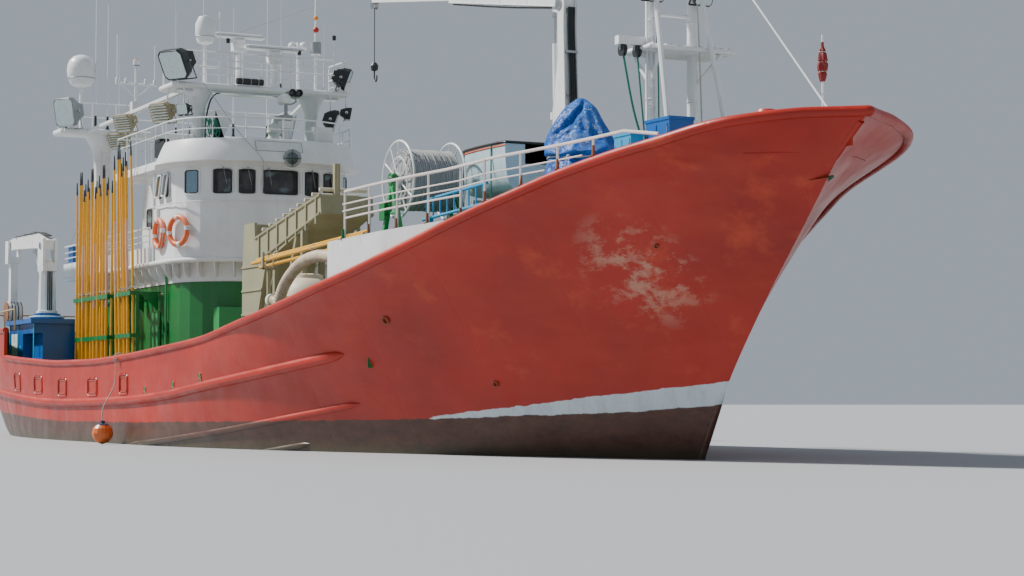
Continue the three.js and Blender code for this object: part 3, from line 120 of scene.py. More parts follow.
class Nodes:
    """Short names for building a material's nodes."""

    def __init__(self, name):
        self.material = bpy.data.materials.new(name)
        self.material.use_nodes = True
        self.tree = self.material.node_tree
        self.shader = self.tree.nodes["Principled BSDF"]
        self.place = self.add("ShaderNodeTexCoord").outputs["Object"]

    def add(self, kind, **values):
        node = self.tree.nodes.new(kind)
        for key, value in values.items():
            setattr(node, key, value)
        return node

    def link(self, a, b):
        self.tree.links.new(a, b)

    def scaled(self, size):
        node = self.add("ShaderNodeMapping")
        node.inputs["Scale"].default_value = size
        self.link(self.place, node.inputs["Vector"])
        return node.outputs["Vector"]

    def noise(self, size, detail=4.0, rough=0.55):
        node = self.add("ShaderNodeTexNoise")
        node.inputs["Detail"].default_value = detail
        node.inputs["Roughness"].default_value = rough
        node.inputs["Scale"].default_value = 1.0
        self.link(self.scaled(size), node.inputs["Vector"])
        return node.outputs["Fac"]

    def range(self, value, low, high, to_low=0.0, to_high=1.0):
        node = self.add("ShaderNodeMapRange")
        node.inputs["From Min"].default_value = low
        node.inputs["From Max"].default_value = high
        node.inputs["To Min"].default_value = to_low
        node.inputs["To Max"].default_value = to_high
        self.link(value, node.inputs["Value"])
        return node.outputs["Result"]

    def math(self, kind, a, b=None):
        node = self.add("ShaderNodeMath", operation=kind)
        for socket, value in zip(node.inputs, (a, b)):
            if value is None:
                continue
            if isinstance(value, (int, float)):
                socket.default_value = value
            else:
                self.link(value, socket)
        return node.outputs[0]

    def mix(self, factor, a, b):
        node = self.add("ShaderNodeMix", data_type="RGBA")
        for socket, value in ((node.inputs[0], factor), (node.inputs[6], a), (node.inputs[7], b)):
            if isinstance(value, tuple):
                socket.default_value = (*value, 1)
            elif isinstance(value, (int, float)):
                socket.default_value = value
            else:
                self.link(value, socket)
        return node.outputs[2]

    def split(self):
        node = self.add("ShaderNodeSeparateXYZ")
        self.link(self.place, node.inputs[0])
        return node.outputs

    def curve(self, value, table, low, high, bottom, top):
        """A height read from a table of x, height pairs."""
        x01 = self.range(value, low, high)
        node = self.add("ShaderNodeFloatCurve")
        line = node.mapping.curves[0]
        points = [((x - low) / (high - low), (z - bottom) / (top - bottom)) for x, z in table]
        line.points[0].location = points[0]
        line.points[1].location = points[-1]
        for p in points[1:-1]:
            line.points.new(*p)
        for p in line.points:
            p.handle_type = "VECTOR"
        node.mapping.update()
        self.link(x01, node.inputs["Value"])
        return self.range(node.outputs["Value"], 0, 1, bottom, top)

    def bump(self, height, distance, strength=1.0):
        node = self.add("ShaderNodeBump")
        node.inputs["Strength"].default_value = strength
        node.inputs["Distance"].default_value = distance
        self.link(height, node.inputs["Height"])
        self.link(node.outputs["Normal"], self.shader.inputs["Normal"])

    def finish(self, color, rough, metal=0.0):
        if isinstance(color, tuple):
            self.shader.inputs["Base Color"].default_value = (*color, 1)
        else:
            self.link(color, self.shader.inputs["Base Color"])
        if isinstance(rough, (int, float)):
            self.shader.inputs["Roughness"].default_value = rough
        else:
            self.link(rough, self.shader.inputs["Roughness"])
        self.shader.inputs["Metallic"].default_value = metal
        return self.material


def painted(name, color, dirt, rough=0.4, grime=0.35, scale=1.0, metal=0.0, rust=0.0):
    """Brushed-on marine paint: slow colour drift, streaks that run down, specks and a slight orange peel."""
    n = Nodes(name)
    drift = n.noise((1.3 * scale,) * 3, 3)
    shade = tuple(c * 0.86 for c in color)
    base = n.mix(n.range(drift, 0.35, 0.7), color, shade)
    streaks = n.noise((9 * scale, 9 * scale, 0.8 * scale), 6, 0.65)
    base = n.mix(n.range(streaks, 0.56, 0.82, 0, grime), base, dirt)
    specks = n.noise((26 * scale,) * 3, 5, 0.7)
    base = n.mix(n.range(specks, 0.66, 0.74, 0, grime * 0.8), base, tuple(c * 0.75 for c in dirt))
    if rust:
        spots = n.noise((3.5 * scale, 3.5 * scale, 1.2 * scale), 8, 0.75)
        base = n.mix(n.range(spots, 0.62, 0.7, 0, rust), base, (0.32, 0.12, 0.045))
    gloss = n.range(drift, 0.3, 0.7, rough * 0.85, rough * 1.2)
    n.bump(n.noise((14 * scale,) * 3, 4), 0.004, 0.35)
    return n.finish(base, gloss, metal)


def plain_metal(name, color, rough=0.35, metal=1.0):
    """Brushed bare metal."""
    n = Nodes(name)
    brushed = n.noise((30, 30, 4), 6, 0.7)
    tone = n.mix(n.range(brushed, 0.3, 0.7), color, tuple(c * 0.7 for c in color))
    n.bump(brushed, 0.001, 0.3)
    return n.finish(tone, n.range(brushed, 0.3, 0.7, rough * 0.8, rough * 1.3), metal)


BOOT_TOP = [
    (-17.5, 0.62), (-12.8, 0.55), (-7.1, 0.42), (-2.4, 0.44),
    (1.5, 0.48), (4.9, 0.52), (8.4, 0.58), (12, 0.7),
    (13.5, 0.82), (17.2, 1.0),
]
STRIPE_TOP = [(-17.5, -2.0), (7.6, 0.0), (8.3, 0.61), (10.0, 0.77), (11.5, 0.93), (13.5, 1.13), (17.2, 1.4)]


def hull_paint():
    """Red topsides over a pale stripe and brown bottom paint, with scuffs, streaks and plates' dents, and
    painted water light on the bow.
    """
    n = Nodes("hull_paint")
    x, _, z = n.split()
    drift = n.noise((0.55, 0.55, 0.55), 4)
    red = n.mix(n.range(drift, 0.3, 0.7), (0.45, 0.016, 0.003), (0.3, 0.009, 0.002))
    fade = n.noise((0.5, 0.5, 2.2), 6, 0.6)
    red = n.mix(n.range(fade, 0.5, 0.85, 0, 0.4), red, (0.56, 0.05, 0.01))
    streaks = n.noise((6.5, 6.5, 0.5), 8, 0.7)
    red = n.mix(n.range(streaks, 0.6, 0.85, 0, 0.45), red, (0.2, 0.045, 0.02))
    scuffs = n.noise((2.2, 2.2, 9), 8, 0.75)
    red = n.mix(n.range(scuffs, 0.68, 0.74, 0, 0.35), red, (0.75, 0.35, 0.25))
    # Painted water light: a pale web of caustics on the bow round x 13.1, z 2.75.
    across = n.math("SUBTRACT", x, 13.1)
    height = n.math("SUBTRACT", z, 2.75)
    spread = n.math(
        "ADD", n.math("MULTIPLY", across, across),
        n.math("MULTIPLY", n.math("MULTIPLY", height, height), 1.3),
    )
    caustic_web = n.range(n.noise((1.8, 1.8, 3.4), 8, 0.72), 0.5, 0.6, 0, 0.62)
    red = n.mix(n.math("MULTIPLY", n.range(spread, 1.0, 0.1), caustic_web), red, (0.56, 0.34, 0.24))
    # Painted water light: orange patches of reflected light that grow towards the bow.
    water_light_patches = n.range(n.noise((1.1, 1.1, 1.7), 5, 0.65), 0.56, 0.7, 0, 0.5)
    red = n.mix(n.math("MULTIPLY", water_light_patches, n.range(x, 5.5, 9.5)), red, (0.58, 0.07, 0.015))
    boot = n.curve(x, BOOT_TOP, -17.5, 17.2, -2.0, 2.0)
    wobble = n.range(n.noise((4, 4, 4), 4), 0.3, 0.7, -0.015, 0.015)
    low = n.math("SUBTRACT", z, n.math("ADD", boot, wobble))
    stripe = n.curve(x, STRIPE_TOP, -17.5, 17.2, -2.0, 2.0)
    in_stripe = n.range(n.math("SUBTRACT", z, n.math("ADD", stripe, wobble)), 0.006, -0.006)
    pale_dirt = n.range(n.noise((5, 5, 2), 6, 0.7), 0.45, 0.75, 0, 0.5)
    pale = n.mix(pale_dirt, (0.62, 0.72, 0.78), (0.3, 0.36, 0.4))
    color = n.mix(in_stripe, red, pale)
    scum = n.noise((3, 3, 7), 8, 0.7)
    brown = n.mix(n.range(scum, 0.35, 0.7), (0.05, 0.017, 0.011), (0.11, 0.04, 0.022))
    weed = n.range(n.math("SUBTRACT", z, 0.1), 0.16, -0.1)
    brown = n.mix(n.math("MULTIPLY", weed, 0.7), brown, (0.035, 0.045, 0.02))
    color = n.mix(n.range(low, 0.008, -0.008), color, brown)
    plates = n.add("ShaderNodeTexWave", wave_type="BANDS", bands_direction="X", wave_profile="TRI")
    plates.inputs["Scale"].default_value = 0.16
    plates.inputs["Distortion"].default_value = 0.3
    plates.inputs["Detail"].default_value = 1.0
    n.link(n.place, plates.inputs["Vector"])
    seams = n.range(plates.outputs["Fac"], 0.0, 0.035, 0.0, 1.0)
    dents = n.noise((0.9, 0.9, 1.4), 3, 0.5)
    skin = n.math("ADD", n.math("MULTIPLY", dents, 4.0), n.math("MULTIPLY", seams, 0.25))
    n.bump(skin, 0.012, 0.5)
    gloss = n.range(n.noise((2, 2, 2), 4), 0.3, 0.7, 0.32, 0.5)
    return n.finish(color, gloss)


def deck_paint(name, color):
    """Worn deck plating with spots of rust and patches of shine."""
    n = Nodes(name)
    wear = n.noise((1.2, 1.2, 1.2), 8, 0.7)
    tone = n.mix(n.range(wear, 0.4, 0.65), color, tuple(c * 0.6 for c in color))
    rust = n.noise((2.6, 2.6, 2.6), 8, 0.75)
    tone = n.mix(n.range(rust, 0.56, 0.68, 0, 0.75), tone, (0.28, 0.11, 0.05))
    n.bump(rust, 0.006, 0.4)
    return n.finish(tone, n.range(wear, 0.3, 0.7, 0.35, 0.75))


def wood_planks():
    """Deck planks with dark seams and grain."""
    n = Nodes("deck_planks")
    lines = n.add("ShaderNodeTexBrick")
    lines.offset = 0.5
    lines.inputs["Scale"].default_value = 1.0
    lines.inputs["Mortar Size"].default_value = 0.006
    lines.inputs["Brick Width"].default_value = 3.6
    lines.inputs["Row Height"].default_value = 0.14
    lines.inputs["Color1"].default_value = (0.3, 0.2, 0.12, 1)
    lines.inputs["Color2"].default_value = (0.4, 0.29, 0.19, 1)
    lines.inputs["Mortar"].default_value = (0.03, 0.025, 0.02, 1)
    n.link(n.place, lines.inputs["Vector"])
    grain = n.noise((2, 40, 4), 6, 0.6)
    tone = n.mix(n.range(grain, 0.35, 0.7, 0, 0.5), lines.outputs["Color"], (0.18, 0.13, 0.09))
    n.bump(grain, 0.003, 0.4)
    return n.finish(tone, n.range(grain, 0.3, 0.7, 0.5, 0.8))


def rope_material(name, color, dark, pitch=40.0):
    """Laid rope: slanting strands round the line, with fuzz, and painted shade in the grooves between
    strands.
    """
    n = Nodes(name)
    strands = n.add("ShaderNodeTexWave", wave_type="BANDS", bands_direction="DIAGONAL")
    strands.inputs["Scale"].default_value = pitch
    strands.inputs["Distortion"].default_value = 1.5
    n.link(n.place, strands.inputs["Vector"])
    fuzz = n.noise((60, 60, 60), 4)
    # Painted shade: the grooves between strands take the darker colour.
    tone = n.mix(strands.outputs["Fac"], dark, color)
    tone = n.mix(n.range(fuzz, 0.4, 0.7, 0, 0.4), tone, tuple(c * 0.6 for c in color))
    n.bump(strands.outputs["Fac"], 0.004, 0.8)
    return n.finish(tone, 0.85)


def glass_material():
    """Dark window glass with paler patches painted on as reflections."""
    n = Nodes("window_glass")
    haze = n.noise((2.5, 2.5, 2.5), 3)
    n.shader.inputs["Transmission Weight"].default_value = 0.25
    n.shader.inputs["IOR"].default_value = 1.45
    tone = n.mix(n.range(haze, 0.35, 0.7), (0.05, 0.05, 0.055), (0.13, 0.13, 0.13))
    # Painted reflection: paler grey-blue patches standing in for what the glass reflects.
    painted_reflections = n.noise((1.3, 1.3, 2.6), 2, 0.3)
    tone = n.mix(n.range(painted_reflections, 0.56, 0.6), tone, (0.2, 0.26, 0.29))
    return n.finish(tone, 0.08)


def tarp_material():
    """Woven blue sheet with creases and dirt; the raised creases and fold ridges are painted lighter as
    highlights.
    """
    n = Nodes("tarp_blue")
    weave = n.add("ShaderNodeTexChecker")
    weave.inputs["Scale"].default_value = 220
    weave.inputs["Color1"].default_value = (0.0, 0.1, 0.47, 1)
    weave.inputs["Color2"].default_value = (0.0, 0.12, 0.53, 1)
    n.link(n.place, weave.inputs["Vector"])
    creases = n.noise((7, 7, 9), 6, 0.6)
    folds = n.add("ShaderNodeTexVoronoi", feature="DISTANCE_TO_EDGE")
    folds.inputs["Scale"].default_value = 4.5
    bent = n.add("ShaderNodeVectorMath", operation="ADD")
    n.link(n.place, bent.inputs[0])
    n.link(creases, bent.inputs[1])
    n.link(bent.outputs["Vector"], folds.inputs["Vector"])
    edges = n.range(folds.outputs["Distance"], 0.0, 0.09, 1.0, 0.0)
    # Painted highlight: lighter blue on the raised creases and along the fold ridges.
    tone = n.mix(n.range(creases, 0.5, 0.75, 0, 0.5), weave.outputs["Color"], (0.0, 0.26, 0.78))
    tone = n.mix(n.math("MULTIPLY", edges, 0.3), tone, (0.02, 0.34, 0.85))
    dirt = n.noise((3, 3, 3), 6, 0.7)
    tone = n.mix(n.range(dirt, 0.6, 0.8, 0, 0.35), tone, (0.01, 0.04, 0.16))
    n.bump(n.math("ADD", n.math("MULTIPLY", edges, 0.5), creases), 0.045, 0.8)
    return n.finish(tone, n.range(creases, 0.3, 0.7, 0.32, 0.5))


def net_material(name, color, dark):
    """Heaped netting: the gaps between knots are painted dark as the shade inside the heap."""
    n = Nodes(name)
    mesh = n.add("ShaderNodeTexVoronoi", feature="DISTANCE_TO_EDGE")
    mesh.inputs["Scale"].default_value = 38
    n.link(n.place, mesh.inputs["Vector"])
    knots = n.range(mesh.outputs["Distance"], 0.0, 0.12)
    # Painted shade: the cells between the twine are dark, standing for the shade inside the heap.
    tone = n.mix(knots, color, dark)
    n.bump(knots, 0.01, 0.8)
    return n.finish(tone, 0.9)


def hose_material():
    """Pale grimy rubber."""
    n = Nodes("hose_rubber")
    grime = n.noise((6, 6, 6), 6, 0.7)
    tone = n.mix(n.range(grime, 0.4, 0.7), (0.56, 0.47, 0.35), (0.36, 0.28, 0.19))
    n.bump(grime, 0.004, 0.4)
    return n.finish(tone, n.range(grime, 0.3, 0.7, 0.5, 0.75))


def painted_below(name, low_color, high_color, height, dirt):
    """Two coats that meet at a height, with runs of dirt across both."""
    n = Nodes(name)
    z = n.split()[2]
    drift = n.noise((1.2, 1.2, 1.2), 3)
    low = n.mix(n.range(drift, 0.35, 0.7), low_color, tuple(c * 0.75 for c in low_color))
    high = n.mix(n.range(drift, 0.35, 0.7), high_color, tuple(c * 0.86 for c in high_color))
    tone = n.mix(n.range(z, height - 0.004, height + 0.004), low, high)
    streaks = n.noise((9, 9, 0.8), 6, 0.65)
    tone = n.mix(n.range(streaks, 0.58, 0.82, 0, 0.35), tone, dirt)
    n.bump(n.noise((14, 14, 14), 4), 0.004, 0.35)
    return n.finish(tone, n.range(drift, 0.3, 0.7, 0.28, 0.42))


DEEP_GREEN = (0.008, 0.17, 0.035)
WHITE = (0.83, 0.85, 0.87)
GREEN_TOP = 3.5
MATERIALS = {
    "house": painted_below("house_paint", DEEP_GREEN, WHITE, GREEN_TOP, (0.12, 0.12, 0.08)),
    "hull": hull_paint(),
    "white": painted("white_paint", WHITE, (0.42, 0.36, 0.28), 0.34, 0.22, 1.0, rust=0.12),
    "white_worn": painted("white_worn", (0.78, 0.8, 0.81), (0.4, 0.3, 0.2), 0.42, 0.45, 1.4, rust=0.35),
    "rail_paint": painted("rail_paint", (0.8, 0.72, 0.7), (0.45, 0.2, 0.14), 0.4, 0.4, 3.0, rust=0.3),
    "green": painted("green_paint", DEEP_GREEN, (0.03, 0.06, 0.03), 0.3, 0.35, 1.0, rust=0.1),
    "green_light": painted("green_light", (0.03, 0.3, 0.09), (0.03, 0.1, 0.04), 0.35, 0.3, 1.2),
    "blue": painted("blue_paint", (0.006, 0.11, 0.4), (0.05, 0.08, 0.12), 0.35, 0.3),
    "blue_light": painted("blue_light", (0.03, 0.33, 0.62), (0.12, 0.2, 0.25), 0.4, 0.35),
    "pale": painted("pale_paint", (0.5, 0.66, 0.74), (0.32, 0.3, 0.25), 0.5, 0.5, 1.2, rust=0.3),
    "olive": painted("olive_paint", (0.3, 0.29, 0.18), (0.14, 0.11, 0.07), 0.6, 0.5, 1.3, rust=0.3),
    "tank": painted("tank_grey", (0.62, 0.56, 0.44), (0.35, 0.27, 0.18), 0.55, 0.4, 1.5),
    "yellow": painted("pole_yellow", (0.82, 0.42, 0.02), (0.35, 0.2, 0.05), 0.25, 0.35, 2.0),
    "ball_fender": painted_below(
        "ball_fender", (0.75, 0.17, 0.03), (0.02, 0.035, 0.09), 0.375, (0.3, 0.12, 0.06),
    ),
    "pole_pink": painted("pole_tape", (0.72, 0.42, 0.3), (0.45, 0.3, 0.22), 0.4, 0.3, 2.0),
    "orange": painted("buoy_orange", (0.86, 0.16, 0.04), (0.5, 0.3, 0.2), 0.45, 0.25, 2.0),
    "red": painted("red_paint", (0.55, 0.03, 0.012), (0.15, 0.05, 0.03), 0.4, 0.4, 1.5, rust=0.2),
    "red_dark": painted("red_dark", (0.22, 0.012, 0.012), (0.06, 0.02, 0.02), 0.6, 0.4, 2.0),
    "black": painted("black_paint", (0.02, 0.024, 0.027), (0.09, 0.08, 0.07), 0.4, 0.3, 1.6),
    "dark_blue": painted("dark_blue", (0.015, 0.03, 0.09), (0.05, 0.05, 0.06), 0.4, 0.3, 1.6),
    "grey": painted("grey_paint", (0.3, 0.33, 0.35), (0.18, 0.16, 0.13), 0.4, 0.35, 1.4),
    "tan": painted("tan_paint", (0.42, 0.34, 0.2), (0.2, 0.15, 0.08), 0.45, 0.4, 1.6),
    "amber": painted("amber_lens", (0.95, 0.3, 0.02), (0.5, 0.2, 0.05), 0.2, 0.1, 2.0),
    "rust_line": painted("rust_line", (0.32, 0.05, 0.02), (0.1, 0.04, 0.02), 0.7, 0.5, 2.0),
    "rusty": painted("rusty_iron", (0.26, 0.1, 0.05), (0.1, 0.04, 0.02), 0.8, 0.6, 2.0),
    "steel": plain_metal("steel", (0.55, 0.56, 0.57), 0.3),
    "silver": plain_metal("silver", (0.75, 0.76, 0.78), 0.22),
    "bronze": plain_metal("bronze", (0.6, 0.4, 0.17), 0.3),
    "lens": plain_metal("lamp_lens", (0.55, 0.66, 0.68), 0.12),
    "lens_dark": plain_metal("dark_lens", (0.12, 0.15, 0.17), 0.25),
    # Pale blue glass for the corner panes and open sashes: the pale blue is painted sky reflection.
    "glass_sky_reflection": plain_metal("sky_reflection_glass", (0.32, 0.45, 0.52), 0.15),
    "deck_green": deck_paint("deck_green", (0.05, 0.16, 0.09)),
    "deck_grey": deck_paint("deck_grey", (0.26, 0.27, 0.27)),
    "planks": wood_planks(),
    "rope_grey": rope_material("rope_grey", (0.5, 0.52, 0.52), (0.2, 0.21, 0.21), 26),
    "rope_white": rope_material("rope_white", (0.8, 0.78, 0.7), (0.4, 0.38, 0.33), 60),
    "rope_green": rope_material("rope_green", (0.05, 0.36, 0.24), (0.01, 0.14, 0.09), 50),
    "glass": glass_material(),
    "tarp": tarp_material(),
    "net_green": net_material("net_green", (0.35, 0.42, 0.08), (0.08, 0.12, 0.02)),
    "net_dark": net_material("net_dark", (0.09, 0.1, 0.09), (0.02, 0.02, 0.02)),
    "hose": hose_material(),
}

# Mesh building. A Shape gathers simple closed forms, and becomes one object that rides on a body.


def circle(count):
    """Angles evenly round a circle."""
    return [2 * math.pi * k / count for k in range(count)]


class Shape:
    """A mesh that grows by simple forms and ends as one object."""

    def __init__(self):
        self.mesh = bmesh.new()
        self.slots = []

    def material(self, name):
        if name not in self.slots:
            self.slots.append(name)
        return self.slots.index(name)

    def faces(self, rings, material, closed=True, caps=True, smooth=True):
        """A skin over rings of points."""
        slot = self.material(material)
        made = [[self.mesh.verts.new(p) for p in ring] for ring in rings]
        n = len(made[0])
        span = n if closed else n - 1
        for a, b in zip(made, made[1:]):
            for i in range(span):
                j = (i + 1) % n
                face = self.mesh.faces.new((a[i], a[j], b[j], b[i]))
                face.material_index = slot
                face.smooth = smooth
        if caps and closed:
            for ring, turn in ((made[0], True), (made[-1], False)):
                face = self.mesh.faces.new(list(reversed(ring)) if turn else ring)
                face.material_index = slot
                face.smooth = False
        return made

    def tube(self, points, radius, material, sides=8, end=None):
        """A round bar through points, square to its path, tapering to the end radius if one is given."""
        pts = [Vector(p) for p in points]
        rings = []
        side = None
        for i, p in enumerate(pts):
            ahead = (pts[min(i + 1, len(pts) - 1)] - pts[max(i - 1, 0)]).normalized()
            if side is None:
                side = ahead.orthogonal().normalized()
            side = (side - ahead * side.dot(ahead)).normalized()
            up = ahead.cross(side)
            share = i / (len(pts) - 1)
            r = radius if end is None else radius + (end - radius) * share
            rings.append([p + side * (r * math.cos(t)) + up * (r * math.sin(t)) for t in circle(sides)])
        self.faces(rings, material)

    def bars(self, points, radius, material, sides=8):
        """Straight bars with ball-like corners."""
        for a, b in zip(points, points[1:]):
            self.tube([a, b], radius, material, sides)
        for p in points[1:-1]:
            self.ball(p, radius * 1.04, material, 6)

    def ball(self, centre, radius, material, steps=10, squash=1.0):
        profile = []
        for i in range(steps + 1):
            t = math.pi * i / steps
            profile.append((radius * math.sin(t) + 1e-5, -radius * squash * math.cos(t)))
        self.turned(centre, profile, material, steps * 2)

    def turned(self, centre, profile, material, segments=24, axis=(0, 0, 1)):
        """A profile of radius, height turned about an axis through the centre."""
        spin = Vector((0, 0, 1)).rotation_difference(Vector(axis)).to_matrix()
        rings = []
        for r, h in profile:
            ring = [Vector((r * math.cos(t), r * math.sin(t), h)) for t in circle(segments)]
            rings.append([Vector(centre) + spin @ p for p in ring])
        self.faces(rings, material)

    def ring(self, centre, radius, thick, material, axis=(0, 0, 1), segments=32, sides=10, squash=1.0):
        """A torus."""
        spin = Vector((0, 0, 1)).rotation_difference(Vector(axis)).to_matrix()
        slot = self.material(material)
        made = []
        for t in circle(segments):
            row = []
            for u in circle(sides):
                r = radius + thick * math.cos(u)
                p = Vector((r * math.cos(t), r * math.sin(t), thick * squash * math.sin(u)))
                row.append(self.mesh.verts.new(Vector(centre) + spin @ p))
            made.append(row)
        for k in range(segments):
            for j in range(sides):
                a, b = made[k], made[(k + 1) % segments]
                face = self.mesh.faces.new((a[j], b[j], b[(j + 1) % sides], a[(j + 1) % sides]))
                face.material_index = slot
                face.smooth = True

    def box(self, low, high, material, turn=None, about=None):
        """A block between two corners, turned by a matrix about a point."""
        x0, y0, z0 = low
        x1, y1, z1 = high
        rings = [
            [Vector((x0, y0, z)), Vector((x1, y0, z)), Vector((x1, y1, z)), Vector((x0, y1, z))]
            for z in (z0, z1)
        ]
        if turn:
            pivot = Vector(about) if about else (Vector(low) + Vector(high)) / 2
            rings = [[pivot + turn @ (p - pivot) for p in ring] for ring in rings]
        self.faces(rings, material, smooth=False)

    def prism(self, outline, offset, material, smooth=False):
        """An outline of 3-D points swept by an offset."""
        base = [Vector(p) for p in outline]
        self.faces([base, [p + Vector(offset) for p in base]], material, smooth=smooth)

    def sheet(self, rows, material, smooth=True):
        """An open grid of points."""
        self.faces(rows, material, closed=False, caps=False, smooth=smooth)

    def finish(self, name, body="root", bevel=0.0, angle=35.0, replaces=(), slot=None, thick=0.0):
        bmesh.ops.recalc_face_normals(self.mesh, faces=self.mesh.faces)
        data = bpy.data.meshes.new(name)
        self.mesh.to_mesh(data)
        self.mesh.free()
        for key in self.slots:
            data.materials.append(MATERIALS[key])
        piece = bpy.data.objects.new(name, data)
        scene.collection.objects.link(piece)
        data.set_sharp_from_angle(angle=math.radians(angle))
        if thick:
            solid = piece.modifiers.new("thick", "SOLIDIFY")
            solid.thickness = thick
            solid.offset = 0
        if bevel:
            edge = piece.modifiers.new("bevel", "BEVEL")
            edge.width = bevel
            edge.segments = 2
            edge.limit_method = "ANGLE"
            edge.angle_limit = math.radians(40)
            edge.harden_normals = True
        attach(piece, body)
        if replaces:
            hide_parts(*replaces)
        return piece


def smooth_line(points, steps=6):
    """A centripetal Catmull-Rom curve through a list of points."""
    pts = [Vector(p) for p in points]
    pts = [pts[0] * 2 - pts[1], *pts, pts[-1] * 2 - pts[-2]]
    made = []
    for p0, p1, p2, p3 in zip(pts, pts[1:], pts[2:], pts[3:]):
        d0, d1, d2 = (max(1e-4, (b - a).length) ** 0.5 for a, b in ((p0, p1), (p1, p2), (p2, p3)))
        leave = ((p1 - p0) / d0 - (p2 - p0) / (d0 + d1) + (p2 - p1) / d1) * d1
        arrive = ((p2 - p1) / d1 - (p3 - p1) / (d1 + d2) + (p3 - p2) / d2) * d1
        bend = (p2 - p1) * 3 - leave * 2 - arrive
        twist = (p1 - p2) * 2 + leave + arrive
        for k in range(steps):
            t = k / steps
            made.append(p1 + leave * t + bend * t * t + twist * t ** 3)
    made.append(pts[-2])
    return made


def ladder(shape, feet, top, rungs, rail, bar, sides=6):
    """Two uprights on their feet up to a height, with bars at the rungs' heights between them."""
    for foot in feet:
        shape.tube([foot, (*foot[:2], top)], rail, "white", sides)
    for z in rungs:
        shape.tube([(*foot[:2], z) for foot in feet], bar, "white", 6)


# Hull form, on the same level lines as the solids

SHEER = [
    (-17.0, 2.2), (-12.7, 1.906), (-9.75, 1.771), (-7.2, 1.686), (-5.0, 1.676), (-2.5, 1.734), (0.0, 1.844),
    (2.2, 1.967), (3.8, 2.155), (6.2, 2.483), (8.2, 2.841),
    (9.7, 3.201), (11.0, 3.58), (12.0, 3.84), (13.0, 4.084),
    (14.0, 4.253), (15.0, 4.392), (16.0, 4.577), (16.6, 4.657), (17.04, 4.66),
]
MAIN_DECK = [
    (-18.0, 1.25), (-12.4, 0.99), (-7.0, 0.82), (-2.4, 0.87),
    (0.0, 0.95), (3.7, 1.19), (6.9, 1.42), (9.3, 1.59),
]
FORE_DECK = [(7.0, 3.4), (7.86, 3.446), (9.5, 3.536), (10.91, 3.6), (14.0, 3.72), (18.0, 3.98)]
STEM = [(0.0, 12.86), (0.82, 13.35), (1.37, 13.6), (2.04, 14.13), (2.53, 14.65), (4.02, 16.15), (4.66, 17.04)]
RIM_BOW = [
    # distance abaft the stem, half breadth
    (0.0, 0.0), (0.24, 0.3), (0.65, 0.88), (1.16, 1.5),
    (1.62, 1.79), (2.17, 1.98), (2.84, 2.17), (4.04, 2.47),
    (6.04, 3.09), (8.04, 3.65), (10.04, 3.98), (13.04, 4.12), (17.04, 4.15),
]
LEVELS = [
    # z, share of the rim's height, stem x, stern x, half at stern, half,
    # entrance from, power, rim share, run to, power
    (-3.2, 0, 10.3, -12.7, 0.13, 0.17, 6.0, 2, 0, -11.0, 2),
    (-2.95, 0, 10.9, -12.75, 0.14, 1.5, 1.0, 1.7, 0, -6.5, 1.7),
    (-2.3, 0, 11.6, -12.8, 0.16, 3.1, 0.5, 1.75, 0, -6.5, 1.8),
    (-1.5, 0, 12.2, -12.85, 0.26, 3.85, 0.0, 1.8, 0, -6.2, 2),
    (-0.9, 0, 12.5, -13.3, 0.8, 4.03, -0.5, 1.8, 0, -6.0, 2.2),
    (-0.4, 0, 12.7, -15.5, 2.25, 4.09, -0.8, 1.8, 0, -6.0, 2.3),
    (0.0, 0, 12.86, -16.45, 2.95, 4.11, -1.0, 1.8, 0, -6.0, 2.3),
    (0.0, 0.25, 0, -16.6, 3.15, 4.125, -0.4, 1.8, 0.04, -6.5, 2.3),
    (0.0, 0.5, 0, -16.75, 3.3, 4.14, 0.5, 1.8, 0.07, -7.0, 2.3),
    (0.0, 0.75, 0, -16.88, 3.4, 4.15, 1.5, 1.8, 0.18, -7.5, 2.3),
    (0.0, 0.9, 0, -16.95, 3.45, 4.15, 2.2, 1.8, 0.38, -7.8, 2.3),
    (0.0, 1.0, 0, -17.0, 3.48, 4.15, 3.0, 1.8, 1, -8.0, 2.3),
]
BOW_X = 17.04
STERN_X = -17.0
STERN_STEP_X = -12.8
STERN_TOP = 2.58
FORECASTLE_X = 7.5
WEDGE_END_X = 11.1
PLATE = 0.07


def along(table, x):
    """A table of x, value pairs read at x."""
    if x <= table[0][0]:
        return table[0][1]
    for (x0, z0), (x1, z1) in zip(table, table[1:]):
        if x <= x1:
            return z0 + (z1 - z0) * (x - x0) / (x1 - x0)
    return table[-1][1]


def monotone(xs, ys, x):
    """Smooth interpolation that never overshoots its points."""
    if x <= xs[0]:
        return ys[0]
    if x >= xs[-1]:
        return ys[-1]
    n = len(xs)
    slopes = [(ys[i + 1] - ys[i]) / max(1e-9, xs[i + 1] - xs[i]) for i in range(n - 1)]
    i = max(k for k in range(n - 1) if xs[k] <= x)

    def tangent(k):
        if k == 0:
            return slopes[0]
        if k == n - 1:
            return slopes[-1]
        a, b = slopes[k - 1], slopes[k]
        return 0.0 if a * b <= 0 else 2 * a * b / (a + b)

    h = max(1e-9, xs[i + 1] - xs[i])
    t = (x - xs[i]) / h
    a = (1 + 2 * t) * (1 - t) ** 2 * ys[i] + t * (1 - t) ** 2 * h * tangent(i)
    return a + t * t * (3 - 2 * t) * ys[i + 1] + t * t * (t - 1) * h * tangent(i + 1)


def smooth_table(table):
    """A smooth line through a table of x, value pairs."""
    xs = [row[0] for row in table]
    ys = [row[1] for row in table]
    return lambda x: monotone(xs, ys, x)


rim_height = smooth_table(SHEER)
rim_bow = smooth_table(RIM_BOW)


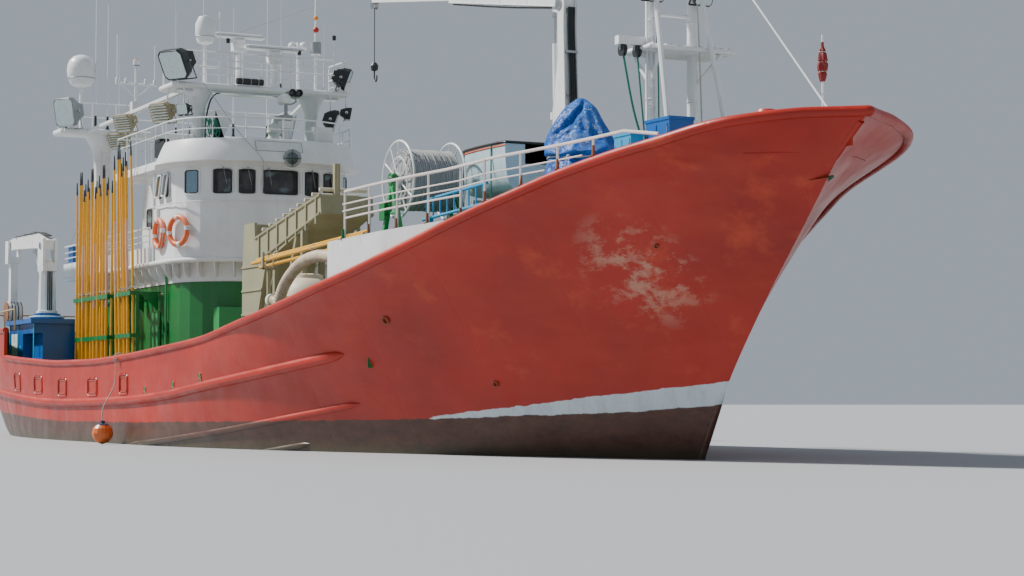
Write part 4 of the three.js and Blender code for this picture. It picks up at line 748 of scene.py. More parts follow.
class Level:
    """One line round the hull at a height or at a share of the rim's height."""

    def __init__(self, row):
        self.z, self.share, stem, self.stern, self.half_stern, self.half, self.start = row[:7]
        self.power, self.rim_share, self.run, self.run_power = row[7:]
        self.stem = along(STEM, self.share * SHEER[-1][1]) if self.share else stem

    def height(self, x):
        return self.share * rim_height(x) if self.share else self.z

    def breadth(self, x):
        if x >= self.stem:
            return 0.0
        if x > self.run:
            low = self.half * (1 - (max(0.0, x - self.start) / (self.stem - self.start)) ** self.power)
            return low + (rim_bow(self.stem - x) - low) * self.rim_share
        s = min(1.0, (self.run - x) / (self.run - self.stern))
        return self.half_stern + (self.half - self.half_stern) * (1 - s ** self.run_power)


LINES = [Level(row) for row in LEVELS]
RIM = LINES[-1]
MARKS = list(range(len(LINES)))


def hull_point(u, v):
    """A point of the port side: u from the stern to the stem, v from the keel to the rim in levels."""
    xs, ys, zs = [], [], []
    for line in LINES:
        x = line.stern + (line.stem - line.stern) * u
        xs.append(x)
        ys.append(line.breadth(x))
        zs.append(line.height(x))
    return Vector((monotone(MARKS, xs, v), monotone(MARKS, ys, v), monotone(MARKS, zs, v)))


def side_at(x, z):
    """Half breadth of the hull at a place and height."""
    return monotone([line.height(x) for line in LINES], [line.breadth(x) for line in LINES], z)


def on_side(x, z, side=-1, out=0.0):
    """A point on the hull's side, moved out square to it."""
    step = 0.05
    dx = (side_at(x + step, z) - side_at(x - step, z)) / (2 * step)
    dz = (side_at(x, z + step) - side_at(x, z - step)) / (2 * step)
    normal = Vector((-dx, side, -dz)).normalized()
    return Vector((x, side * side_at(x, z), z)) + normal * out, normal


STATION_COUNT = 120
LEVEL_STEPS = 5


def station(k, count):
    """Places along the boat that crowd towards the stem."""
    return 1 - (1 - k / count) ** 1.7


def hull_shell():
    """The outer skin from the keel to the rim, with the transom."""
    shape = Shape()
    levels = [k / LEVEL_STEPS for k in range((len(LINES) - 1) * LEVEL_STEPS + 1)]
    rows = []
    for k in range(STATION_COUNT + 1):
        rows.append([hull_point(station(k, STATION_COUNT), v) for v in levels])
    for side in (1, -1):
        shape.sheet([[Vector((p.x, p.y * side, p.z)) for p in row] for row in rows], "hull")
    transom = rows[0]
    shape.sheet([transom, [Vector((p.x, -p.y, p.z)) for p in transom]], "hull")
    bmesh.ops.remove_doubles(shape.mesh, verts=shape.mesh.verts, dist=1e-4)
    shape.finish("hull_shell", replaces=("hull",), slot="hull_paint", angle=50)


INSIDE = [
    # from u, first and last place of the rail, deck, columns, paint
    (0.0, 0.72, MAIN_DECK, 110, "green"),
    (0.802, 1.0, FORE_DECK, 70, "white_worn"),
]


def inner_skin():
    """The inside of the bulwarks, from the decks to the rim."""
    shape = Shape()
    for u0, u1, deck, count, paint in INSIDE:
        for side in (1, -1):
            rows = []
            for k in range(count + 1):
                u = u0 + (u1 - u0) * (1 - (1 - k / count) ** 1.6)
                rows.append([inner_point(u, v, side) for v in wall_levels(u, deck)])
            shape.sheet(rows, paint)
    shape.finish("bulwark_inside", replaces=("bulwark_bow",), slot="hull_paint", angle=50)


def wall_levels(u, deck):
    """Levels from the deck up to the rim at one place along the hull."""
    top = MARKS[-1]
    low, high = MARKS[6], top
    for _ in range(24):
        v = (low + high) / 2
        p = hull_point(u, v)
        if p.z < min(along(deck, p.x), hull_point(u, top).z - 0.01):
            low = v
        else:
            high = v
    return [high + (top - high) * j / 6 for j in range(7)]


def inner_point(u, v, side):
    """A point of the side moved inward by the plating and its posts."""
    p = hull_point(u, v)
    run = hull_point(min(1, u + 0.002), v) - hull_point(max(0, u - 0.002), v)
    run.z = 0
    run.normalize()
    return Vector((p.x + run.y * PLATE, side * max(0.0, p.y - run.x * PLATE), p.z))


def deck_strip(shape, table, x0, x1, material, inset=0.03, steps=60):
    """A cambered strip of deck between the sides."""
    rows = []
    for k in range(steps + 1):
        x = x0 + (x1 - x0) * k / steps
        z = along(table, x)
        y = max(0.001, side_at(x, z) - inset)
        rows.append([Vector((x, y * s, z + 0.03 * (1 - abs(s)))) for s in (-1, -0.5, 0, 0.5, 1)])
    shape.sheet(rows, material)


def decks():
    """The main and fore decks, and the step between them."""
    shape = Shape()
    deck_strip(shape, MAIN_DECK, stern_at(1.25) + 0.02, FORECASTLE_X + 0.02, "planks")
    deck_strip(shape, FORE_DECK, 10.9, 16.2, "deck_green")
    x = FORECASTLE_X
    y = side_at(x, 1.6) - 0.02
    shape.box((x, -y, 1.4), (x + 0.03, y, 2.7), "green")
    shape.finish("decks")


def under_water():
    """Keel, sole, skeg, stern tube and rudder trunk."""
    shape = Shape()
    shape.box((-12.9, -0.11, -3.33), (9.8, 0.11, -3.1), "hull")
    shape.box((-15.05, -0.11, -3.33), (-12.8, 0.11, -3.2), "hull")
    skeg = [(-10.5, -0.13, -3.2), (-10.5, -0.13, -1.3), (-12.95, -0.13, -1.5), (-12.95, -0.13, -3.2)]
    shape.prism(skeg, (0, 0.26, 0), "hull")
    shape.tube([(-12.4, 0, -2.13), (-13.37, 0, -2.13)], 0.19, "hull", 24)
    shape.tube([(-14.65, 0, -0.7), (-14.65, 0, 0.3)], 0.15, "hull", 16)
    shape.finish("keel_and_skeg", bevel=0.02)


UPPER_STRAKE = [
    (-16.2, 1.16), (-12.4, 0.99), (-7.0, 0.825), (-2.5, 0.87),
    (0.0, 0.955), (3.13, 1.21), (5.4, 1.44), (7.0, 1.63),
]
LOWER_STRAKE = [(-2.1, -0.01), (-0.2, 0.1), (2.64, 0.33), (4.84, 0.57), (6.87, 0.82)]
BILGE_STRAKE = [(3.71, -0.05), (5.22, 0.13)]


def strakes():
    """Half round rubbing strakes with rounded ends."""
    shape = Shape()
    for table, radius in ((UPPER_STRAKE, 0.095), (LOWER_STRAKE, 0.06), (BILGE_STRAKE, 0.055)):
        line = smooth_table(table)
        x0, x1 = table[0][0], table[-1][0]
        count = max(12, int((x1 - x0) * 5))
        for side in (1, -1):
            rings = []
            for k in range(count + 1):
                x = x0 + (x1 - x0) * k / count
                z = line(x)
                p, normal = on_side(x, z, side)
                end = min(k, count - k) / 2
                r = radius * (1 if end >= 1 else max(0.15, math.sqrt(1 - (1 - end) ** 2)))
                up = Vector((0, 0, 1))
                up = (up - normal * up.dot(normal)).normalized()
                turns = [math.pi * (j / 8) - math.pi / 2 for j in range(9)]
                ring = [p + normal * (r * math.cos(t)) + up * (r * math.sin(t)) for t in turns]
                rings.append([p - normal * 0.02 - up * r, *ring, p - normal * 0.02 + up * r])
            shape.faces(rings, "hull", caps=True)
    shape.finish("strakes", slot="hull_paint")


def rim_path(x0, x1, count, side, inset=0.02, power=1.0):
    """Points along the rim, crowded towards the second place by a power."""
    points = []
    for k in range(count + 1):
        x = x0 + (x1 - x0) * (1 - (1 - k / count) ** power)
        points.append(Vector((x, side * max(0.0, RIM.breadth(x) - inset), rim_height(x))))
    return points


def rims():
    """The round cap all along the bulwark, and the stern's higher one."""
    shape = Shape()
    for side in (1, -1):
        shape.tube(rim_path(STERN_STEP_X, 13.5, 130, side), 0.075, "hull", 14)
    bow = rim_path(13.5, BOW_X - 0.03, 40, 1, power=2.0)
    shape.tube(bow + [Vector((p.x, -p.y, p.z)) for p in reversed(bow)], 0.075, "hull", 14)
    path = [Vector((STERN_STEP_X - 0.06, RIM.breadth(STERN_STEP_X) - 0.02, STERN_TOP))]
    for k in range(1, 15):
        x = STERN_STEP_X + (STERN_X + 0.03 - STERN_STEP_X) * k / 14
        path.append(Vector((x, RIM.breadth(x) - 0.02, STERN_TOP)))
    loop = path + [Vector((p.x, -p.y, p.z)) for p in reversed(path)]
    shape.tube(loop, 0.075, "hull", 14)
    shape.finish("rims", replaces=("bulwark_starboard", "bulwark_port"), slot="hull_paint")


def stern_at(z):
    """Place of the transom at a height."""
    return monotone([line.height(STERN_X) for line in LINES], [line.stern for line in LINES], z)


def stern_wall():
    """The raised plating round the stern, inside and outside."""
    shape = Shape()
    for inset, paint in ((0.0, "hull"), (0.08, "green")):
        for side in (1, -1):
            rows = []
            for k in range(25):
                x = STERN_X + inset + (STERN_STEP_X - STERN_X - inset) * k / 24
                y = side * (RIM.breadth(x) - inset)
                rows.append([Vector((x, y, rim_height(x) - 0.02)), Vector((x, y, STERN_TOP))])
            shape.sheet(rows, paint)
    y = RIM.breadth(STERN_X)
    low = rim_height(STERN_X) - 0.02
    shape.sheet([[Vector((STERN_X, s * y, z)) for z in (low, STERN_TOP)] for s in (-1, 1)], "hull")
    heights = [1.26 + (STERN_TOP - 1.26) * k / 8 for k in range(9)]
    inside = [Vector((stern_at(z) + 0.09, side_at(STERN_X + 0.3, min(z, low)) - 0.08, z)) for z in heights]
    shape.sheet([[Vector((p.x, p.y * s, p.z)) for p in inside] for s in (-1, 1)], "green")
    for side in (1, -1):
        x, y = STERN_STEP_X, RIM.breadth(STERN_STEP_X)
        shape.box((x - 0.02, side * y - 0.04, rim_height(x)), (x + 0.02, side * y + 0.04, STERN_TOP), "hull")
    shape.finish("stern_wall", replaces=("bulwark_stern",), slot="hull_paint")


def post_pair(shape, x, deck, sink, reach, least, paint):
    """A stiffener inside each bulwark that narrows from the deck to just below the rim."""
    foot = along(deck, x) + 0.01
    top = rim_height(x) - sink
    for side in (1, -1):
        rows = []
        for z in (foot, (foot + top) / 2, top):
            y = side_at(x, z) - PLATE
            depth = reach * (1 - (z - foot) / (top - foot)) + least
            corners = ((-0.006, 0), (-0.006, depth), (0.006, depth), (0.006, 0))
            rows.append([Vector((x + dx, side * (y - d), z)) for dx, d in corners])
        shape.faces(rows, paint, smooth=False)


def bulwark_posts():
    """Stiffeners inside the main bulwarks, bow brackets and the hook plate at the stem."""
    shape = Shape()
    x = -12.0
    while x < 7.2:
        post_pair(shape, x, MAIN_DECK, 0.05, 0.26, 0.06, "green")
        x += 0.8
    for x in (11.6, 12.4, 13.2, 14.0, 14.8, 15.4):
        post_pair(shape, x, FORE_DECK, 0.04, 0.22, 0.05, "white_worn")
    z = 4.215
    outline = []
    for k in range(13):
        x = 15.55 + (16.35 - 15.55) * k / 12
        outline.append((x, side_at(x, z) - 0.02))
    ring = [(x, y) for x, y in outline] + [(x, -y) for x, y in reversed(outline)]
    shape.prism([(x, y, 4.19) for x, y in ring], (0, 0, 0.05), "hull")
    shape.box((16.44, -0.015, 4.24), (16.64, 0.015, 4.4), "hull")
    shape.finish("bulwark_posts")


def stem_bar():
    """The rounded bar up the stem."""
    shape = Shape()
    path = [Vector((along(STEM, z) - 0.045, 0, z)) for z in (k * 0.155 - 0.1 for k in range(31))]
    shape.tube(path, 0.05, "hull", 12)
    shape.finish("stem_bar", slot="hull_paint")


FREEING_PORTS = [
    # x from, x to
    (-11.73, -11.02), (-9.52, -8.77), (-7.37, -6.69), (-5.03, -4.33), (-2.74, -2.17),
]
SCUTTLES = [
    # x, z
    (-1.04, 1.04), (0.7, 1.12), (2.16, 1.26),
]
OUTLETS = [
    # x, z, radius
    (9.86, 1.13, 0.05), (8.33, 2.15, 0.07), (13.52, 3.07, 0.035),
]


def side_patch(shape, x0, x1, z0, z1, out, material, side=-1, steps=6, round_share=0.0):
    """A plate that lies on the hull's side."""
    rows = []
    for k in range(steps + 1):
        x = x0 + (x1 - x0) * k / steps
        edge = round_share * (abs(2 * k / steps - 1) ** 4)
        low = z0 + (z1 - z0) * edge / 2
        high = z1 - (z1 - z0) * edge / 2
        rows.append([on_side(x, z, side, out)[0] for z in (low, (low + high) / 2, high)])
    shape.sheet(rows, material)


def frame_on_side(shape, x0, x1, z0, z1, radius, material, side):
    """A bar with round corners that lies on the hull's side."""
    corner = min(x1 - x0, z1 - z0) * 0.22
    points = []
    for cx, cz, start in ((x1, z1, 0), (x0, z1, 1), (x0, z0, 2), (x1, z0, 3)):
        for k in range(4):
            t = (start + k / 3) * math.pi / 2
            mx = cx - math.copysign(corner, math.cos((start + 0.5) * math.pi / 2))
            mz = cz - math.copysign(corner, math.sin((start + 0.5) * math.pi / 2))
            points.append(on_side(mx + corner * math.cos(t), mz + corner * math.sin(t), side, 0.004)[0])
    shape.tube(points + points[:2], radius, material, 6)


def side_fittings():
    """Freeing-port frames with their flaps, scuttles, outlets and their guards."""
    shape = Shape()
    for side in (-1, 1):
        for x0, x1 in FREEING_PORTS:
            z0 = along(UPPER_STRAKE, x0) + 0.13
            z1 = rim_height(x0) - 0.34
            frame_on_side(shape, x0, x1, z0, z1, 0.016, "hull", side)
            frame_on_side(shape, x0 + 0.07, x1 - 0.07, z0 + 0.05, z1 - 0.05, 0.009, "rust_line", side)
            for share in (0.25, 0.75):
                x = x0 + (x1 - x0) * share
                p, normal = on_side(x, z1 + 0.01, side, 0.01)
                shape.tube([p - Vector((0.05, 0, 0)), p + Vector((0.05, 0, 0))], 0.018, "hull", 8)
        for x, z in SCUTTLES:
            for dz in (-0.055, 0.055):
                side_patch(
                    shape, x - 0.055, x + 0.055, z + dz - 0.045, z + dz + 0.045, 0.008, "green", side, 4, 0.4,
                )
                frame_on_side(shape, x - 0.06, x + 0.06, z + dz - 0.05, z + dz + 0.05, 0.008, "hull", side)
        for x, z, radius in OUTLETS:
            p, normal = on_side(x, z, side)
            profile = [(radius * 0.7, -0.05), (radius * 0.7, 0.03), (radius, 0.03), (radius, -0.02)]
            # Painted shade: a black disc a little inside the outlet stands for the pipe's dark inside.
            shape.turned(p, [(0.001, -0.03), (radius * 0.7, -0.03)], "black", 16, normal)
            shape.turned(p, profile, "rusty", 16, normal)
    shape.finish("side_fittings")


def bollards():
    """Pairs of bollards at the bow and at both quarters."""
    shape = Shape()
    rows = [
        # x, y, radius, top, paint
        (14.8, 0.4, 0.095, 4.85, "red"), (15.2, 0.4, 0.095, 4.88, "red"),
        (-15.65, 2.6, 0.11, 1.75, "black"), (-15.15, 2.65, 0.11, 1.75, "black"),
    ]
    for x, y, radius, top, paint in rows:
        foot = along(FORE_DECK if x > 0 else MAIN_DECK, x) - 0.02
        high = top - foot
        for side in (1, -1):
            profile = [
                (radius * 1.5, 0), (radius * 1.5, 0.03), (radius, 0.05), (radius, high - 0.13),
                (radius + 0.035, high - 0.09), (radius + 0.05, high - 0.05),
                (radius + 0.03, high - 0.015), (0.001, high),
            ]
            shape.turned((x, side * y, foot), profile, paint, 24)
    shape.finish("bollards")


def hatch_coamings():
    """Coamings of the two deck hatches, with their brackets."""
    shape = Shape()
    for x0, x1 in ((0.4, 1.9), (-2.1, -0.6)):
        z0, z1 = along(MAIN_DECK, x0) - 0.05, along(MAIN_DECK, x1) + 0.45
        for low, high in (
            ((x0, -0.7, z0), (x1, -0.64, z1)), ((x0, 0.64, z0), (x1, 0.7, z1)),
            ((x0, -0.64, z0), (x0 + 0.06, 0.64, z1)), ((x1 - 0.06, -0.64, z0), (x1, 0.64, z1)),
        ):
            shape.box(low, high, "green")
        for side in (1, -1):
            for k in range(4):
                x = x0 + 0.2 + k * (x1 - x0 - 0.4) / 3
                shape.box((x - 0.006, side * 0.7, z0 + 0.1), (x + 0.006, side * 0.79, z1 - 0.12), "green")
    shape.finish("hatch_coamings", bevel=0.006)


hull_shell()
inner_skin()
decks()
under_water()
strakes()
rims()
stern_wall()
bulwark_posts()
stem_bar()
side_fittings()
bollards()
hatch_coamings()

# Solids that keep their shape get their finish here


def dress(name, side, top=None, angle=30):
    """A finish for a solid that stays, another for what faces up, and smooth shading over its small steps."""
    data = nodes[name].data
    data.materials.clear()
    data.materials.append(MATERIALS[side])
    data.materials.append(MATERIALS[top or side])
    for face in data.polygons:
        face.material_index = 1 if face.normal.z > 0.8 else 0
        face.use_smooth = True
    data.set_sharp_from_angle(angle=math.radians(angle))


class Plan:
    """The rounded plan outline of one tier of the house."""

    def __init__(self, half, nose, corner, aft):
        self.half, self.nose, self.corner, self.aft = half, nose, corner, aft

    def front(self, turn, out=0.0):
        """A point of the rounded front, turn from -90 to 90 degrees in radians."""
        power = 2 / 2.3
        a = max(0.0, math.cos(turn)) ** power
        b = math.copysign(abs(math.sin(turn)) ** power, turn)
        return self.corner + (self.nose + out - self.corner) * a, (self.half + out) * b

    def turn_at(self, y):
        return math.copysign(math.asin(min(1.0, (abs(y) / self.half) ** 1.15)), y)

    def loop(self, out=0.0, steps=48, aft=None):
        back = (self.aft if aft is None else aft) - out
        points = [(back, -self.half - out)]
        points += [self.front(-math.pi / 2 + math.pi * k / steps, out) for k in range(steps + 1)]
        return points + [(back, self.half + out)]


HOUSE = Plan(1.85, -4.9, -6.5, -12.4)
BOAT_DECK = Plan(2.12, -4.64, -6.3, -14.5)
WHEELHOUSE = Plan(2.05, -4.61, -6.25, -7.3)
FLYBRIDGE = Plan(2.15, -4.43, -6.2, -9.93)
BOAT_DECK_LOW = 3.88
WINDOW_LOW = 5.37
WINDOW_HIGH = 5.9
HOUSE_PIPE_Z = 3.25
HAND_RAIL_Z = 5.2
FRONT_WINDOWS = [
    # y from, y to
    (-1.43, -1.06), (-0.93, -0.57), (-0.41, 0.41), (0.57, 0.93), (1.06, 1.43),
]
SIDE_WINDOWS = [
    # x from, x to
    (-6.42, -6.12), (-6.88, -6.58),
]


def band(shape, plan, z0, z1, material, out0=0.0, out1=None, steps=48, aft=None, closed=False):
    """A strip round a tier between two heights."""
    low = plan.loop(out0, steps, aft)
    high = plan.loop(out0 if out1 is None else out1, steps, aft)
    rows = [[Vector((*p, z)) for p in row] for row, z in ((low, z0), (high, z1))]
    shape.faces(rows, material, closed=closed, caps=False)


def rounded_frame(place, u0, u1, z0, z1, corner, steps=4):
    """A closed line with round corners; place turns u, z into a point."""
    points = []
    middle_u, middle_z = (u0 + u1) / 2, (z0 + z1) / 2
    for quarter in range(4):
        for k in range(steps + 1):
            t = (quarter + k / steps) * math.pi / 2
            su = 1 if quarter in (0, 3) else -1
            sz = 1 if quarter in (0, 1) else -1
            u = middle_u + su * ((u1 - u0) / 2 - corner) + corner * math.cos(t)
            z = middle_z + sz * ((z1 - z0) / 2 - corner) + corner * math.sin(t)
            points.append(place(u, z))
    return points + points[:1]


def window(shape, place, u0, u1, corner=0.07):
    """A black gasket inside a riveted silver frame."""
    shape.tube(
        rounded_frame(place, u0 + 0.012, u1 - 0.012, WINDOW_LOW + 0.012, WINDOW_HIGH - 0.012, corner),
        0.017, "black", 8,
    )
    shape.tube(
        rounded_frame(place, u0 - 0.02, u1 + 0.02, WINDOW_LOW - 0.02, WINDOW_HIGH + 0.02, corner + 0.03),
        0.011, "white_worn", 8,
    )
    for z in (WINDOW_LOW - 0.02, WINDOW_HIGH + 0.02):
        count = max(2, int((u1 - u0) / 0.12))
        for k in range(1, count):
            shape.ball(place(u0 + (u1 - u0) * k / count, z), 0.007, "silver", 4)


def corner_span(side):
    """The stretch of the rounded front that the corner window takes."""
    found = []
    for k in range(400):
        turn = side * math.pi / 2 * k / 400
        x, y = WHEELHOUSE.front(turn)
        off = -math.sin(side * 0.78) * (x + 5.33) + math.cos(side * 0.78) * (y - side * 1.8)
        if abs(off) < 0.19 and abs(y) > 1.5:
            found.append(turn)
    return min(found), max(found)


def wheelhouse_windows():
    """Frames of the wheelhouse's windows and the glass at its corners, pale blue as painted sky reflection.
    """
    shape = Shape()

    def on_front(u, z):
        return Vector((*WHEELHOUSE.front(u, 0.006), z))

    for y0, y1 in FRONT_WINDOWS:
        window(shape, on_front, WHEELHOUSE.turn_at(y0), WHEELHOUSE.turn_at(y1), 0.045)
    for side in (1, -1):
        turns = corner_span(side)
        window(shape, on_front, turns[0], turns[1], 0.05)
        shape.tube(
            rounded_frame(
                on_front, turns[0] - 0.01, turns[1] + 0.01, WINDOW_LOW - 0.01, WINDOW_HIGH + 0.01, 0.06,
            ), 0.022, "white", 8,
        )
        steps = [turns[0] + 0.02 + (turns[1] - turns[0] - 0.04) * k / 6 for k in range(7)]
        pane = [
            [Vector((*WHEELHOUSE.front(t, 0.004), z)) for z in (WINDOW_LOW + 0.02, WINDOW_HIGH - 0.02)]
            for t in steps
        ]
        # The corner pane is pale blue as painted sky reflection.
        shape.sheet(pane, "glass_sky_reflection")
        for x0, x1 in SIDE_WINDOWS:
            window(shape, lambda u, z, s=side: Vector((u, s * (WHEELHOUSE.half + 0.006), z)), x0, x1)
    shape.finish("window_frames", slot="steel")


def open_sashes():
    """Two side windows that stand open on their upper hinges."""
    shape = Shape()
    for x0, x1 in SIDE_WINDOWS:
        hinge = Vector(((x0 + x1) / 2, -WHEELHOUSE.half - 0.03, WINDOW_HIGH - 0.01))
        turn = Matrix.Rotation(math.radians(-7), 3, "X")
        half = (x1 - x0) / 2 - 0.01

        def place(u, z):
            return hinge + turn @ Vector((u, 0, z - WINDOW_HIGH))

        shape.tube(
            rounded_frame(place, -half, half, WINDOW_LOW + 0.02, WINDOW_HIGH - 0.01, 0.05), 0.02, "white", 8,
        )
        low, high = WINDOW_LOW + 0.03, WINDOW_HIGH - 0.02
        pane = [place(u, z) for u, z in ((-half, low), (half, low), (half, high), (-half, high))]
        # The sash's pane is pale blue as painted sky reflection.
        shape.prism(pane, (0, 0.006, 0), "glass_sky_reflection")
    shape.finish("side_sashes", slot="window_glass")


def wipers():
    """One arm on each front window."""
    shape = Shape()
    for y in (-1.25, -0.75, -0.3, 0.75, 1.25):
        x = WHEELHOUSE.front(WHEELHOUSE.turn_at(y), 0.04)[0]
        foot = Vector((x, y, WINDOW_HIGH + 0.03))
        low = Vector((WHEELHOUSE.front(WHEELHOUSE.turn_at(y + 0.08), 0.04)[0], y + 0.08, WINDOW_LOW + 0.16))
        shape.ball(foot, 0.018, "grey", 6)
        shape.tube([foot, low], 0.005, "grey", 6)
        shape.tube([low - Vector((0, 0, 0.08)), low + Vector((0, 0, 0.16))], 0.007, "black", 6)
    shape.finish("wipers", slot="dark_steel")


FLY_LOW = 5.98
FLY_TOP = 6.15
VISOR_TOP = 6.56
VISOR_BRIM = 6.06
VISOR_OUT = 0.2
VISOR_END_X = -6.25
FLY_RAIL_Z = 7.02


def fly_edge(out):
    """Points round the top deck from its starboard quarter to its port one."""
    sides = [FLYBRIDGE.aft + 0.04 + (FLYBRIDGE.corner - FLYBRIDGE.aft - 0.04) * k / 20 for k in range(20)]
    front = [FLYBRIDGE.front(-math.pi / 2 + math.pi * k / 64, out) for k in range(65)]
    half = FLYBRIDGE.half + out
    return [(x, -half) for x in sides] + front + [(x, half) for x in reversed(sides)]


def visor():
    """A sloped skirt over the windows that runs aft as a low kerb, with the blank plate and a wire."""
    shape = Shape()
    profile = [
        # height on the skirt, height on the kerb, outward on the skirt, outward on the kerb
        (FLY_TOP, FLY_TOP, -0.1, -0.06), (VISOR_TOP, 6.2, -0.1, -0.06),
        (VISOR_TOP + 0.012, 6.21, -0.06, -0.03),
        (VISOR_TOP, 6.2, -0.02, 0.0), (VISOR_BRIM + 0.02, 6.06, VISOR_OUT, 0.03),
        (VISOR_BRIM - 0.01, 6.02, VISOR_OUT, 0.03),
        (FLY_LOW, FLY_LOW, -0.03, -0.03),
    ]
    rows = []
    for skirt_z, kerb_z, skirt_out, kerb_out in profile:
        row = []
        for (x, y), (wide_x, wide_y) in zip(fly_edge(skirt_out), fly_edge(kerb_out)):
            share = min(1.0, max(0.0, (x - VISOR_END_X + 0.5) / 0.5))
            high = kerb_z + (skirt_z - kerb_z) * share
            row.append(Vector((wide_x + (x - wide_x) * share, wide_y + (y - wide_y) * share, high)))
        rows.append(row)
    shape.faces(rows, "white", closed=False, caps=False)
    plate = []
    for k in range(9):
        y = -0.66 + 1.06 * k / 8
        row = []
        for z in (6.28, 6.5):
            out = -0.02 + (VISOR_OUT + 0.02) * (VISOR_TOP - z) / (VISOR_TOP - VISOR_BRIM) + 0.012
            row.append(Vector((FLYBRIDGE.front(FLYBRIDGE.turn_at(y), out)[0], y, z)))
        plate.append(row)
    shape.sheet(plate, "white_worn")
    edge = [row[0] for row in plate] + [row[1] for row in reversed(plate)] + [plate[0][0]]
    shape.tube(edge, 0.008, "grey", 6)
    for y in (-1.7, -0.9, 0.9, 1.7):
        x = FLYBRIDGE.front(FLYBRIDGE.turn_at(y), -0.1)[0]
        bracket = [(x, y - 0.006, FLY_TOP), (x - 0.22, y - 0.006, FLY_TOP), (x, y - 0.006, VISOR_TOP - 0.03)]
        shape.prism(bracket, (0, 0.012, 0), "white")
    wire = [
        (-5.5, -1.5, 7.86), (-4.52, -0.94, 6.6), (-4.2, -0.6, 6.1), (-4.57, -0.43, 5.93), (-4.57, -0.42, 5.5),
    ]
    shape.tube(smooth_line(wire, 6), 0.007, "grey", 6)
    shape.finish("visor", replaces=("flybridge_parapet",), slot="white_paint", angle=40)


def fly_floor():
    """The top deck's slab."""
    shape = Shape()
    low, high = ([Vector((x, y, z)) for x, y in fly_edge(0.0)] for z in (FLY_LOW, FLY_TOP))
    shape.faces([low, high], "white")
    walk = [Vector((x, y, FLY_TOP + 0.002)) for x, y in fly_edge(-0.11)]
    shape.faces([walk, [p + Vector((0, 0, 0.004)) for p in walk]], "deck_green")
    shape.finish("fly_floor", replaces=("flybridge_deck",), slot="white_paint")


def disc_lamp():
    """A round lamp with a guard, on an arm off the brim."""
    shape = Shape()
    centre = Vector((-4.2, 0.1, 6.13))
    facing = Vector((0.94, -0.3, -0.15)).normalized()
    case = [(0.001, -0.1), (0.12, -0.09), (0.19, -0.02), (0.2, 0.02), (0.185, 0.03)]
    shape.turned(centre, case, "grey", 32, facing)
    shape.turned(centre, [(0.185, 0.022), (0.1, 0.035), (0.001, 0.04)], "lens_dark", 32, facing)
    across = facing.cross(Vector((0, 0, 1))).normalized()
    for run in (across, facing.cross(across)):
        shape.tube(
            [centre + facing * 0.05 + run * 0.19, centre + facing * 0.05 - run * 0.19], 0.008, "black", 6,
        )
    shape.tube([centre - facing * 0.08, centre - facing * 0.16 + Vector((0, -0.2, 0.02))], 0.018, "grey", 8)
    shape.finish("visor_lamp", slot="steel")


def soffit_gussets():
    """Scalloped white brackets all round the underside of the boat deck."""
    shape = Shape()
    band(shape, HOUSE, GREEN_TOP, BOAT_DECK_LOW, "white", 0.012, steps=48)
    band(shape, HOUSE, GREEN_TOP - 0.03, GREEN_TOP, "white_worn", 0.02, steps=48)

    def gusset(foot, out, length):
        side = Vector((-out.y, out.x, 0)) * 0.012
        rows = []
        for k in range(7):
            t = k / 6 * math.pi / 2
            reach = length * (1 - math.sin(t))
            z = GREEN_TOP + 0.06 + (BOAT_DECK_LOW - GREEN_TOP - 0.06) * (1 - math.cos(t)) * 0.9
            rows.append((foot + out * (length - reach), z))
        base = [Vector((p.x, p.y, z)) for p, z in rows]
        base += [
            Vector((*(foot + out * length).xy, BOAT_DECK_LOW - 0.002)),
            Vector((*foot.xy, BOAT_DECK_LOW - 0.002)),
        ]
        shape.prism([p - side for p in base], side * 2, "white")

    for k in range(15):
        turn = -math.pi / 2 + math.pi * k / 14
        a = Vector((*HOUSE.front(turn, 0.012), 0))
        b = Vector((*BOAT_DECK.front(turn, -0.02), 0))
        reach = b - a
        if reach.length > 0.05:
            gusset(a, reach.normalized(), reach.length)
    x = -6.87
    while x > -12.3:
        for side in (1, -1):
            gusset(Vector((x, side * (HOUSE.half + 0.012), 0)), Vector((0, side, 0)), 0.24)
        x -= 0.55
    shape.finish("soffit_gussets", slot="white_paint", angle=40)


def weather_door(shape, centre, out, width, height, material, frame_material="green"):
    """A dogged steel door: raised rim, two hinges and six dogs."""
    across = Vector((-out.y, out.x, 0))
    c = Vector(centre)

    def at(u, v, w=0.0):
        return c + across * u + Vector((0, 0, v)) + out * w

    half, high = width / 2, height / 2
    loop = rounded_frame(lambda u, v: (u, v), -half, half, -high, high, 0.09, 3)[:-1]
    shape.prism([at(u, v, 0.004) for u, v in loop], out * 0.035, material)
    ring = [at(u * 1.05, v * 1.02, 0.02) for u, v in loop]
    shape.tube(ring + ring[:1], 0.018, frame_material, 6)
    for v in (-height * 0.32, 0, height * 0.32):
        for u in (-width / 2 + 0.03, width / 2 - 0.03):
            shape.tube([at(u - 0.05, v, 0.055), at(u + 0.05, v, 0.055)], 0.012, "silver", 6)
    for v in (-height * 0.3, height * 0.3):
        shape.tube(
            [at(width / 2 + 0.02, v - 0.06, 0.04), at(width / 2 + 0.02, v + 0.06, 0.04)],
            0.018, frame_material, 8,
        )


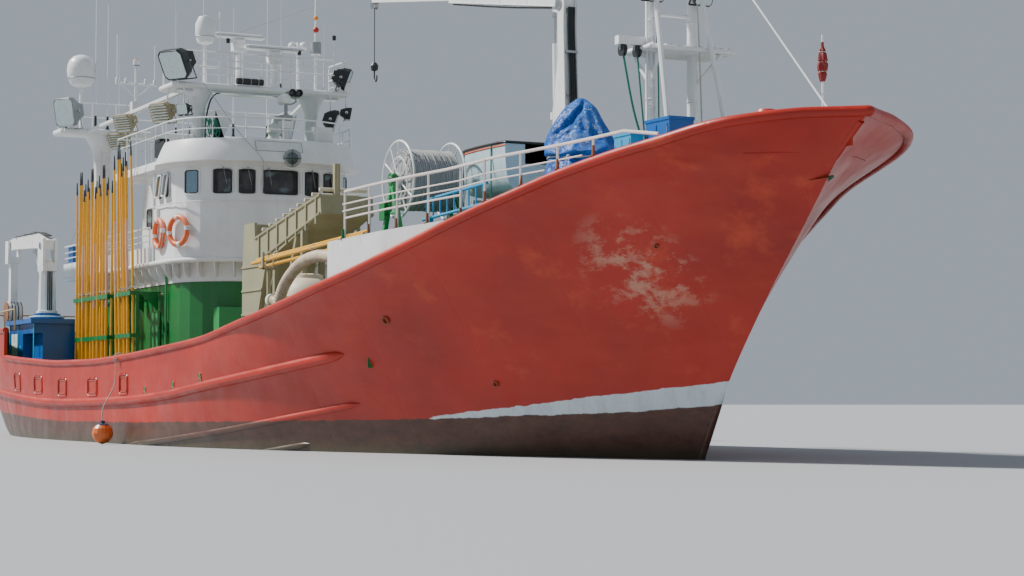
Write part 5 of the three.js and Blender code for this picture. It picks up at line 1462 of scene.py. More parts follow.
def deckhouse_fittings():
    """Doors, boxes, scuttles, pipes and the slot on the green house."""
    shape = Shape()
    doors = [
        # x, side, width
        (-7.6, -1, 0.62), (-10.6, -1, 0.62), (-8.4, 1, 0.62),
    ]
    for x, side, width in doors:
        weather_door(shape, (x, side * HOUSE.half, 2.05), Vector((0, side, 0)), width, 1.6, "green_light")
    fronts = [
        # y, z, width, height, depth
        (-0.95, 2.15, 0.7, 1.5, 0.16), (0.2, 1.7, 0.9, 0.8, 0.3),
        (1.0, 2.4, 0.4, 0.5, 0.2), (-0.2, 2.75, 0.35, 0.4, 0.15),
    ]
    for y, z, width, height, depth in fronts:
        x, _ = HOUSE.front(HOUSE.turn_at(y), 0.0)
        shape.box(
            (x - 0.25, y - width / 2, z - height / 2),
            (x + depth, y + width / 2, z + height / 2), "green_light",
        )
        shape.tube(
            [(x + depth + 0.01, y - width / 3, z), (x + depth + 0.01, y - width / 3, z + 0.12)],
            0.012, "silver", 6,
        )
    for side in (1, -1):
        for x in (-6.9, -9.1, -9.9, -11.4):
            shape.turned(
                (x, side * HOUSE.half, 2.5), [(0.001, 0.012), (0.13, 0.012)], "glass", 24, (0, side, 0),
            )
            shape.ring((x, side * (HOUSE.half + 0.02), 2.5), 0.15, 0.022, "green_light", (0, 1, 0), 24, 8)
        for x in (-6.75, -11.9):
            shape.tube(
                [(x, side * (HOUSE.half + 0.05), 1.0), (x, side * (HOUSE.half + 0.05), 3.84)],
                0.03, "green_light", 8,
            )
        y, z = side * (HOUSE.half + 0.06), HOUSE_PIPE_Z
        shape.tube([(-11.9, y, z), (-6.9, y, z)], 0.022, "silver", 8)
        x = -8.9
        while x > -11.9:
            low, high = (x - 0.02, side * HOUSE.half, z - 0.03), (
                x + 0.02, side * (HOUSE.half + 0.07), z + 0.03,
            )
            shape.box(low, high, "green")
            x -= 0.7
    x, y = HOUSE.front(HOUSE.turn_at(-0.55), 0.02)
    # Painted shade: a black block fills the slot, standing for its dark inside.
    shape.box((x - 0.05, -0.75, 3.67), (x + 0.012, -0.4, 3.82), "black")
    shape.tube(
        rounded_frame(lambda u, z: Vector((x + 0.012, u, z)), -0.77, -0.38, 3.65, 3.84, 0.03),
        0.01, "silver", 6,
    )
    shape.finish("deckhouse_fittings", bevel=0.008, slot="green_paint")


def boat_deck_edge():
    """The rounded edge of the boat deck."""
    shape = Shape()
    edge = [Vector((*p, 3.93)) for p in BOAT_DECK.loop(-0.012, 60)]
    shape.tube(edge + edge[:1], 0.052, "white", 10)
    shape.finish("boat_deck_edge", slot="white_paint")


def wheelhouse_fittings():
    """A hand rail, pipes, a box on each side, and the ladder behind the wheelhouse."""
    shape = Shape()
    rail = [Vector((*p, HAND_RAIL_Z)) for p in WHEELHOUSE.loop(0.055, 48, -7.2)]
    shape.tube(rail, 0.013, "white", 6)
    for p in rail[2:-2:4]:
        inward = Vector((-6.2, 0, HAND_RAIL_Z)) - p
        shape.tube([p, p + inward.normalized() * 0.06], 0.009, "white", 6)
    for y in (1.15, 1.3):
        x, _ = WHEELHOUSE.front(WHEELHOUSE.turn_at(y), 0.03)
        shape.tube([(x, y, 3.98), (x, y, 5.32)], 0.018, "white", 8)
    for side in (1, -1):
        y = side * (WHEELHOUSE.half + 0.02)
        shape.tube([(-7.15, y, 4.0), (-7.15, y, 5.96)], 0.03, "white", 8)
        shape.box((-7.0, y - 0.05, 4.9), (-6.8, y + 0.09, 5.15), "white_worn")
    feet = [(-7.42, 1.02, 4.0), (-7.42, 1.28, 4.0)]
    ladder(shape, feet, 6.9, [4.15 + 0.28 * k for k in range(9)], 0.018, 0.012, 8)
    shape.finish("wheelhouse_fittings", slot="white_paint")


def flybridge_rails():
    """A light rail round the top deck, on thin posts."""
    shape = Shape()
    path = [Vector((*p, 0)) for p in fly_edge(-0.05)]
    path.append(path[0].copy())
    for z, radius in ((FLY_RAIL_Z, 0.017), (6.78, 0.011)):
        shape.tube([p + Vector((0, 0, z)) for p in path], radius, "white", 8)
    last = path[0]
    for p in path:
        if (p - last).length > 0.72 or p == path[0]:
            shape.tube([p + Vector((0, 0, FLY_TOP)), p + Vector((0, 0, FLY_RAIL_Z))], 0.014, "white", 8)
            last = p
    for k in range(1, 5):
        p = path[0].lerp(path[-2], k / 5)
        shape.tube([p + Vector((0, 0, FLY_TOP)), p + Vector((0, 0, FLY_RAIL_Z))], 0.014, "white", 8)
    shape.finish("flybridge_rails", slot="white_paint")


def boat_deck_rails():
    """Two bars round the after boat deck."""
    shape = Shape()
    y = BOAT_DECK.half - 0.03
    loop = [(-7.35, -y), (-14.47, -y), (-14.47, y), (-7.35, y)]
    for z in (4.46, 4.6):
        shape.bars([Vector((*p, z)) for p in loop], 0.012, "white", 6)
    shape.finish("boat_deck_rails", slot="white_paint")


def flybridge_gear():
    """Boxes, the white locker, a compass and the green rope coil on the flybridge."""
    shape = Shape()
    boxes = [
        # x from, x to, y from, y to, z from, z to, paint
        (-7.0, -6.3, -2.12, -1.85, 6.3, 6.62, "black"),
        (-6.95, -6.6, -2.13, -1.9, 6.62, 6.7, "black"),
        (-9.3, -8.5, -0.9, 0.4, 6.15, 6.75, "white_worn"),
        (-5.2, -4.95, 0.9, 1.35, 6.15, 6.95, "white_worn"),
    ]
    for x0, x1, y0, y1, z0, z1, material in boxes:
        shape.box((x0, y0, z0), (x1, y1, z1), material)
    locker = []
    for k in range(13):
        t = math.pi * k / 12
        locker.append((
            -5.6, -1.15 - 0.22 * math.copysign(abs(math.cos(t)) ** 0.35, math.cos(t)),
            6.98 + 0.25 * math.sin(t) ** 0.45,
        ))
    shape.prism(
        [(-5.6, -1.37, FLY_TOP), *reversed(locker), (-5.6, -0.93, FLY_TOP)][::-1], (0.34, 0, 0), "white",
    )
    for z in (6.45, 6.8):
        shape.tube([(-5.24, -1.33, z - 0.05), (-5.24, -1.33, z + 0.05)], 0.014, "silver", 8)
    shape.turned(
        (-6.4, 0.5, 6.15),
        [(0.16, 0), (0.12, 0.1), (0.12, 0.75), (0.17, 0.8), (0.15, 0.95), (0.001, 1.05)], "white", 24,
    )
    shape.finish("flybridge_gear", bevel=0.015, slot="white_paint")
    coil = Shape()
    for k in range(6):
        y = -1.58 + 0.045 * k
        x = -4.98 + 0.03 * math.sin(k * 2.3)
        low = 6.6 + 0.07 * math.sin(k * 1.9)
        loop = [
            (x, y, 7.0), (x + 0.05, y + 0.03, 6.85), (x + 0.05, y + 0.06, low + 0.1), (x, y + 0.03, low),
            (x - 0.05, y - 0.02, low + 0.12), (x - 0.02, y - 0.02, 6.85), (x, y, 7.0),
        ]
        coil.tube(smooth_line(loop, 5), 0.012, "rope_green", 6)
    coil.ring((-4.98, -1.47, 6.94), 0.09, 0.014, "rope_green", (0, 0, 1), 20, 8, 0.9)
    coil.finish("green_coil", slot="rope")


def searchlights():
    """A pedestal with its box, and a lamp body with two barrels above it."""
    shape = Shape()
    x, y = -5.15, 0.31
    shape.turned(
        (x, y, FLY_TOP), [(0.13, 0), (0.13, 0.02), (0.06, 0.05), (0.06, 0.76), (0.1, 0.78)], "white_worn", 20,
    )
    shape.box((x - 0.13, y - 0.14, 6.88), (x + 0.13, y + 0.12, 7.06), "white_worn")
    shape.box((x - 0.11, y - 0.1, 7.08), (x + 0.11, y + 0.13, 7.19), "grey")
    shape.tube([(x, y, 7.19), (x, y, 7.44)], 0.04, "grey", 14)
    shape.turned(
        (x - 0.18, y - 0.05, 7.54),
        [(0.001, 0), (0.09, 0), (0.11, 0.02), (0.11, 0.34), (0.09, 0.36), (0.001, 0.36)],
        "white_worn", 24, (1, 0, 0),
    )
    shape.tube(
        smooth_line([(x, y, 7.44), (x, y + 0.14, 7.45), (x, y + 0.24, 7.52), (x, y + 0.2, 7.6)], 5),
        0.018, "grey", 8,
    )
    for dy in (0.08, 0.24):
        barrel = [
            (0.001, -0.2), (0.06, -0.19), (0.075, -0.05),
            (0.085, 0.16), (0.075, 0.165), (0.07, 0.1), (0.001, 0.09),
        ]
        shape.turned((x + 0.05, y + dy, 7.68), barrel, "black", 22, (1, 0, 0))
        shape.turned((x + 0.14, y + dy, 7.68), [(0.068, 0.0), (0.001, 0.006)], "lens_dark", 22, (1, 0, 0))
    shape.box((x - 0.1, y - 0.02, 7.58), (x + 0.1, y + 0.3, 7.61), "grey")
    shape.finish("searchlight", slot="steel", bevel=0.008)


def door_trim():
    """Windows, bars and the port of the moving doors."""
    for name in ("wheelhouse_door_starboard", "wheelhouse_door_port"):
        shape = Shape()
        low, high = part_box(name)
        y = (low[1] + high[1]) / 2
        x = -7.3 + 0.006

        def place(u, z):
            return Vector((x - 0.004, y + u, z))

        shape.tube(rounded_frame(place, -0.17, 0.17, 5.1, 5.6, 0.06), 0.016, "silver", 8)
        shape.prism(
            [place(u, z) for u, z in ((-0.16, 5.11), (0.16, 5.11), (0.16, 5.59), (-0.16, 5.59))],
            (-0.003, 0, 0), "glass",
        )
        for z in (4.2, 4.95, 5.72):
            shape.tube([(x - 0.012, y - 0.24, z), (x - 0.012, y + 0.24, z)], 0.006, "white_worn", 6)
        shape.finish(name + "_trim", body=name, slot="white_paint")
    shape = Shape()
    x = -12.4 + 0.002
    for z in (1.45, 2.1, 2.8):
        shape.tube([(x - 0.008, -1.18, z), (x - 0.008, -0.7, z)], 0.009, "green", 6)
    shape.turned((x, -0.94, 2.5), [(0.001, 0.004), (0.12, 0.004)], "glass", 24, (-1, 0, 0))
    shape.ring((x - 0.006, -0.94, 2.5), 0.13, 0.018, "green", (1, 0, 0), 24, 8)
    shape.finish("deckhouse_door_trim", body="deckhouse_door", slot="green_paint")


def lifebuoys():
    """Rings with four pale bands and a grab line."""
    rows = [
        # name, x, y, turn
        ("lifebuoy_aft", -6.64, -WHEELHOUSE.half - 0.067, 0.0), ("lifebuoy_fore", -5.585, -2.012, 0.375),
    ]
    for name, x, y, turn in rows:
        shape = Shape()
        axis = Vector((math.sin(turn), -math.cos(turn), 0))
        along_wall = Vector((math.cos(turn), math.sin(turn), 0))
        centre = Vector((x, y, 4.575))

        def at(angle, radius, out=0.0):
            up = Vector((0, 0, radius * math.sin(angle)))
            return centre + along_wall * (radius * math.cos(angle)) + up + axis * out

        for k in range(64):
            a0, a1 = 2 * math.pi * k / 64, 2 * math.pi * (k + 1) / 64
            in_band = (k % 16) < 3
            rings = []
            for a in (a0, a1):
                ring = []
                for j in range(12):
                    u = 2 * math.pi * j / 12
                    r = 0.061 + (0.003 if in_band else 0)
                    ring.append(at(a, 0.3 + r * math.cos(u), r * 0.95 * math.sin(u)))
                rings.append(ring)
            shape.faces(rings, "white_worn" if in_band else "orange", caps=in_band)
        line = [
            at(2 * math.pi * k / 48, 0.362 + 0.006 * math.cos(2 * math.pi * k / 12), 0.02) for k in range(49)
        ]
        shape.tube(line, 0.006, "rope_white", 6)
        shape.finish(name + "_ring", replaces=(name,), slot="buoy_orange")


dress("deckhouse", "house")
dress("boat_deck", "white", "deck_green")
dress("boat_deck_bulwark", "white", "white")
dress("wheelhouse_walls", "white")
dress("wheelhouse_glass", "glass")
dress("wheelhouse_door_starboard", "white_worn")
dress("wheelhouse_door_port", "white_worn")
dress("deckhouse_door", "green_light")
dress("aft_cabin", "white")
dress("forecastle_house", "white_worn", "deck_green")
wheelhouse_windows()
open_sashes()
wipers()
visor()
fly_floor()
disc_lamp()
soffit_gussets()
deckhouse_fittings()
boat_deck_edge()
wheelhouse_fittings()
flybridge_rails()
boat_deck_rails()
flybridge_gear()
searchlights()
door_trim()
lifebuoys()

# Gantries over the flybridge, with lamps, radars, domes and aerials

FORE_GANTRY_X = -6.25
AFT_GANTRY_X = -12.1


def aim(yaw, tilt):
    """A turn that points +X along a yaw and nose-down by a tilt, in degrees."""
    return Matrix.Rotation(math.radians(yaw), 3, "Z") @ Matrix.Rotation(math.radians(tilt), 3, "Y")


def floodlight(shape, centre, width, height, yaw, tilt, case, louvre=False, depth=None):
    """A lamp: tapered case, cooling fins, framed lens and a stirrup."""
    turn = aim(yaw, tilt)
    c = Vector(centre)
    depth = depth or width * 0.7

    def at(x, y, z):
        return c + turn @ Vector((x, y, z))

    def ring(x, share):
        w, h = width / 2 * share, height / 2 * share
        cut = min(w, h) * 0.25
        outline = [
            (-w, -h + cut), (-w + cut, -h), (w - cut, -h), (w, -h + cut),
            (w, h - cut), (w - cut, h), (-w + cut, h), (-w, h - cut),
        ]
        return [at(x, y, z) for y, z in outline]

    rows = [
        ring(-depth * 0.55, 0.45), ring(-depth * 0.45, 0.62), ring(0.02, 0.97),
        ring(depth * 0.3, 1.0), ring(depth * 0.34, 1.03), ring(depth * 0.42, 1.03),
    ]
    shape.faces(rows, case, smooth=False)
    front = ring(depth * 0.425, 0.93)
    shape.faces([front, [p + turn @ Vector((0.006, 0, 0)) for p in front]], "lens", smooth=False)
    edge = ring(depth * 0.43, 0.98)
    shape.tube(edge + edge[:1], width * 0.022, case, 6)
    for k in range(7):
        y = (k - 3) * width * 0.13
        fin = [
            at(-depth * 0.6, y - 0.006, -height * 0.2), at(-depth * 0.1, y - 0.006, -height * 0.34),
            at(-depth * 0.1, y - 0.006, height * 0.34), at(-depth * 0.6, y - 0.006, height * 0.2),
        ]
        shape.prism(fin, turn @ Vector((0, 0.012, 0)), case)
    if louvre:
        for k in range(6):
            z = (k - 2.5) * height * 0.14
            slat = [
                at(depth * 0.45, -width * 0.44, z - 0.012), at(depth * 0.45, width * 0.44, z - 0.012),
                at(depth * 0.5, width * 0.44, z + 0.02), at(depth * 0.5, -width * 0.44, z + 0.02),
            ]
            shape.prism(slat, turn @ Vector((0.004, 0, 0)), case)
    for side in (1, -1):
        y = side * (width / 2 + 0.03)
        shape.tube([at(0, y, 0), at(-0.02, y, -height * 0.62)], 0.014, case, 6)
        shape.turned(
            at(0, y - side * 0.02, 0), [(0.035, -0.02), (0.035, 0.02)],
            "silver", 10, turn @ Vector((0, 1, 0)),
        )
    shape.tube(
        [at(-0.02, -width / 2 - 0.03, -height * 0.62), at(-0.02, width / 2 + 0.03, -height * 0.62)],
        0.014, case, 6,
    )


FORE_LAMPS = [
    # x, y, z, width, height, yaw, tilt, case, louvre
    (-5.72, -2.0, 8.3, 0.66, 0.66, -60, 28, "black", False),
    (-5.95, 1.98, 8.22, 0.5, 0.5, 62, 20, "black", False),
    (-5.7, 1.6, 7.22, 0.4, 0.48, 66, 18, "black", False),
    (-5.75, 2.0, 7.4, 0.34, 0.26, 70, 10, "black", False),
    (-6.9, -1.95, 7.35, 0.5, 0.46, -58, 24, "tan", True),
    (-5.72, -1.85, 7.28, 0.3, 0.24, -56, 14, "black", False),
]
AFT_LAMPS = [
    (-11.72, -2.78, 7.86, 0.6, 0.68, -58, 12, "grey", False),
    (-11.72, 2.78, 7.86, 0.6, 0.68, 58, 12, "grey", False),
    (-11.62, -1.55, 7.25, 0.46, 0.4, -58, 26, "tan", True),
    (-11.62, 1.55, 7.25, 0.46, 0.4, 58, 26, "tan", True),
]
STAY_LAMP = (-9.6, -2.0, 7.42, 0.48, 0.42, -58, 24, "tan", True)


def lamps():
    """The gantries' floodlights with their hangers."""
    shape = Shape()
    for row in [*FORE_LAMPS, *AFT_LAMPS, STAY_LAMP]:
        x, y, z, width, height, yaw, tilt, case, louvre = row
        floodlight(shape, (x, y, z), width, height, yaw, tilt, case, louvre)
    drops = [
        # from, to
        ((-5.72, -2.0, 7.9), (-5.72, -2.0, 7.82)), ((-5.95, 1.98, 7.9), (-5.95, 1.98, 7.88)),
        ((-5.72, 1.6, 7.78), (-5.72, 1.6, 6.9)), ((-5.77, 2.0, 7.78), (-5.77, 2.0, 7.22)),
        ((-6.6, -1.93, 7.78), (-6.92, -1.95, 7.05)), ((-5.74, -1.85, 7.78), (-5.74, -1.85, 7.12)),
        ((-9.62, -2.0, 7.55), (-9.62, -2.0, 7.12)),
        ((-11.62, -1.55, 7.35), (-11.62, -1.55, 6.98)), ((-11.62, 1.55, 7.35), (-11.62, 1.55, 6.98)),
    ]
    for a, b in drops:
        shape.tube([a, b], 0.018, "white", 8)
    shape.finish("floodlights", slot="dark_steel")


def haunch(shape, x, y, low, rise, half, grow, reach):
    """The widening head of a gantry's post; reach turns its half width into its half length."""
    rings = []
    for k in range(9):
        t = k / 8
        wide = half + grow * t ** 2.2
        ring = [(x + reach(wide) * math.cos(a), y + wide * math.sin(a), low + rise * t) for a in circle(20)]
        rings.append([Vector(p) for p in ring])
    shape.faces(rings, "white", caps=False)


def fore_gantry_trim():
    """Rounded edges, haunches, mid rails, cable trays and the black roll on the fore gantry."""
    shape = Shape()
    x0, x1, y, z = -6.81, -5.83, 2.02, 7.9
    edge = [
        (x1, -y, z - 0.065), (x1, y, z - 0.065), (x0, y, z - 0.065), (x0, -y, z - 0.065), (x1, -y, z - 0.065),
    ]
    shape.bars(edge, 0.066, "white", 12)
    for side in (1, -1):
        haunch(shape, FORE_GANTRY_X, side * 1.34, 7.25, 0.56, 0.142, 0.22, lambda wide: wide * 1.15)
        shape.turned(
            (FORE_GANTRY_X, side * 1.34, 6.152),
            [(0.24, 0), (0.24, 0.03), (0.17, 0.06), (0.145, 0.1)], "white", 24,
        )
    for height in (8.1, 8.43):
        path = [(-6.78, -1.99, height), (-5.86, -1.99, height), (-5.86, 1.99, height), (-6.78, 1.99, height)]
        shape.bars(path, 0.011, "white", 6)
    y = -1.5
    while y < 1.6:
        shape.tube([(-5.86, y, 7.88), (-5.86, y, 8.6)], 0.013, "white", 6)
        y += 0.5
    shape.tube([(-5.78, -0.62, 7.98), (-5.78, 0.0, 7.98)], 0.075, "black", 14)
    for y in (-0.5, -0.3, -0.12):
        shape.ring((-5.78, y, 7.98), 0.078, 0.007, "rope_white", (0, 1, 0), 18, 6)
    shape.box((-6.2, -1.9, 7.72), (-6.0, 1.9, 7.77), "silver")
    for k in range(3):
        path = [
            (-6.1 + 0.03 * k, -1.25, 6.2), (-6.1 + 0.03 * k, -1.2, 7.3),
            (-6.1 + 0.03 * k, -1.0, 7.7), (-6.1 + 0.03 * k, 0.8, 7.71),
        ]
        shape.tube(smooth_line(path, 5), 0.012, "black", 6)
    feet = [(-6.42, -1.52, 6.2), (-6.08, -1.52, 6.2)]
    ladder(shape, feet, 7.8, [6.35 + 0.26 * k for k in range(6)], 0.014, 0.01)
    shape.finish("fore_gantry_trim", slot="white_paint", bevel=0.006)


def mast_head_gear():
    """A small dome, a cluster of balls, lights and aerials' feet on the fore gantry."""
    shape = Shape()
    shape.turned(
        (FORE_GANTRY_X, -1.2, 8.86),
        [(0.05, -0.05), (0.17, 0.0), (0.222, 0.14), (0.222, 0.42), (0.15, 0.58), (0.001, 0.62)], "white", 32,
    )
    shape.ring((FORE_GANTRY_X, -1.2, 8.99), 0.222, 0.008, "grey", (0, 0, 1), 32, 6)
    shape.turned(
        (FORE_GANTRY_X, 1.45, 8.79),
        [(0.001, 0), (0.124, 0), (0.124, 0.27), (0.09, 0.29), (0.001, 0.29)], "grey", 24,
    )
    shape.ball((FORE_GANTRY_X, 1.45, 9.35), 0.07, "red", 10)
    shape.ball((FORE_GANTRY_X, 1.45, 9.62), 0.055, "amber", 10)
    for dx, dy in ((0, 0), (0.12, 0.1), (-0.1, 0.13), (0.02, -0.14)):
        shape.ball((-6.55 + dx, 1.12 + dy, 8.98), 0.1, "white", 10)
        shape.tube([(-6.55, 1.12, 8.75), (-6.55 + dx, 1.12 + dy, 8.95)], 0.014, "white", 6)
    shape.tube(
        [(FORE_GANTRY_X, -1.2, 8.3), (FORE_GANTRY_X, -0.85, 8.3), (FORE_GANTRY_X, -0.85, 9.4)],
        0.012, "white", 6,
    )
    shape.turned(
        (FORE_GANTRY_X, -0.85, 9.4), [(0.02, 0), (0.03, 0.05), (0.03, 0.16), (0.001, 0.18)], "white", 12,
    )
    for y, z in ((-0.75, 8.85), (0.95, 8.7), (1.8, 9.1)):
        shape.tube([(-6.0, y, 7.9), (-6.0, y, z)], 0.013, "white", 6)
        shape.turned((-6.0, y, z), [(0.001, 0), (0.04, 0.0), (0.045, 0.1), (0.001, 0.12)], "black", 12)
    shape.finish("fore_gantry_aerials", slot="white_paint")


def radar_scanners():
    """Two turning bars with rounded ends, on finned gear boxes."""
    rows = [
        # name, x, y, z, half length
        ("radar_bar_starboard", -6.6, -0.27, 9.12, 0.6), ("radar_bar_port", -6.05, 0.37, 8.8, 0.71),
    ]
    for name, x, y, z, half in rows:
        shape = Shape()
        rings = []
        for k in range(17):
            s = -1 + 2 * k / 16
            end = min(1.0, (1 - abs(s)) * 9)
            w, h = 0.085 * (0.6 + 0.4 * end), 0.066 * (0.55 + 0.45 * end)
            rings.append([
                Vector((
                    x + w * math.cos(a), y + half * s * 0.995,
                    z + 0.006 + h * math.copysign(abs(math.sin(a)) ** 0.6, math.sin(a)),
                )) for a in circle(20)
            ])
        shape.faces(rings, "white_worn")
        shape.turned((x, y, z - 0.075), [(0.08, 0), (0.09, 0.02), (0.06, 0.035)], "white", 24)
        shape.tube([(x + 0.084, y - half * 0.9, z), (x + 0.084, y + half * 0.9, z)], 0.01, "grey", 6)
        shape.finish(name + "_case", body=name, replaces=(name,), slot="white_paint")
    shape = Shape()
    for name, x, y, z, half in rows:
        for k in range(6):
            shape.ring((x, y, 8.05 + (z - 8.35) * k / 6), 0.093, 0.008, "white", (0, 0, 1), 24, 6)
        shape.box((x - 0.1, y - 0.17, z - 0.34), (x + 0.1, y + 0.17, z - 0.14), "white_worn")
    shape.finish("radar_gear_boxes", bevel=0.02, slot="white_paint")


def aft_gantry_trim():
    """Rounded edges, haunches, ladders and rails on the after gantry."""
    shape = Shape()
    x0, x1, y, z = -12.45, -11.75, 2.9, 7.48
    edge = [
        (x1, -y, z - 0.075), (x1, y, z - 0.075), (x0, y, z - 0.075), (x0, -y, z - 0.075), (x1, -y, z - 0.075),
    ]
    shape.bars(edge, 0.076, "white", 12)
    for side in (1, -1):
        feet = [(-11.86, side * 1.7, 4.1), (-11.86, side * 1.95, 4.1)]
        ladder(shape, feet, 7.1, [4.4 + 0.42 * k for k in range(7)], 0.016, 0.014)
        haunch(shape, AFT_GANTRY_X, side * 1.825, 6.75, 0.6, 0.228, 0.25, lambda wide: min(wide, 0.34))
        shape.ring((AFT_GANTRY_X, side * 1.825, 5.4), 0.222, 0.012, "white", (0, 0, 1), 28, 6)
        for y in (2.0, 2.6):
            shape.tube([(-12.42, side * y, 7.45), (-12.42, side * y, 8.2)], 0.016, "white", 6)
    for z in (7.85, 8.2):
        shape.tube([(-12.42, -2.86, z), (-12.42, 2.86, z)], 0.014, "white", 6)
    for y in (-2.86, -1.4, -0.2, 1.0, 2.86):
        shape.tube([(-12.42, y, 7.45), (-12.42, y, 8.2)], 0.014, "white", 6)
    shape.finish("aft_gantry_trim", slot="white_paint", bevel=0.006)


def aft_aerials():
    """The big radome, the crosstree with its lights, and the whip aerials' bases."""
    shape = Shape()
    profile = [
        (0.06, -0.06), (0.24, 0.0), (0.33, 0.16), (0.352, 0.36),
        (0.335, 0.5), (0.29, 0.61), (0.2, 0.7), (0.1, 0.738), (0.001, 0.75),
    ]
    shape.turned((-12.2, -2.35, 8.595), profile, "white", 40)
    shape.ring((-12.2, -2.35, 8.76), 0.334, 0.01, "grey", (0, 0, 1), 40, 6)
    shape.turned((AFT_GANTRY_X, -1.0, 9.14), [(0.001, 0), (0.085, 0), (0.085, 0.03)], "grey", 20)
    shape.turned(
        (AFT_GANTRY_X, -1.0, 9.17),
        [(0.001, 0), (0.07, 0), (0.075, 0.1), (0.05, 0.15), (0.001, 0.17)], "amber", 20,
    )
    for y in (-1.48, -0.52, -1.25, -0.75):
        shape.turned(
            (AFT_GANTRY_X, y, 8.71),
            [(0.001, 0), (0.04, 0), (0.045, 0.09), (0.03, 0.12), (0.001, 0.13)], "white_worn", 14,
        )
    shape.tube([(AFT_GANTRY_X, -1.4, 8.69), (AFT_GANTRY_X, -1.0, 8.35)], 0.012, "white", 6)
    shape.tube([(AFT_GANTRY_X, -0.6, 8.69), (AFT_GANTRY_X, -1.0, 8.35)], 0.012, "white", 6)
    shape.box((-12.2, -1.12, 8.0), (-12.0, -0.88, 8.25), "white_worn")
    for y in (-2.05, -1.75, 0.7, 1.5, 2.4):
        shape.turned(
            (-11.98, y, 7.48),
            [(0.05, 0), (0.05, 0.04), (0.032, 0.08), (0.03, 0.35), (0.001, 0.36)], "black", 14,
        )
    extra = [
        # x, y, foot, top, radius
        (-12.35, -1.35, 7.48, 9.9, 0.01), (-12.3, 0.1, 7.48, 10.6, 0.011), (-12.0, 0.35, 7.48, 9.4, 0.009),
        (-6.7, -1.75, 7.9, 9.9, 0.01), (-6.65, 0.75, 7.9, 10.6, 0.01), (-6.75, 1.85, 7.9, 9.6, 0.009),
    ]
    for x, y, low, top, radius in extra:
        shape.turned((x, y, low), [(0.035, 0), (0.03, 0.05), (0.02, 0.22), (0.001, 0.23)], "black", 12)
        shape.tube([(x, y, low), (x, y, top)], radius, "white", 6, radius * 0.4)
    shape.finish("aft_aerials", slot="white_paint")


def stays():
    """Thin wires from one gantry to the other and down towards the stern."""
    shape = Shape()
    wires = [
        ((AFT_GANTRY_X, -1.0, 9.1), (FORE_GANTRY_X, -1.2, 8.8)),
        ((AFT_GANTRY_X, -1.0, 8.7), (-14.4, -2.0, 4.78)),
        ((AFT_GANTRY_X, -1.0, 8.7), (-14.4, 2.0, 4.78)),
        ((FORE_GANTRY_X, 1.45, 9.9), (AFT_GANTRY_X, -1.0, 9.1)),
    ]
    for a, b in wires:
        shape.tube([a, b], 0.006, "steel", 5)
    shape.finish("gantry_wires", slot="steel")


def aft_cabin_fittings():
    """Windows and a door of the after cabin, a box and the funnel behind it."""
    shape = Shape()
    for x in (-9.9, -8.8, -7.8):
        for side in (1, -1):
            def place(u, z, s=side):
                return Vector((u, s * 1.304, z))

            shape.tube(rounded_frame(place, x - 0.2, x + 0.2, 4.95, 5.4, 0.08), 0.024, "black", 8)
            corners = ((x - 0.2, 4.95), (x + 0.2, 4.95), (x + 0.2, 5.4), (x - 0.2, 5.4))
            shape.prism([place(*corner) for corner in corners], (0, side * 0.004, 0), "glass")
    weather_door(shape, (-10.5, 0.6, 4.95), Vector((-1, 0, 0)), 0.66, 1.75, "white_worn", "white")
    shape.box((-10.62, -1.0, 4.0), (-10.5, -0.2, 4.9), "white_worn")
    shape.turned(
        (-11.2, 0.0, 3.98),
        [(0.42, 0), (0.42, 1.5), (0.36, 1.56), (0.3, 1.56), (0.3, 1.4), (0.001, 1.4)], "white", 32,
    )
    shape.turned(
        (-11.2, 0.0, 5.35),
        [(0.001, 0), (0.2, 0.0), (0.2, 0.75), (0.17, 0.75), (0.17, 0.1), (0.001, 0.1)], "black", 24,
    )
    shape.finish("aft_cabin_fittings", bevel=0.01, slot="white_paint")


dress("fore_gantry", "white")
dress("aft_gantry", "white")
lamps()
fore_gantry_trim()
mast_head_gear()
radar_scanners()
aft_gantry_trim()
aft_aerials()
stays()
aft_cabin_fittings()

# Fishing poles in their racks, and spare poles along the deck

POLE_RACKS = [
    # node, x from, x to, poles in a row, top, lean of the top aft
    ("fishing_poles_aft", -11.85, -9.15, 9, 6.15, 0.0),
    ("fishing_poles_fore", -8.35, -7.35, 4, 6.5, 0.38),
]
RACK_Y = -2.48
RACK_Z = 3.28


def fishing_pole(shape, foot, top, seed):
    """A long tapered pole: yellow lower joint, taped middle, pale upper joint and dark tip, with wraps."""
    foot, top = Vector(foot), Vector(top)
    run = top - foot
    bend = Vector((0.02 * math.sin(seed * 1.9), 0.02 * math.cos(seed * 2.3), 0))

    def at(s):
        return foot + run * s + bend * math.sin(math.pi * s)

    middle = "pole_pink" if seed % 3 == 1 else "yellow"
    parts = [
        # share from, share to, radius from, radius to, material
        (0.0, 0.03, 0.04, 0.042, "black"),
        (0.03, 0.4, 0.037, 0.034, "yellow"), (0.4, 0.72, 0.033, 0.03, middle),
        (0.72, 0.94, 0.029, 0.025, "yellow"), (0.94, 1.0, 0.022, 0.012, "black"),
    ]
    for a, b, r0, r1, material in parts:
        points = [at(a + (b - a) * k / 3) for k in range(4)]
        shape.tube(points, r0, material, 10, r1)
    for s in (0.12, 0.3, 0.46, 0.58, 0.7, 0.82):
        share = s + 0.012 * math.sin(seed * 3.1 + s * 9)
        shape.tube([at(share), at(share + 0.009)], 0.039 - 0.02 * s, "rope_white" if s > 0.4 else "black", 10)


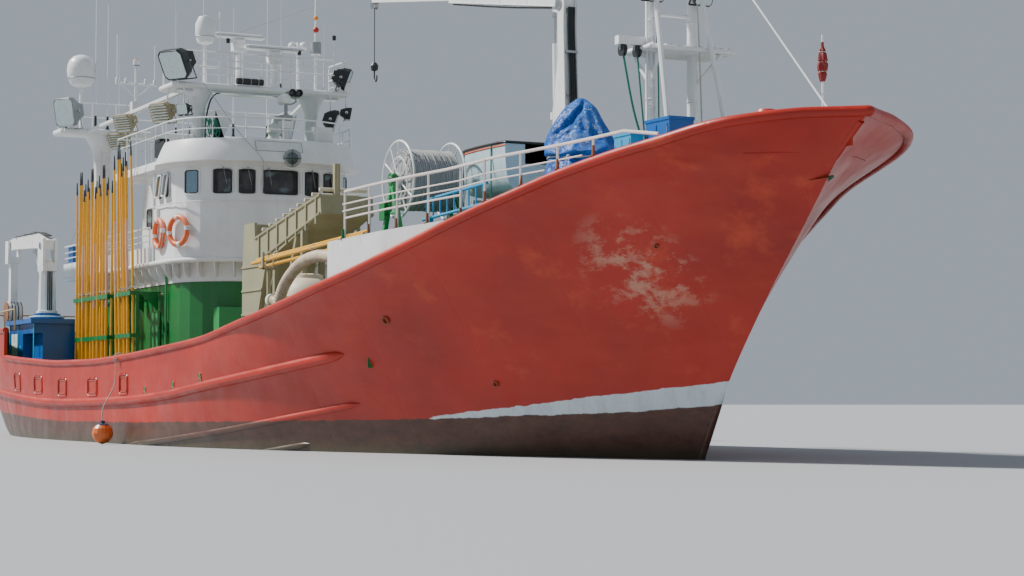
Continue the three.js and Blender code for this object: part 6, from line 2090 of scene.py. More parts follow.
def racks():
    """Two rows of poles in each rack, with the rack's bars, trough, posts and lashing."""
    for number, (name, x0, x1, count, top, lean) in enumerate(POLE_RACKS):
        shape = Shape()
        foot = along(MAIN_DECK, x0) + 0.15
        for i in range(count):
            for row in range(2):
                x = x0 + (x1 - x0) * (i + 0.5 * row) / (count - 0.5)
                high = top + 0.26 * math.sin(i * 2.1 + row * 1.3)
                y = RACK_Y - 0.045 + row * 0.08
                fishing_pole(shape, (x, y, foot), (x - lean, y, high), i * 2 + row + number * 40)
        y0, y1 = -0.09, 0.13
        for z in (RACK_Z, RACK_Z - 0.95):
            for dy in (y0, y1 - 0.02):
                shape.box(
                    (x0 - 0.08, RACK_Y + dy, z - 0.05), (x1 + 0.08, RACK_Y + dy + 0.02, z + 0.05), "green",
                )
            for i in range(count + 1):
                x = x0 - 0.06 + (x1 - x0 + 0.12) * i / count
                shape.box((x - 0.006, RACK_Y + y0, z - 0.045), (x + 0.006, RACK_Y + y1, z + 0.045), "green")
        shape.box((x0 - 0.08, RACK_Y - 0.15, foot - 0.06), (x1 + 0.08, RACK_Y + 0.15, foot - 0.02), "green")
        shape.box((x0 - 0.08, RACK_Y - 0.15, foot - 0.02), (x1 + 0.08, RACK_Y - 0.13, foot + 0.07), "green")
        for x in (x0 - 0.04, x1 + 0.04):
            low = along(MAIN_DECK, x) + 0.006
            shape.box((x - 0.035, RACK_Y + 0.05, low), (x + 0.035, RACK_Y + 0.12, RACK_Z + 0.05), "green")
            shape.box((x - 0.025, RACK_Y + 0.1, RACK_Z - 0.035), (x + 0.025, -1.86, RACK_Z + 0.035), "green")
            shape.prism(
                [
                    (x - 0.008, -1.9, RACK_Z - 0.03),
                    (x - 0.008, -2.3, RACK_Z - 0.03), (x - 0.008, -1.9, RACK_Z - 0.4),
                ], (0.016, 0, 0), "green",
            )
        line = []
        for k in range(2 * count * 4 + 1):
            t = k / (2 * count * 4)
            line.append((
                x0 - 0.03 + (x1 - x0 + 0.06) * t, RACK_Y + 0.02 + 0.09 * math.cos(k * math.pi / 2),
                RACK_Z + 0.12 + 0.02 * math.sin(k * 0.7),
            ))
        shape.tube(line, 0.012, "rope_white", 6)
        shape.finish(name + "_rack", replaces=(name,), slot="pole_yellow")


def deck_poles():
    """Three spare poles on two posts beside the chute, lashed down."""
    shape = Shape()
    for number, (dy, dz) in enumerate(((0, 0), (-0.09, -0.06), (0.06, -0.13))):
        a, b = Vector((2.25, -3.05 + dy, 3.45 + dz)), Vector((7.48, -3.05 + dy, 3.64 + dz))
        shape.tube([a + (b - a) * k / 8 for k in range(9)], 0.036, "yellow", 12, 0.024)
        for s in (0.1, 0.16, 0.55, 0.8, 0.84):
            p = a + (b - a) * (s + 0.01 * number)
            shape.tube([p, p + (b - a) * 0.006], 0.038, "silver", 10)
    for x in (2.9, 6.5):
        z = along(MAIN_DECK, x) + 0.02
        shape.box((x - 0.03, -3.2, 3.25), (x + 0.03, -3.16, 3.56), "olive")
        shape.box((x - 0.03, -3.2, 3.24), (x + 0.03, -2.94, 3.28), "olive")
        shape.box((x - 0.03, -2.97, 3.25), (x + 0.03, -2.93, 3.56), "olive")
        shape.box((x - 0.03, -3.1, z), (x + 0.03, -3.04, 3.26), "olive")
        coil = []
        for k in range(49):
            t = k / 48 * 6 * math.pi
            coil.append((x + 0.06 * (k / 48 - 0.5), -3.06 + 0.14 * math.cos(t), 3.42 + 0.13 * math.sin(t)))
        shape.tube(coil, 0.01, "rope_white", 6)
    shape.finish("deck_poles_lashed", replaces=("deck_poles",), slot="pole_yellow", bevel=0.004)


racks()
deck_poles()

# Foremast and its rigging

MAST_X = 12.0
MAST_POST = 0.366


def foremast():
    """Platform grating, ladder, lamps, sheaves and cross bars of the foremast."""
    shape = Shape()
    for side in (1, -1):
        y = side * MAST_POST
        for z in (4.6, 5.4, 6.6, 7.6, 8.5):
            shape.ring((MAST_X, y, z), 0.084, 0.01, "white", (0, 0, 1), 24, 6)
        shape.turned((MAST_X, y, 8.9), [(0.078, 0), (0.085, 0.02), (0.06, 0.05), (0.001, 0.06)], "white", 20)
        shape.turned(
            (MAST_X, y, along(FORE_DECK, MAST_X) + 0.012),
            [(0.18, 0), (0.18, 0.03), (0.1, 0.07), (0.087, 0.2)], "white_worn", 20,
        )
    feet = [(MAST_X + 0.1, y - MAST_POST, 3.75) for y in (-0.12, 0.02)]
    ladder(shape, feet, 8.6, [3.95 + 0.27 * k for k in range(17)], 0.014, 0.01, 8)
    x0, x1, y0, y1, z = MAST_X - 0.45, MAST_X + 0.33, -0.56, 0.9, 6.12
    edge = [
        (x0, y0, z + 0.035), (x1, y0, z + 0.035), (x1, y1, z + 0.035),
        (x0, y1, z + 0.035), (x0, y0, z + 0.035),
    ]
    shape.bars(edge, 0.036, "white", 10)
    for k in range(12):
        y = y0 + 0.06 + (y1 - y0 - 0.12) * k / 11
        shape.box((x0 + 0.02, y - 0.008, z + 0.07), (x1 - 0.02, y + 0.008, z + 0.1), "white_worn")
    for k in range(7):
        x = x0 + 0.06 + (x1 - x0 - 0.12) * k / 6
        shape.box((x - 0.008, y0 + 0.02, z - 0.02), (x + 0.008, y1 - 0.02, z), "white_worn")
    for a, b in (
        ((x0, -0.4, z), (MAST_X, -MAST_POST, 5.6)),
        ((x1, -0.4, z), (MAST_X, -MAST_POST, 5.6)), ((x1, 0.7, z), (MAST_X, MAST_POST, 5.6)),
    ):
        shape.tube([a, b], 0.03, "white", 8)
    for z in (6.7, 7.05, 8.1):
        shape.tube([(MAST_X, -MAST_POST, z), (MAST_X, MAST_POST, z)], 0.03, "white", 10)
    shape.box((MAST_X - 0.075, -0.565, 8.645), (MAST_X + 0.075, 0.565, 8.66), "white_worn")
    rows = [
        # lamp centre, size
        ((MAST_X + 0.2, -0.42, 7.0), 0.3), ((MAST_X + 0.2, 0.42, 7.0), 0.3),
    ]
    for centre, size in rows:
        floodlight(shape, centre, size, size * 0.8, 0, 25, "black")
    for z in (7.45, 8.3):
        shape.tube([(MAST_X + 0.08, 0, z), (MAST_X + 0.2, 0, z)], 0.02, "white", 8)
        shape.turned(
            (MAST_X + 0.22, 0, z - 0.02),
            [
                (0.001, 0), (0.06, 0), (0.06, 0.04), (0.05, 0.05),
                (0.05, 0.15), (0.06, 0.16), (0.05, 0.19), (0.001, 0.2),
            ], "black", 20,
        )
    shape.tube([(MAST_X + 0.08, -MAST_POST, 7.43), (MAST_X + 0.08, MAST_POST, 7.43)], 0.02, "white", 8)
    shape.tube([(MAST_X + 0.08, -MAST_POST, 8.28), (MAST_X + 0.08, MAST_POST, 8.28)], 0.02, "white", 8)
    for y in (-0.85, -0.6):
        shape.turned(
            (MAST_X, y - 0.03, 6.12),
            [(0.001, 0), (0.1, 0), (0.08, 0.03), (0.1, 0.06), (0.001, 0.06)], "black", 20, (0, 1, 0),
        )
        shape.box((MAST_X - 0.02, y - 0.05, 6.12), (MAST_X + 0.02, y + 0.05, 6.22), "steel")
    shape.finish("foremast_fittings", slot="white_paint", bevel=0.003)


def running_rigging():
    """Green and white lines down the foremast with their coils, and the forestay with its ends."""
    shape = Shape()
    lines = [
        # points, radius, material
        (
            [(12.0, -0.85, 6.1), (12.15, -0.75, 5.2), (12.3, -0.62, 4.5), (12.35, -0.56, 4.05)],
            0.018, "rope_green",
        ),
        ([(12.0, -0.6, 6.1), (12.1, -0.55, 5.0), (12.2, -0.5, 4.05)], 0.014, "rope_green"),
        ([(12.1, 0.3, 8.3), (12.25, 0.32, 6.6), (12.3, 0.36, 4.6), (12.25, 0.4, 4.0)], 0.012, "rope_white"),
        ([(12.0, -0.28, 7.05), (12.12, -0.3, 5.6), (12.15, -0.32, 4.2)], 0.012, "rope_green"),
    ]
    for points, radius, material in lines:
        shape.tube(smooth_line(points, 6), radius, material, 6)
    for x, y, z in ((12.35, -0.56, 4.1), (12.2, -0.5, 4.12), (12.25, 0.4, 4.05)):
        for k in range(9):
            shape.ring(
                (x, y, z + 0.012 * k - 0.1), 0.05 + 0.006 * math.sin(k * 2),
                0.012, "rope_green", (0.1, 0.1, 1), 16, 6,
            )
    shape.box((12.12, -0.75, 3.62), (12.4, -0.3, 3.7), "white_worn")
    shape.finish("mast_lines", slot="rope")
    stay = Shape()
    a, b = Vector((12.08, 0, 8.7)), Vector((16.48, 0, 4.425))
    stay.tube([a + (b - a) * k / 12 for k in range(13)], 0.0145, "white_worn", 8)
    for s in (0.015, 0.95):
        p = a + (b - a) * s
        stay.tube([p, p + (b - a) * 0.035], 0.026, "silver", 10)
    stay.finish("forestay_wire", replaces=("forestay",), slot="steel")


def blue_cabinets():
    """Lids, doors, handles and hinges of the two cabinets."""
    rows = [
        # node, paint, slot
        ("tall_cabinet", "blue", "blue_paint"), ("low_cabinet", "blue_light", "blue_paint"),
    ]
    for name, paint, slot in rows:
        (x0, y0, z0), (x1, y1, z1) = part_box(name)
        shape = Shape()
        shape.box((x0 + 0.012, y0 + 0.012, z0), (x1 - 0.012, y1 - 0.012, z1 - 0.03), paint)
        shape.box((x0, y0, z1 - 0.05), (x1, y1, z1), paint)
        for y, side in ((y0 + 0.012, -1), (y1 - 0.012, 1)):
            for a, b in ((0.08, 0.48), (0.52, 0.92)):
                u0, u1 = x0 + (x1 - x0) * a, x0 + (x1 - x0) * b
                shape.box(
                    (u0, min(y, y + side * 0.01), z0 + 0.12), (u1, max(y, y + side * 0.01), z1 - 0.1), paint,
                )
        for x in (x0 + (x1 - x0) * 0.46, x0 + (x1 - x0) * 0.54):
            shape.tube([(x, y0, z1 - 0.45), (x, y0, z1 - 0.3)], 0.01, "silver", 8)
        for z in (z0 + 0.2, z1 - 0.25):
            for x in (x0 + 0.06, x1 - 0.06):
                shape.tube([(x, y0 + 0.004, z), (x, y0 + 0.004, z + 0.1)], 0.01, "silver", 8)
        shape.box((x0 + 0.02, y0 + 0.02, z0), (x1 - 0.02, y1 - 0.02, z0 + 0.05), "rusty")
        shape.finish(name + "_doors", replaces=(name,), slot=slot, bevel=0.01)


def bolts(shape, centre, radius, count, profile, material):
    """Small turned heads round an upright axis."""
    x, y, z = centre
    for t in circle(count):
        shape.turned((x + radius * math.cos(t), y + radius * math.sin(t), z), profile, material, 6)


FORE_CRANE_X = 8.6
FORE_BOOM_PIN_Z = 4.75
FORE_KNUCKLE_Z = 7.42


def fore_crane():
    """Flanges, bolts, hoses, rounded box edges and pins of the forward crane."""
    dress("fore_crane_base", "white_worn")
    dress("fore_crane_column", "white_worn")
    dress("fore_crane_boom", "white_worn")
    dress("fore_crane_jib", "white")
    dress("fore_crane_hook", "black")
    dress("fore_crane_barrel", "white_worn")
    dress("fore_crane_rod", "silver")
    base = Shape()
    bolts(base, (FORE_CRANE_X, 0, 3.565), 0.39, 16, [(0.022, 0), (0.022, 0.025), (0.001, 0.03)], "rusty")
    bolts(base, (FORE_CRANE_X, 0, 4.06), 0.325, 16, [(0.018, -0.02), (0.018, 0.03), (0.001, 0.032)], "steel")
    for k in range(8):
        t = 2 * math.pi * (k + 0.5) / 8
        out = Vector((math.cos(t), math.sin(t), 0))
        side = Vector((-out.y, out.x, 0)) * 0.008
        c = Vector((FORE_CRANE_X, 0, 0))
        tri = [
            c + out * reach + Vector((0, 0, z)) for reach, z in ((0.285, 3.57), (0.4, 3.57), (0.285, 3.85))
        ]
        base.prism([p - side for p in tri], side * 2, "white_worn")
    base.finish("fore_crane_base_trim", slot="white_paint")
    column = Shape()
    column.turned(
        (FORE_CRANE_X, 0, 4.2), [(0.272, 0), (0.285, 0.01), (0.285, 0.05), (0.272, 0.06)], "white_worn", 32,
    )
    for y, side in ((0.21, 1), (-0.21, -1)):
        column.turned(
            (FORE_CRANE_X, y, FORE_BOOM_PIN_Z),
            [(0.001, 0.03), (0.075, 0.03), (0.085, 0.0)], "steel", 20, (0, side, 0),
        )
        for t in circle(6):
            place = (FORE_CRANE_X + 0.12 * math.cos(t), y, FORE_BOOM_PIN_Z + 0.12 * math.sin(t))
            column.turned(place, [(0.001, 0.015), (0.014, 0.014), (0.014, 0.0)], "rusty", 6, (0, side, 0))
    column.finish("fore_crane_column_trim", body="fore_crane_column", slot="white_paint")
    boom = Shape()
    edges = [
        (8.47, 4.6), (8.37, 4.95), (8.37, 5.65), (8.54, 6.52), (8.54, 7.5),
        (8.77, 7.5), (8.75, 7.02), (8.815, 5.45), (8.75, 4.6), (8.47, 4.6),
    ]
    for side in (1, -1):
        boom.bars([Vector((x, side * 0.118, z)) for x, z in edges], 0.012, "white_worn", 6)
        boom.turned(
            (FORE_CRANE_X, side * 0.125, FORE_KNUCKLE_Z),
            [(0.1, -0.01), (0.1, 0.018), (0.05, 0.03), (0.001, 0.03)], "steel", 24, (0, side, 0),
        )
    for k in range(4):
        path = [
            (8.82 - 0.03 * k, -0.06 + 0.04 * k, 4.75), (8.86, -0.06 + 0.04 * k, 5.3),
            (8.84, -0.05 + 0.035 * k, 6.2), (8.79, -0.05 + 0.035 * k, 7.0), (8.8, -0.05 + 0.035 * k, 7.35),
        ]
        boom.tube(smooth_line(path, 6), 0.017, "black", 8)
    for z in (5.2, 5.9, 6.6):
        x = 8.81 + 0.02 * math.sin(z) - 0.012 * (z - 5.2)
        boom.box((x - 0.06, -0.1, z - 0.02), (x + 0.055, 0.1, z + 0.02), "steel")
    boom.finish("fore_crane_boom_trim", body="fore_crane_boom", slot="white_paint")
    jib = Shape()
    root_a, root_b = Vector((8.45, 0, 7.56)), Vector((4.3, 0, 8.29))
    run = (root_b - root_a).normalized()
    up = Vector((-run.z, 0, run.x)) * -1
    for side in (1, -1):
        for v in (0.145, -0.145):
            corner = up * v + Vector((0, side * 0.11, 0))
            jib.tube([root_a + corner, root_b + corner], 0.012, "white", 6)
    for s in (0.25, 0.5, 0.75):
        p = root_a + (root_b - root_a) * s
        corners = ((0.155, 0.12), (0.155, -0.12), (-0.155, -0.12), (-0.155, 0.12))
        ring = [p + up * v + Vector((0, y, 0)) for v, y in corners]
        jib.prism([q - run * 0.02 for q in ring], run * 0.04, "white_worn")
    for k in range(3):
        path = []
        for s, sag in ((0.0, 0.17), (0.5, 0.19), (1.0, 0.17)):
            path.append(root_a + (root_b - root_a) * s - up * sag + Vector((0, -0.02 + 0.03 * k, 0)))
        jib.tube(smooth_line(path, 6), 0.014, "black", 8)
    jib.turned(
        (0.56, -0.05, 8.72), [(0.001, 0), (0.1, 0), (0.075, 0.05), (0.1, 0.1), (0.001, 0.1)],
        "steel", 24, (0, 1, 0),
    )
    jib.turned(
        (FORE_CRANE_X, -0.082, FORE_KNUCKLE_Z),
        [(0.001, -0.004), (0.09, -0.004), (0.09, 0.002)], "steel", 24, (0, -1, 0),
    )
    jib.finish("fore_crane_jib_trim", body="fore_crane_jib", slot="white_paint")


def fore_rails():
    """Two lower rails between the posts, aft of where the rim takes over."""
    shape = Shape()
    for side in (1, -1):
        for drop in (0.21, 0.32):
            points = []
            for k in range(41):
                x = 7.9 + 6.0 * k / 40
                inset = 0.19 if x <= WEDGE_END_X else 0.02
                if WEDGE_END_X - 0.36 < x < WEDGE_END_X + 0.36:
                    inset = 0.19 - 0.17 * (x - WEDGE_END_X + 0.36) / 0.72
                z = 4.22 + (x - 7.95) * 0.055 - drop
                if z < rim_height(x) + 0.14:
                    break
                points.append(Vector((x, side * (RIM.breadth(x) - inset), z)))
            shape.tube(points, 0.012, "rail_paint", 6)
        for x in [7.9 + 6.5 * i / 9 for i in range(9)]:
            inset = 0.19 if x <= WEDGE_END_X else 0.02
            foot = along(FORE_DECK, x) if x <= WEDGE_END_X else rim_height(x) + 0.07
            y = side * (RIM.breadth(x) - inset)
            paint = "green" if x < 8.5 else "rusty"
            shape.tube([(x, y, foot), (x, y, foot + 0.16)], 0.027, paint, 8, 0.023)
            shape.turned((x, y, foot), [(0.055, 0), (0.055, 0.012), (0.001, 0.014)], "rusty", 14)
    shape.finish("fore_rail_bars", slot="white_paint")
    dress("fore_rail_starboard", "rail_paint")
    dress("fore_rail_port", "rail_paint")


REEL_X, REEL_Z = 8.45, 4.39
REEL_Y0, REEL_Y1 = -2.95, -2.05


def rope_reel():
    """Grey rope wound in layers between two spoked flange rings, on a turned shaft."""
    shape = Shape()
    shape.tube([(REEL_X, REEL_Y0 - 0.17, REEL_Z), (REEL_X, REEL_Y1 + 0.17, REEL_Z)], 0.04, "steel", 20)
    for y in (REEL_Y0, REEL_Y1):
        shape.ring((REEL_X, y, REEL_Z), 0.62, 0.019, "white_worn", (0, 1, 0), 64, 10)
        shape.ring((REEL_X, y, REEL_Z), 0.36, 0.012, "white_worn", (0, 1, 0), 48, 8)
        for i in range(12):
            t = math.pi * i / 6
            hub = Vector((REEL_X + 0.1 * math.cos(t), y, REEL_Z + 0.1 * math.sin(t)))
            shape.tube(
                [hub, (REEL_X + 0.615 * math.cos(t), y, REEL_Z + 0.615 * math.sin(t))],
                0.012, "white_worn", 6,
            )
        shape.turned(
            (REEL_X, y - 0.04, REEL_Z), [(0.042, 0), (0.11, 0.0), (0.11, 0.08), (0.042, 0.08)],
            "white_worn", 24, (0, 1, 0),
        )
    width = REEL_Y1 - REEL_Y0 - 0.09
    turns = 23
    for layer, radius in ((0, 0.44), (1, 0.475)):
        points = []
        steps = turns * 28
        for k in range(steps + 1):
            t = 2 * math.pi * k / 28
            wave = 0.006 * math.sin(t * 0.37 + layer) + 0.003 * math.sin(t * 2.1)
            y = REEL_Y0 + 0.045 + width * k / steps
            if layer:
                y = REEL_Y1 - 0.045 - width * k / steps
            points.append((REEL_X + (radius + wave) * math.cos(t), y, REEL_Z + (radius + wave) * math.sin(t)))
        shape.tube(points, 0.02, "rope_grey", 6)
    shape.turned(
        (REEL_X, REEL_Y0 + 0.045, REEL_Z),
        [(0.05, 0), (0.445, 0), (0.445, width), (0.05, width)], "rope_grey", 48, (0, 1, 0),
    )
    shape.finish("rope_reel_winding", body="rope_reel_drum", replaces=("rope_reel_drum",), slot="rope")
    dress("rope_reel_stand", "green_light")
    stand = Shape()
    for y in (REEL_Y0 - 0.1, REEL_Y1 + 0.1):
        stand.turned(
            (REEL_X, y, REEL_Z), [(0.05, -0.05), (0.1, -0.05), (0.1, 0.05), (0.05, 0.05)],
            "green", 20, (0, 1, 0),
        )
        stand.tube([(REEL_X - 0.22, y, 3.85), (REEL_X + 0.22, y, 3.85)], 0.022, "green_light", 8)
        for x in (-0.33, 0.33):
            stand.turned((REEL_X + x, y, 3.575), [(0.02, 0), (0.02, 0.02), (0.001, 0.025)], "rusty", 6)
    stand.box((REEL_X - 0.34, REEL_Y0 - 0.19, 3.75), (REEL_X - 0.12, REEL_Y0 - 0.14, 4.05), "green")
    stand.finish("rope_reel_stand_trim", slot="green_paint", bevel=0.006)


SKIFF_X0, SKIFF_X1 = 7.85, 9.9
SKIFF_Y0, SKIFF_Y1 = -1.82, -0.62
SKIFF_LOW, SKIFF_HIGH = 4.13, 4.93


def skiff():
    """A round-bilged work boat with gunwale, rubbing strip, thwarts, a motor pad and lashings."""
    middle = (SKIFF_Y0 + SKIFF_Y1) / 2

    def section(s, inset=0.0, floor=0.0):
        narrow = monotone([0, 0.15, 0.35, 0.7, 1], [0.5, 0.78, 0.95, 1.0, 0.94], s)
        half = ((SKIFF_Y1 - SKIFF_Y0) / 2 - 0.012 - inset) * narrow
        lift = 0.12 * (1 - min(1, s / 0.4)) ** 2 + floor
        x = SKIFF_X0 + inset + (SKIFF_X1 - SKIFF_X0 - 2 * inset) * s
        high = SKIFF_HIGH - 0.02
        pts = []
        for k in range(17):
            t = -math.pi / 2 + math.pi * k / 16
            y = half * math.copysign(abs(math.sin(t)) ** 0.55, math.sin(t))
            z = SKIFF_LOW + 0.01 + lift + (high - SKIFF_LOW - lift) * (1 - math.cos(t) ** 0.9) ** 1.6
            pts.append(Vector((x, middle + y, min(high, z))))
        return pts

    shape = Shape()
    outer = [section(k / 16) for k in range(17)]
    inner = [section(k / 16, 0.035, 0.035) for k in range(17)]
    shape.sheet(outer, "pale")
    shape.sheet(inner, "white_worn")
    for rings, paint in ((outer, "pale"), (inner, "white_worn")):
        for ring in (rings[0], rings[-1]):
            shape.sheet([ring, [Vector((p.x, middle, p.z)) for p in ring]], paint, smooth=False)
    rail = [ring[0] for ring in outer] + [ring[-1] for ring in reversed(outer)]
    rail.append(rail[0])
    shape.tube(rail, 0.024, "black", 10)
    for end in (0, 16):
        shape.tube([ring[end] - Vector((0, 0, 0.05)) for ring in outer], 0.012, "orange", 8)
    for s in (0.3, 0.6):
        x = SKIFF_X0 + (SKIFF_X1 - SKIFF_X0) * s
        shape.box(
            (x - 0.12, SKIFF_Y0 + 0.09, SKIFF_HIGH - 0.2),
            (x + 0.12, SKIFF_Y1 - 0.09, SKIFF_HIGH - 0.17), "planks",
        )
    for s in (0.12, 0.5, 0.88):
        for end in (0, 16):
            p = outer[int(s * 16)][end]
            shape.box((p.x - 0.03, p.y - 0.02, p.z), (p.x + 0.03, p.y + 0.02, p.z + 0.025), "rusty")
    shape.box(
        (SKIFF_X1 - 0.05, middle - 0.2, SKIFF_HIGH - 0.35),
        (SKIFF_X1, middle + 0.2, SKIFF_HIGH - 0.01), "planks",
    )
    bmesh.ops.remove_doubles(shape.mesh, verts=shape.mesh.verts, dist=1e-5)
    shape.finish("skiff_boat", replaces=("skiff",), slot="pale_paint", angle=50)
    straps = Shape()
    for s in (0.25, 0.8):
        ring = section(s)
        over = [Vector((p.x, middle + (p.y - middle) * 1.02, p.z)) for p in (ring[0], ring[-1])]
        path = [
            Vector((over[0].x, over[0].y, 3.75)), over[0], Vector((over[0].x, middle, SKIFF_HIGH + 0.01)),
            over[1], Vector((over[1].x, over[1].y, 3.75)),
        ]
        for a, b in zip(path, path[1:]):
            straps.tube([a, b], 0.012, "rope_green", 6)
    straps.finish("skiff_lashings", slot="rope")


def side_ladder():
    """A light-blue boarding ladder that lies along the rail beside the skiff."""
    shape = Shape()
    x0, x1, y, z0 = 8.9, 11.9, -2.72, 3.72
    for z in (z0, z0 + 0.3):
        a, b = Vector((x0, y, z)), Vector((x1 - 1.0, y + 0.15, z + 0.12))
        shape.tube([a, b], 0.025, "blue_light", 10)
    for k in range(9):
        s = (k + 0.5) / 9
        x = x0 + (x1 - 1.0 - x0) * s
        shape.tube(
            [(x, y + 0.15 * s, z0 + 0.12 * s), (x, y + 0.15 * s, z0 + 0.3 + 0.12 * s)],
            0.015, "blue_light", 8,
        )
    shape.box((x0 + 0.2, y - 0.02, 3.5), (x0 + 0.26, y + 0.06, z0 + 0.02), "blue_light")
    shape.box((x1 - 1.3, y + 0.1, 3.55), (x1 - 1.24, y + 0.18, z0 + 0.1), "blue_light")
    shape.finish("side_ladder", slot="blue_paint")


def foredeck_gear():
    """Three vents, a windlass and coiled ropes on the forecastle."""
    shape = Shape()
    for x, y in ((9.6, 1.9), (10.6, -0.4), (13.3, 0.9)):
        z = along(FORE_DECK, x) + 0.02
        shape.turned(
            (x, y, z),
            [
                (0.16, 0), (0.16, 0.02), (0.09, 0.04), (0.09, 0.32),
                (0.2, 0.36), (0.2, 0.44), (0.12, 0.5), (0.001, 0.52),
            ], "white_worn", 24,
        )
    z = along(FORE_DECK, 13.6) + 0.02
    shape.box((13.45, -0.45, z), (13.95, 0.45, z + 0.08), "green")
    for y in (-0.38, 0.32):
        shape.box((13.55, y, z + 0.08), (13.85, y + 0.06, z + 0.42), "green")
    shape.tube([(13.7, -0.62, z + 0.32), (13.7, 0.62, z + 0.32)], 0.04, "steel", 16)
    for y, side in ((-0.5, -1), (0.5, 1)):
        shape.turned(
            (13.7, y, z + 0.32),
            [
                (0.14, -0.06 * side), (0.09, -0.02 * side),
                (0.08, 0.06 * side), (0.13, 0.11 * side), (0.001, 0.12 * side),
            ], "green", 24, (0, 1, 0),
        )
    shape.turned(
        (13.7, -0.25, z + 0.32), [(0.2, 0), (0.13, 0.03), (0.13, 0.42), (0.2, 0.45)], "rusty", 28, (0, 1, 0),
    )
    shape.finish("foredeck_gear", slot="green_paint", bevel=0.008)
    coils = Shape()
    for x, y, n, r in ((10.2, 1.6, 7, 0.34), (12.9, 1.25, 5, 0.24), (9.5, 0.9, 5, 0.3)):
        z = along(FORE_DECK, x) + 0.05
        for k in range(n):
            coils.ring(
                (x + 0.01 * math.sin(k * 2), y + 0.01 * math.cos(k * 3), z + 0.045 * k),
                r + 0.012 * math.sin(k * 2.6), 0.024, "rope_green" if x > 10 else "rope_grey",
                (0.02 * math.sin(k), 0.02, 1), 36, 8,
            )
    coils.finish("hawser_coils", slot="rope")


STAFF_X, STAFF_Y = 15.8, 0.12
STAFF_LOW, STAFF_TOP = 4.2415, 5.84
FLAG_LOW, FLAG_HEIGHT = 5.21, 0.54


def jackstaff():
    """The staff at the stem with a dark flag furled and tied round it."""
    shape = Shape()
    shape.tube([(STAFF_X, STAFF_Y, STAFF_LOW), (STAFF_X, STAFF_Y, STAFF_TOP)], 0.021, "white_worn", 10, 0.013)
    shape.turned(
        (STAFF_X, STAFF_Y, STAFF_LOW), [(0.06, 0), (0.06, 0.015), (0.028, 0.03), (0.026, 0.16)], "steel", 18,
    )
    rings = []
    for k in range(29):
        s = k / 28
        z = FLAG_LOW + FLAG_HEIGHT * s
        r = 0.02 + 0.052 * math.sin(math.pi * min(1, s * 1.12 + 0.03)) ** 0.6
        if k in (7, 14, 21):
            r *= 0.72
        ring = []
        for t in circle(28):
            fold = 1 + 0.14 * math.sin(5 * t + s * 5) + 0.05 * math.sin(11 * t - s * 9)
            ring.append(Vector((
                STAFF_X + r * fold * math.cos(t) * 0.92, STAFF_Y + r * fold * math.sin(t) * 0.92, z,
            )))
        rings.append(ring)
    shape.faces(rings, "red_dark")
    for k in (7, 14, 21):
        shape.ring(
            (STAFF_X, STAFF_Y, FLAG_LOW + FLAG_HEIGHT * k / 28), 0.046, 0.006, "rope_white", (0, 0, 1), 20, 6,
        )
    shape.ball((STAFF_X, STAFF_Y, STAFF_TOP), 0.012, "white", 6)
    shape.finish("jackstaff_flag", replaces=("jackstaff",), slot="dark_steel")


dress("foremast", "white")
foremast()
running_rigging()
blue_cabinets()
fore_crane()
fore_rails()
rope_reel()
skiff()
side_ladder()
foredeck_gear()
jackstaff()

# The blue cover over the deck winch, let fall as cloth

TARP_X, TARP_Y = 11.75, -1.45
TARP_FOOT = along(FORE_DECK, TARP_X) + 0.02
TARP_HEIGHT = 1.74
TARP_FORM = [
    # height share, half length, half width, shift forward, spare cloth
    (0.0, 0.76, 0.6, 0.0, 1.04), (0.25, 0.75, 0.59, 0.0, 1.06),
    (0.42, 0.68, 0.53, -0.01, 1.16), (0.48, 0.61, 0.47, -0.02, 1.22),
    (0.55, 0.67, 0.52, -0.02, 1.2), (0.68, 0.6, 0.47, -0.03, 1.16), (0.8, 0.46, 0.37, -0.01, 1.16),
    (0.9, 0.32, 0.27, 0.02, 1.22), (0.96, 0.22, 0.19, 0.04, 1.3), (1.0, 0.06, 0.05, 0.05, 1.3),
]
TIE_SHARE = 0.48
TARP_ROWS = 44
TARP_FRAMES = 34


def tarp_form(share, turn, loose):
    """A point of the cover: as tied, or with its spare cloth let out."""
    shares = [row[0] for row in TARP_FORM]
    length, width, shift, spare = (
        monotone(shares, [row[k] for row in TARP_FORM], share) for k in (1, 2, 3, 4)
    )
    place = Vector((1.7 * math.cos(turn), 1.7 * math.sin(turn), 1.6 * share + 4.0))
    fine = Vector((4.4 * math.cos(turn), 4.4 * math.sin(turn), 3.1 * share))
    fold = 1 + (0.2 * noise.noise(place) + 0.11 * noise.noise(fine)) * min(1, 2.5 * (1.04 - share))
    grow = fold * (spare if loose else 1.0)
    high = TARP_FOOT + TARP_HEIGHT * (share - 0.09 * share * (1 - share) * math.cos(turn + 0.5))
    return Vector((
        TARP_X + shift + length * grow * math.cos(turn), TARP_Y + width * grow * math.sin(turn), high,
    ))


def tarp_grid(loose, columns=96):
    """Rows of the cover's points from the hem up."""
    made = []
    for k in range(TARP_ROWS + 1):
        made.append([tarp_form(k / TARP_ROWS, turn, loose) for turn in circle(columns)])
    return made


def covered_winch():
    """What the cover lies on: a solid a little inside the tied cover's form."""
    shape = Shape()
    rows = []
    for k in range(13):
        share = k / 12
        ring = [tarp_form(share, turn, False) for turn in circle(28)]
        middle = Vector((TARP_X, TARP_Y, 0))
        rows.append([
            Vector((
                middle.x + (p.x - middle.x) * 0.88,
                middle.y + (p.y - middle.y) * 0.88, p.z * 0.985 + TARP_FOOT * 0.012,
            )) for p in ring
        ])
    shape.faces(rows, "steel")
    return shape.finish("covered_winch", slot="dark_steel")


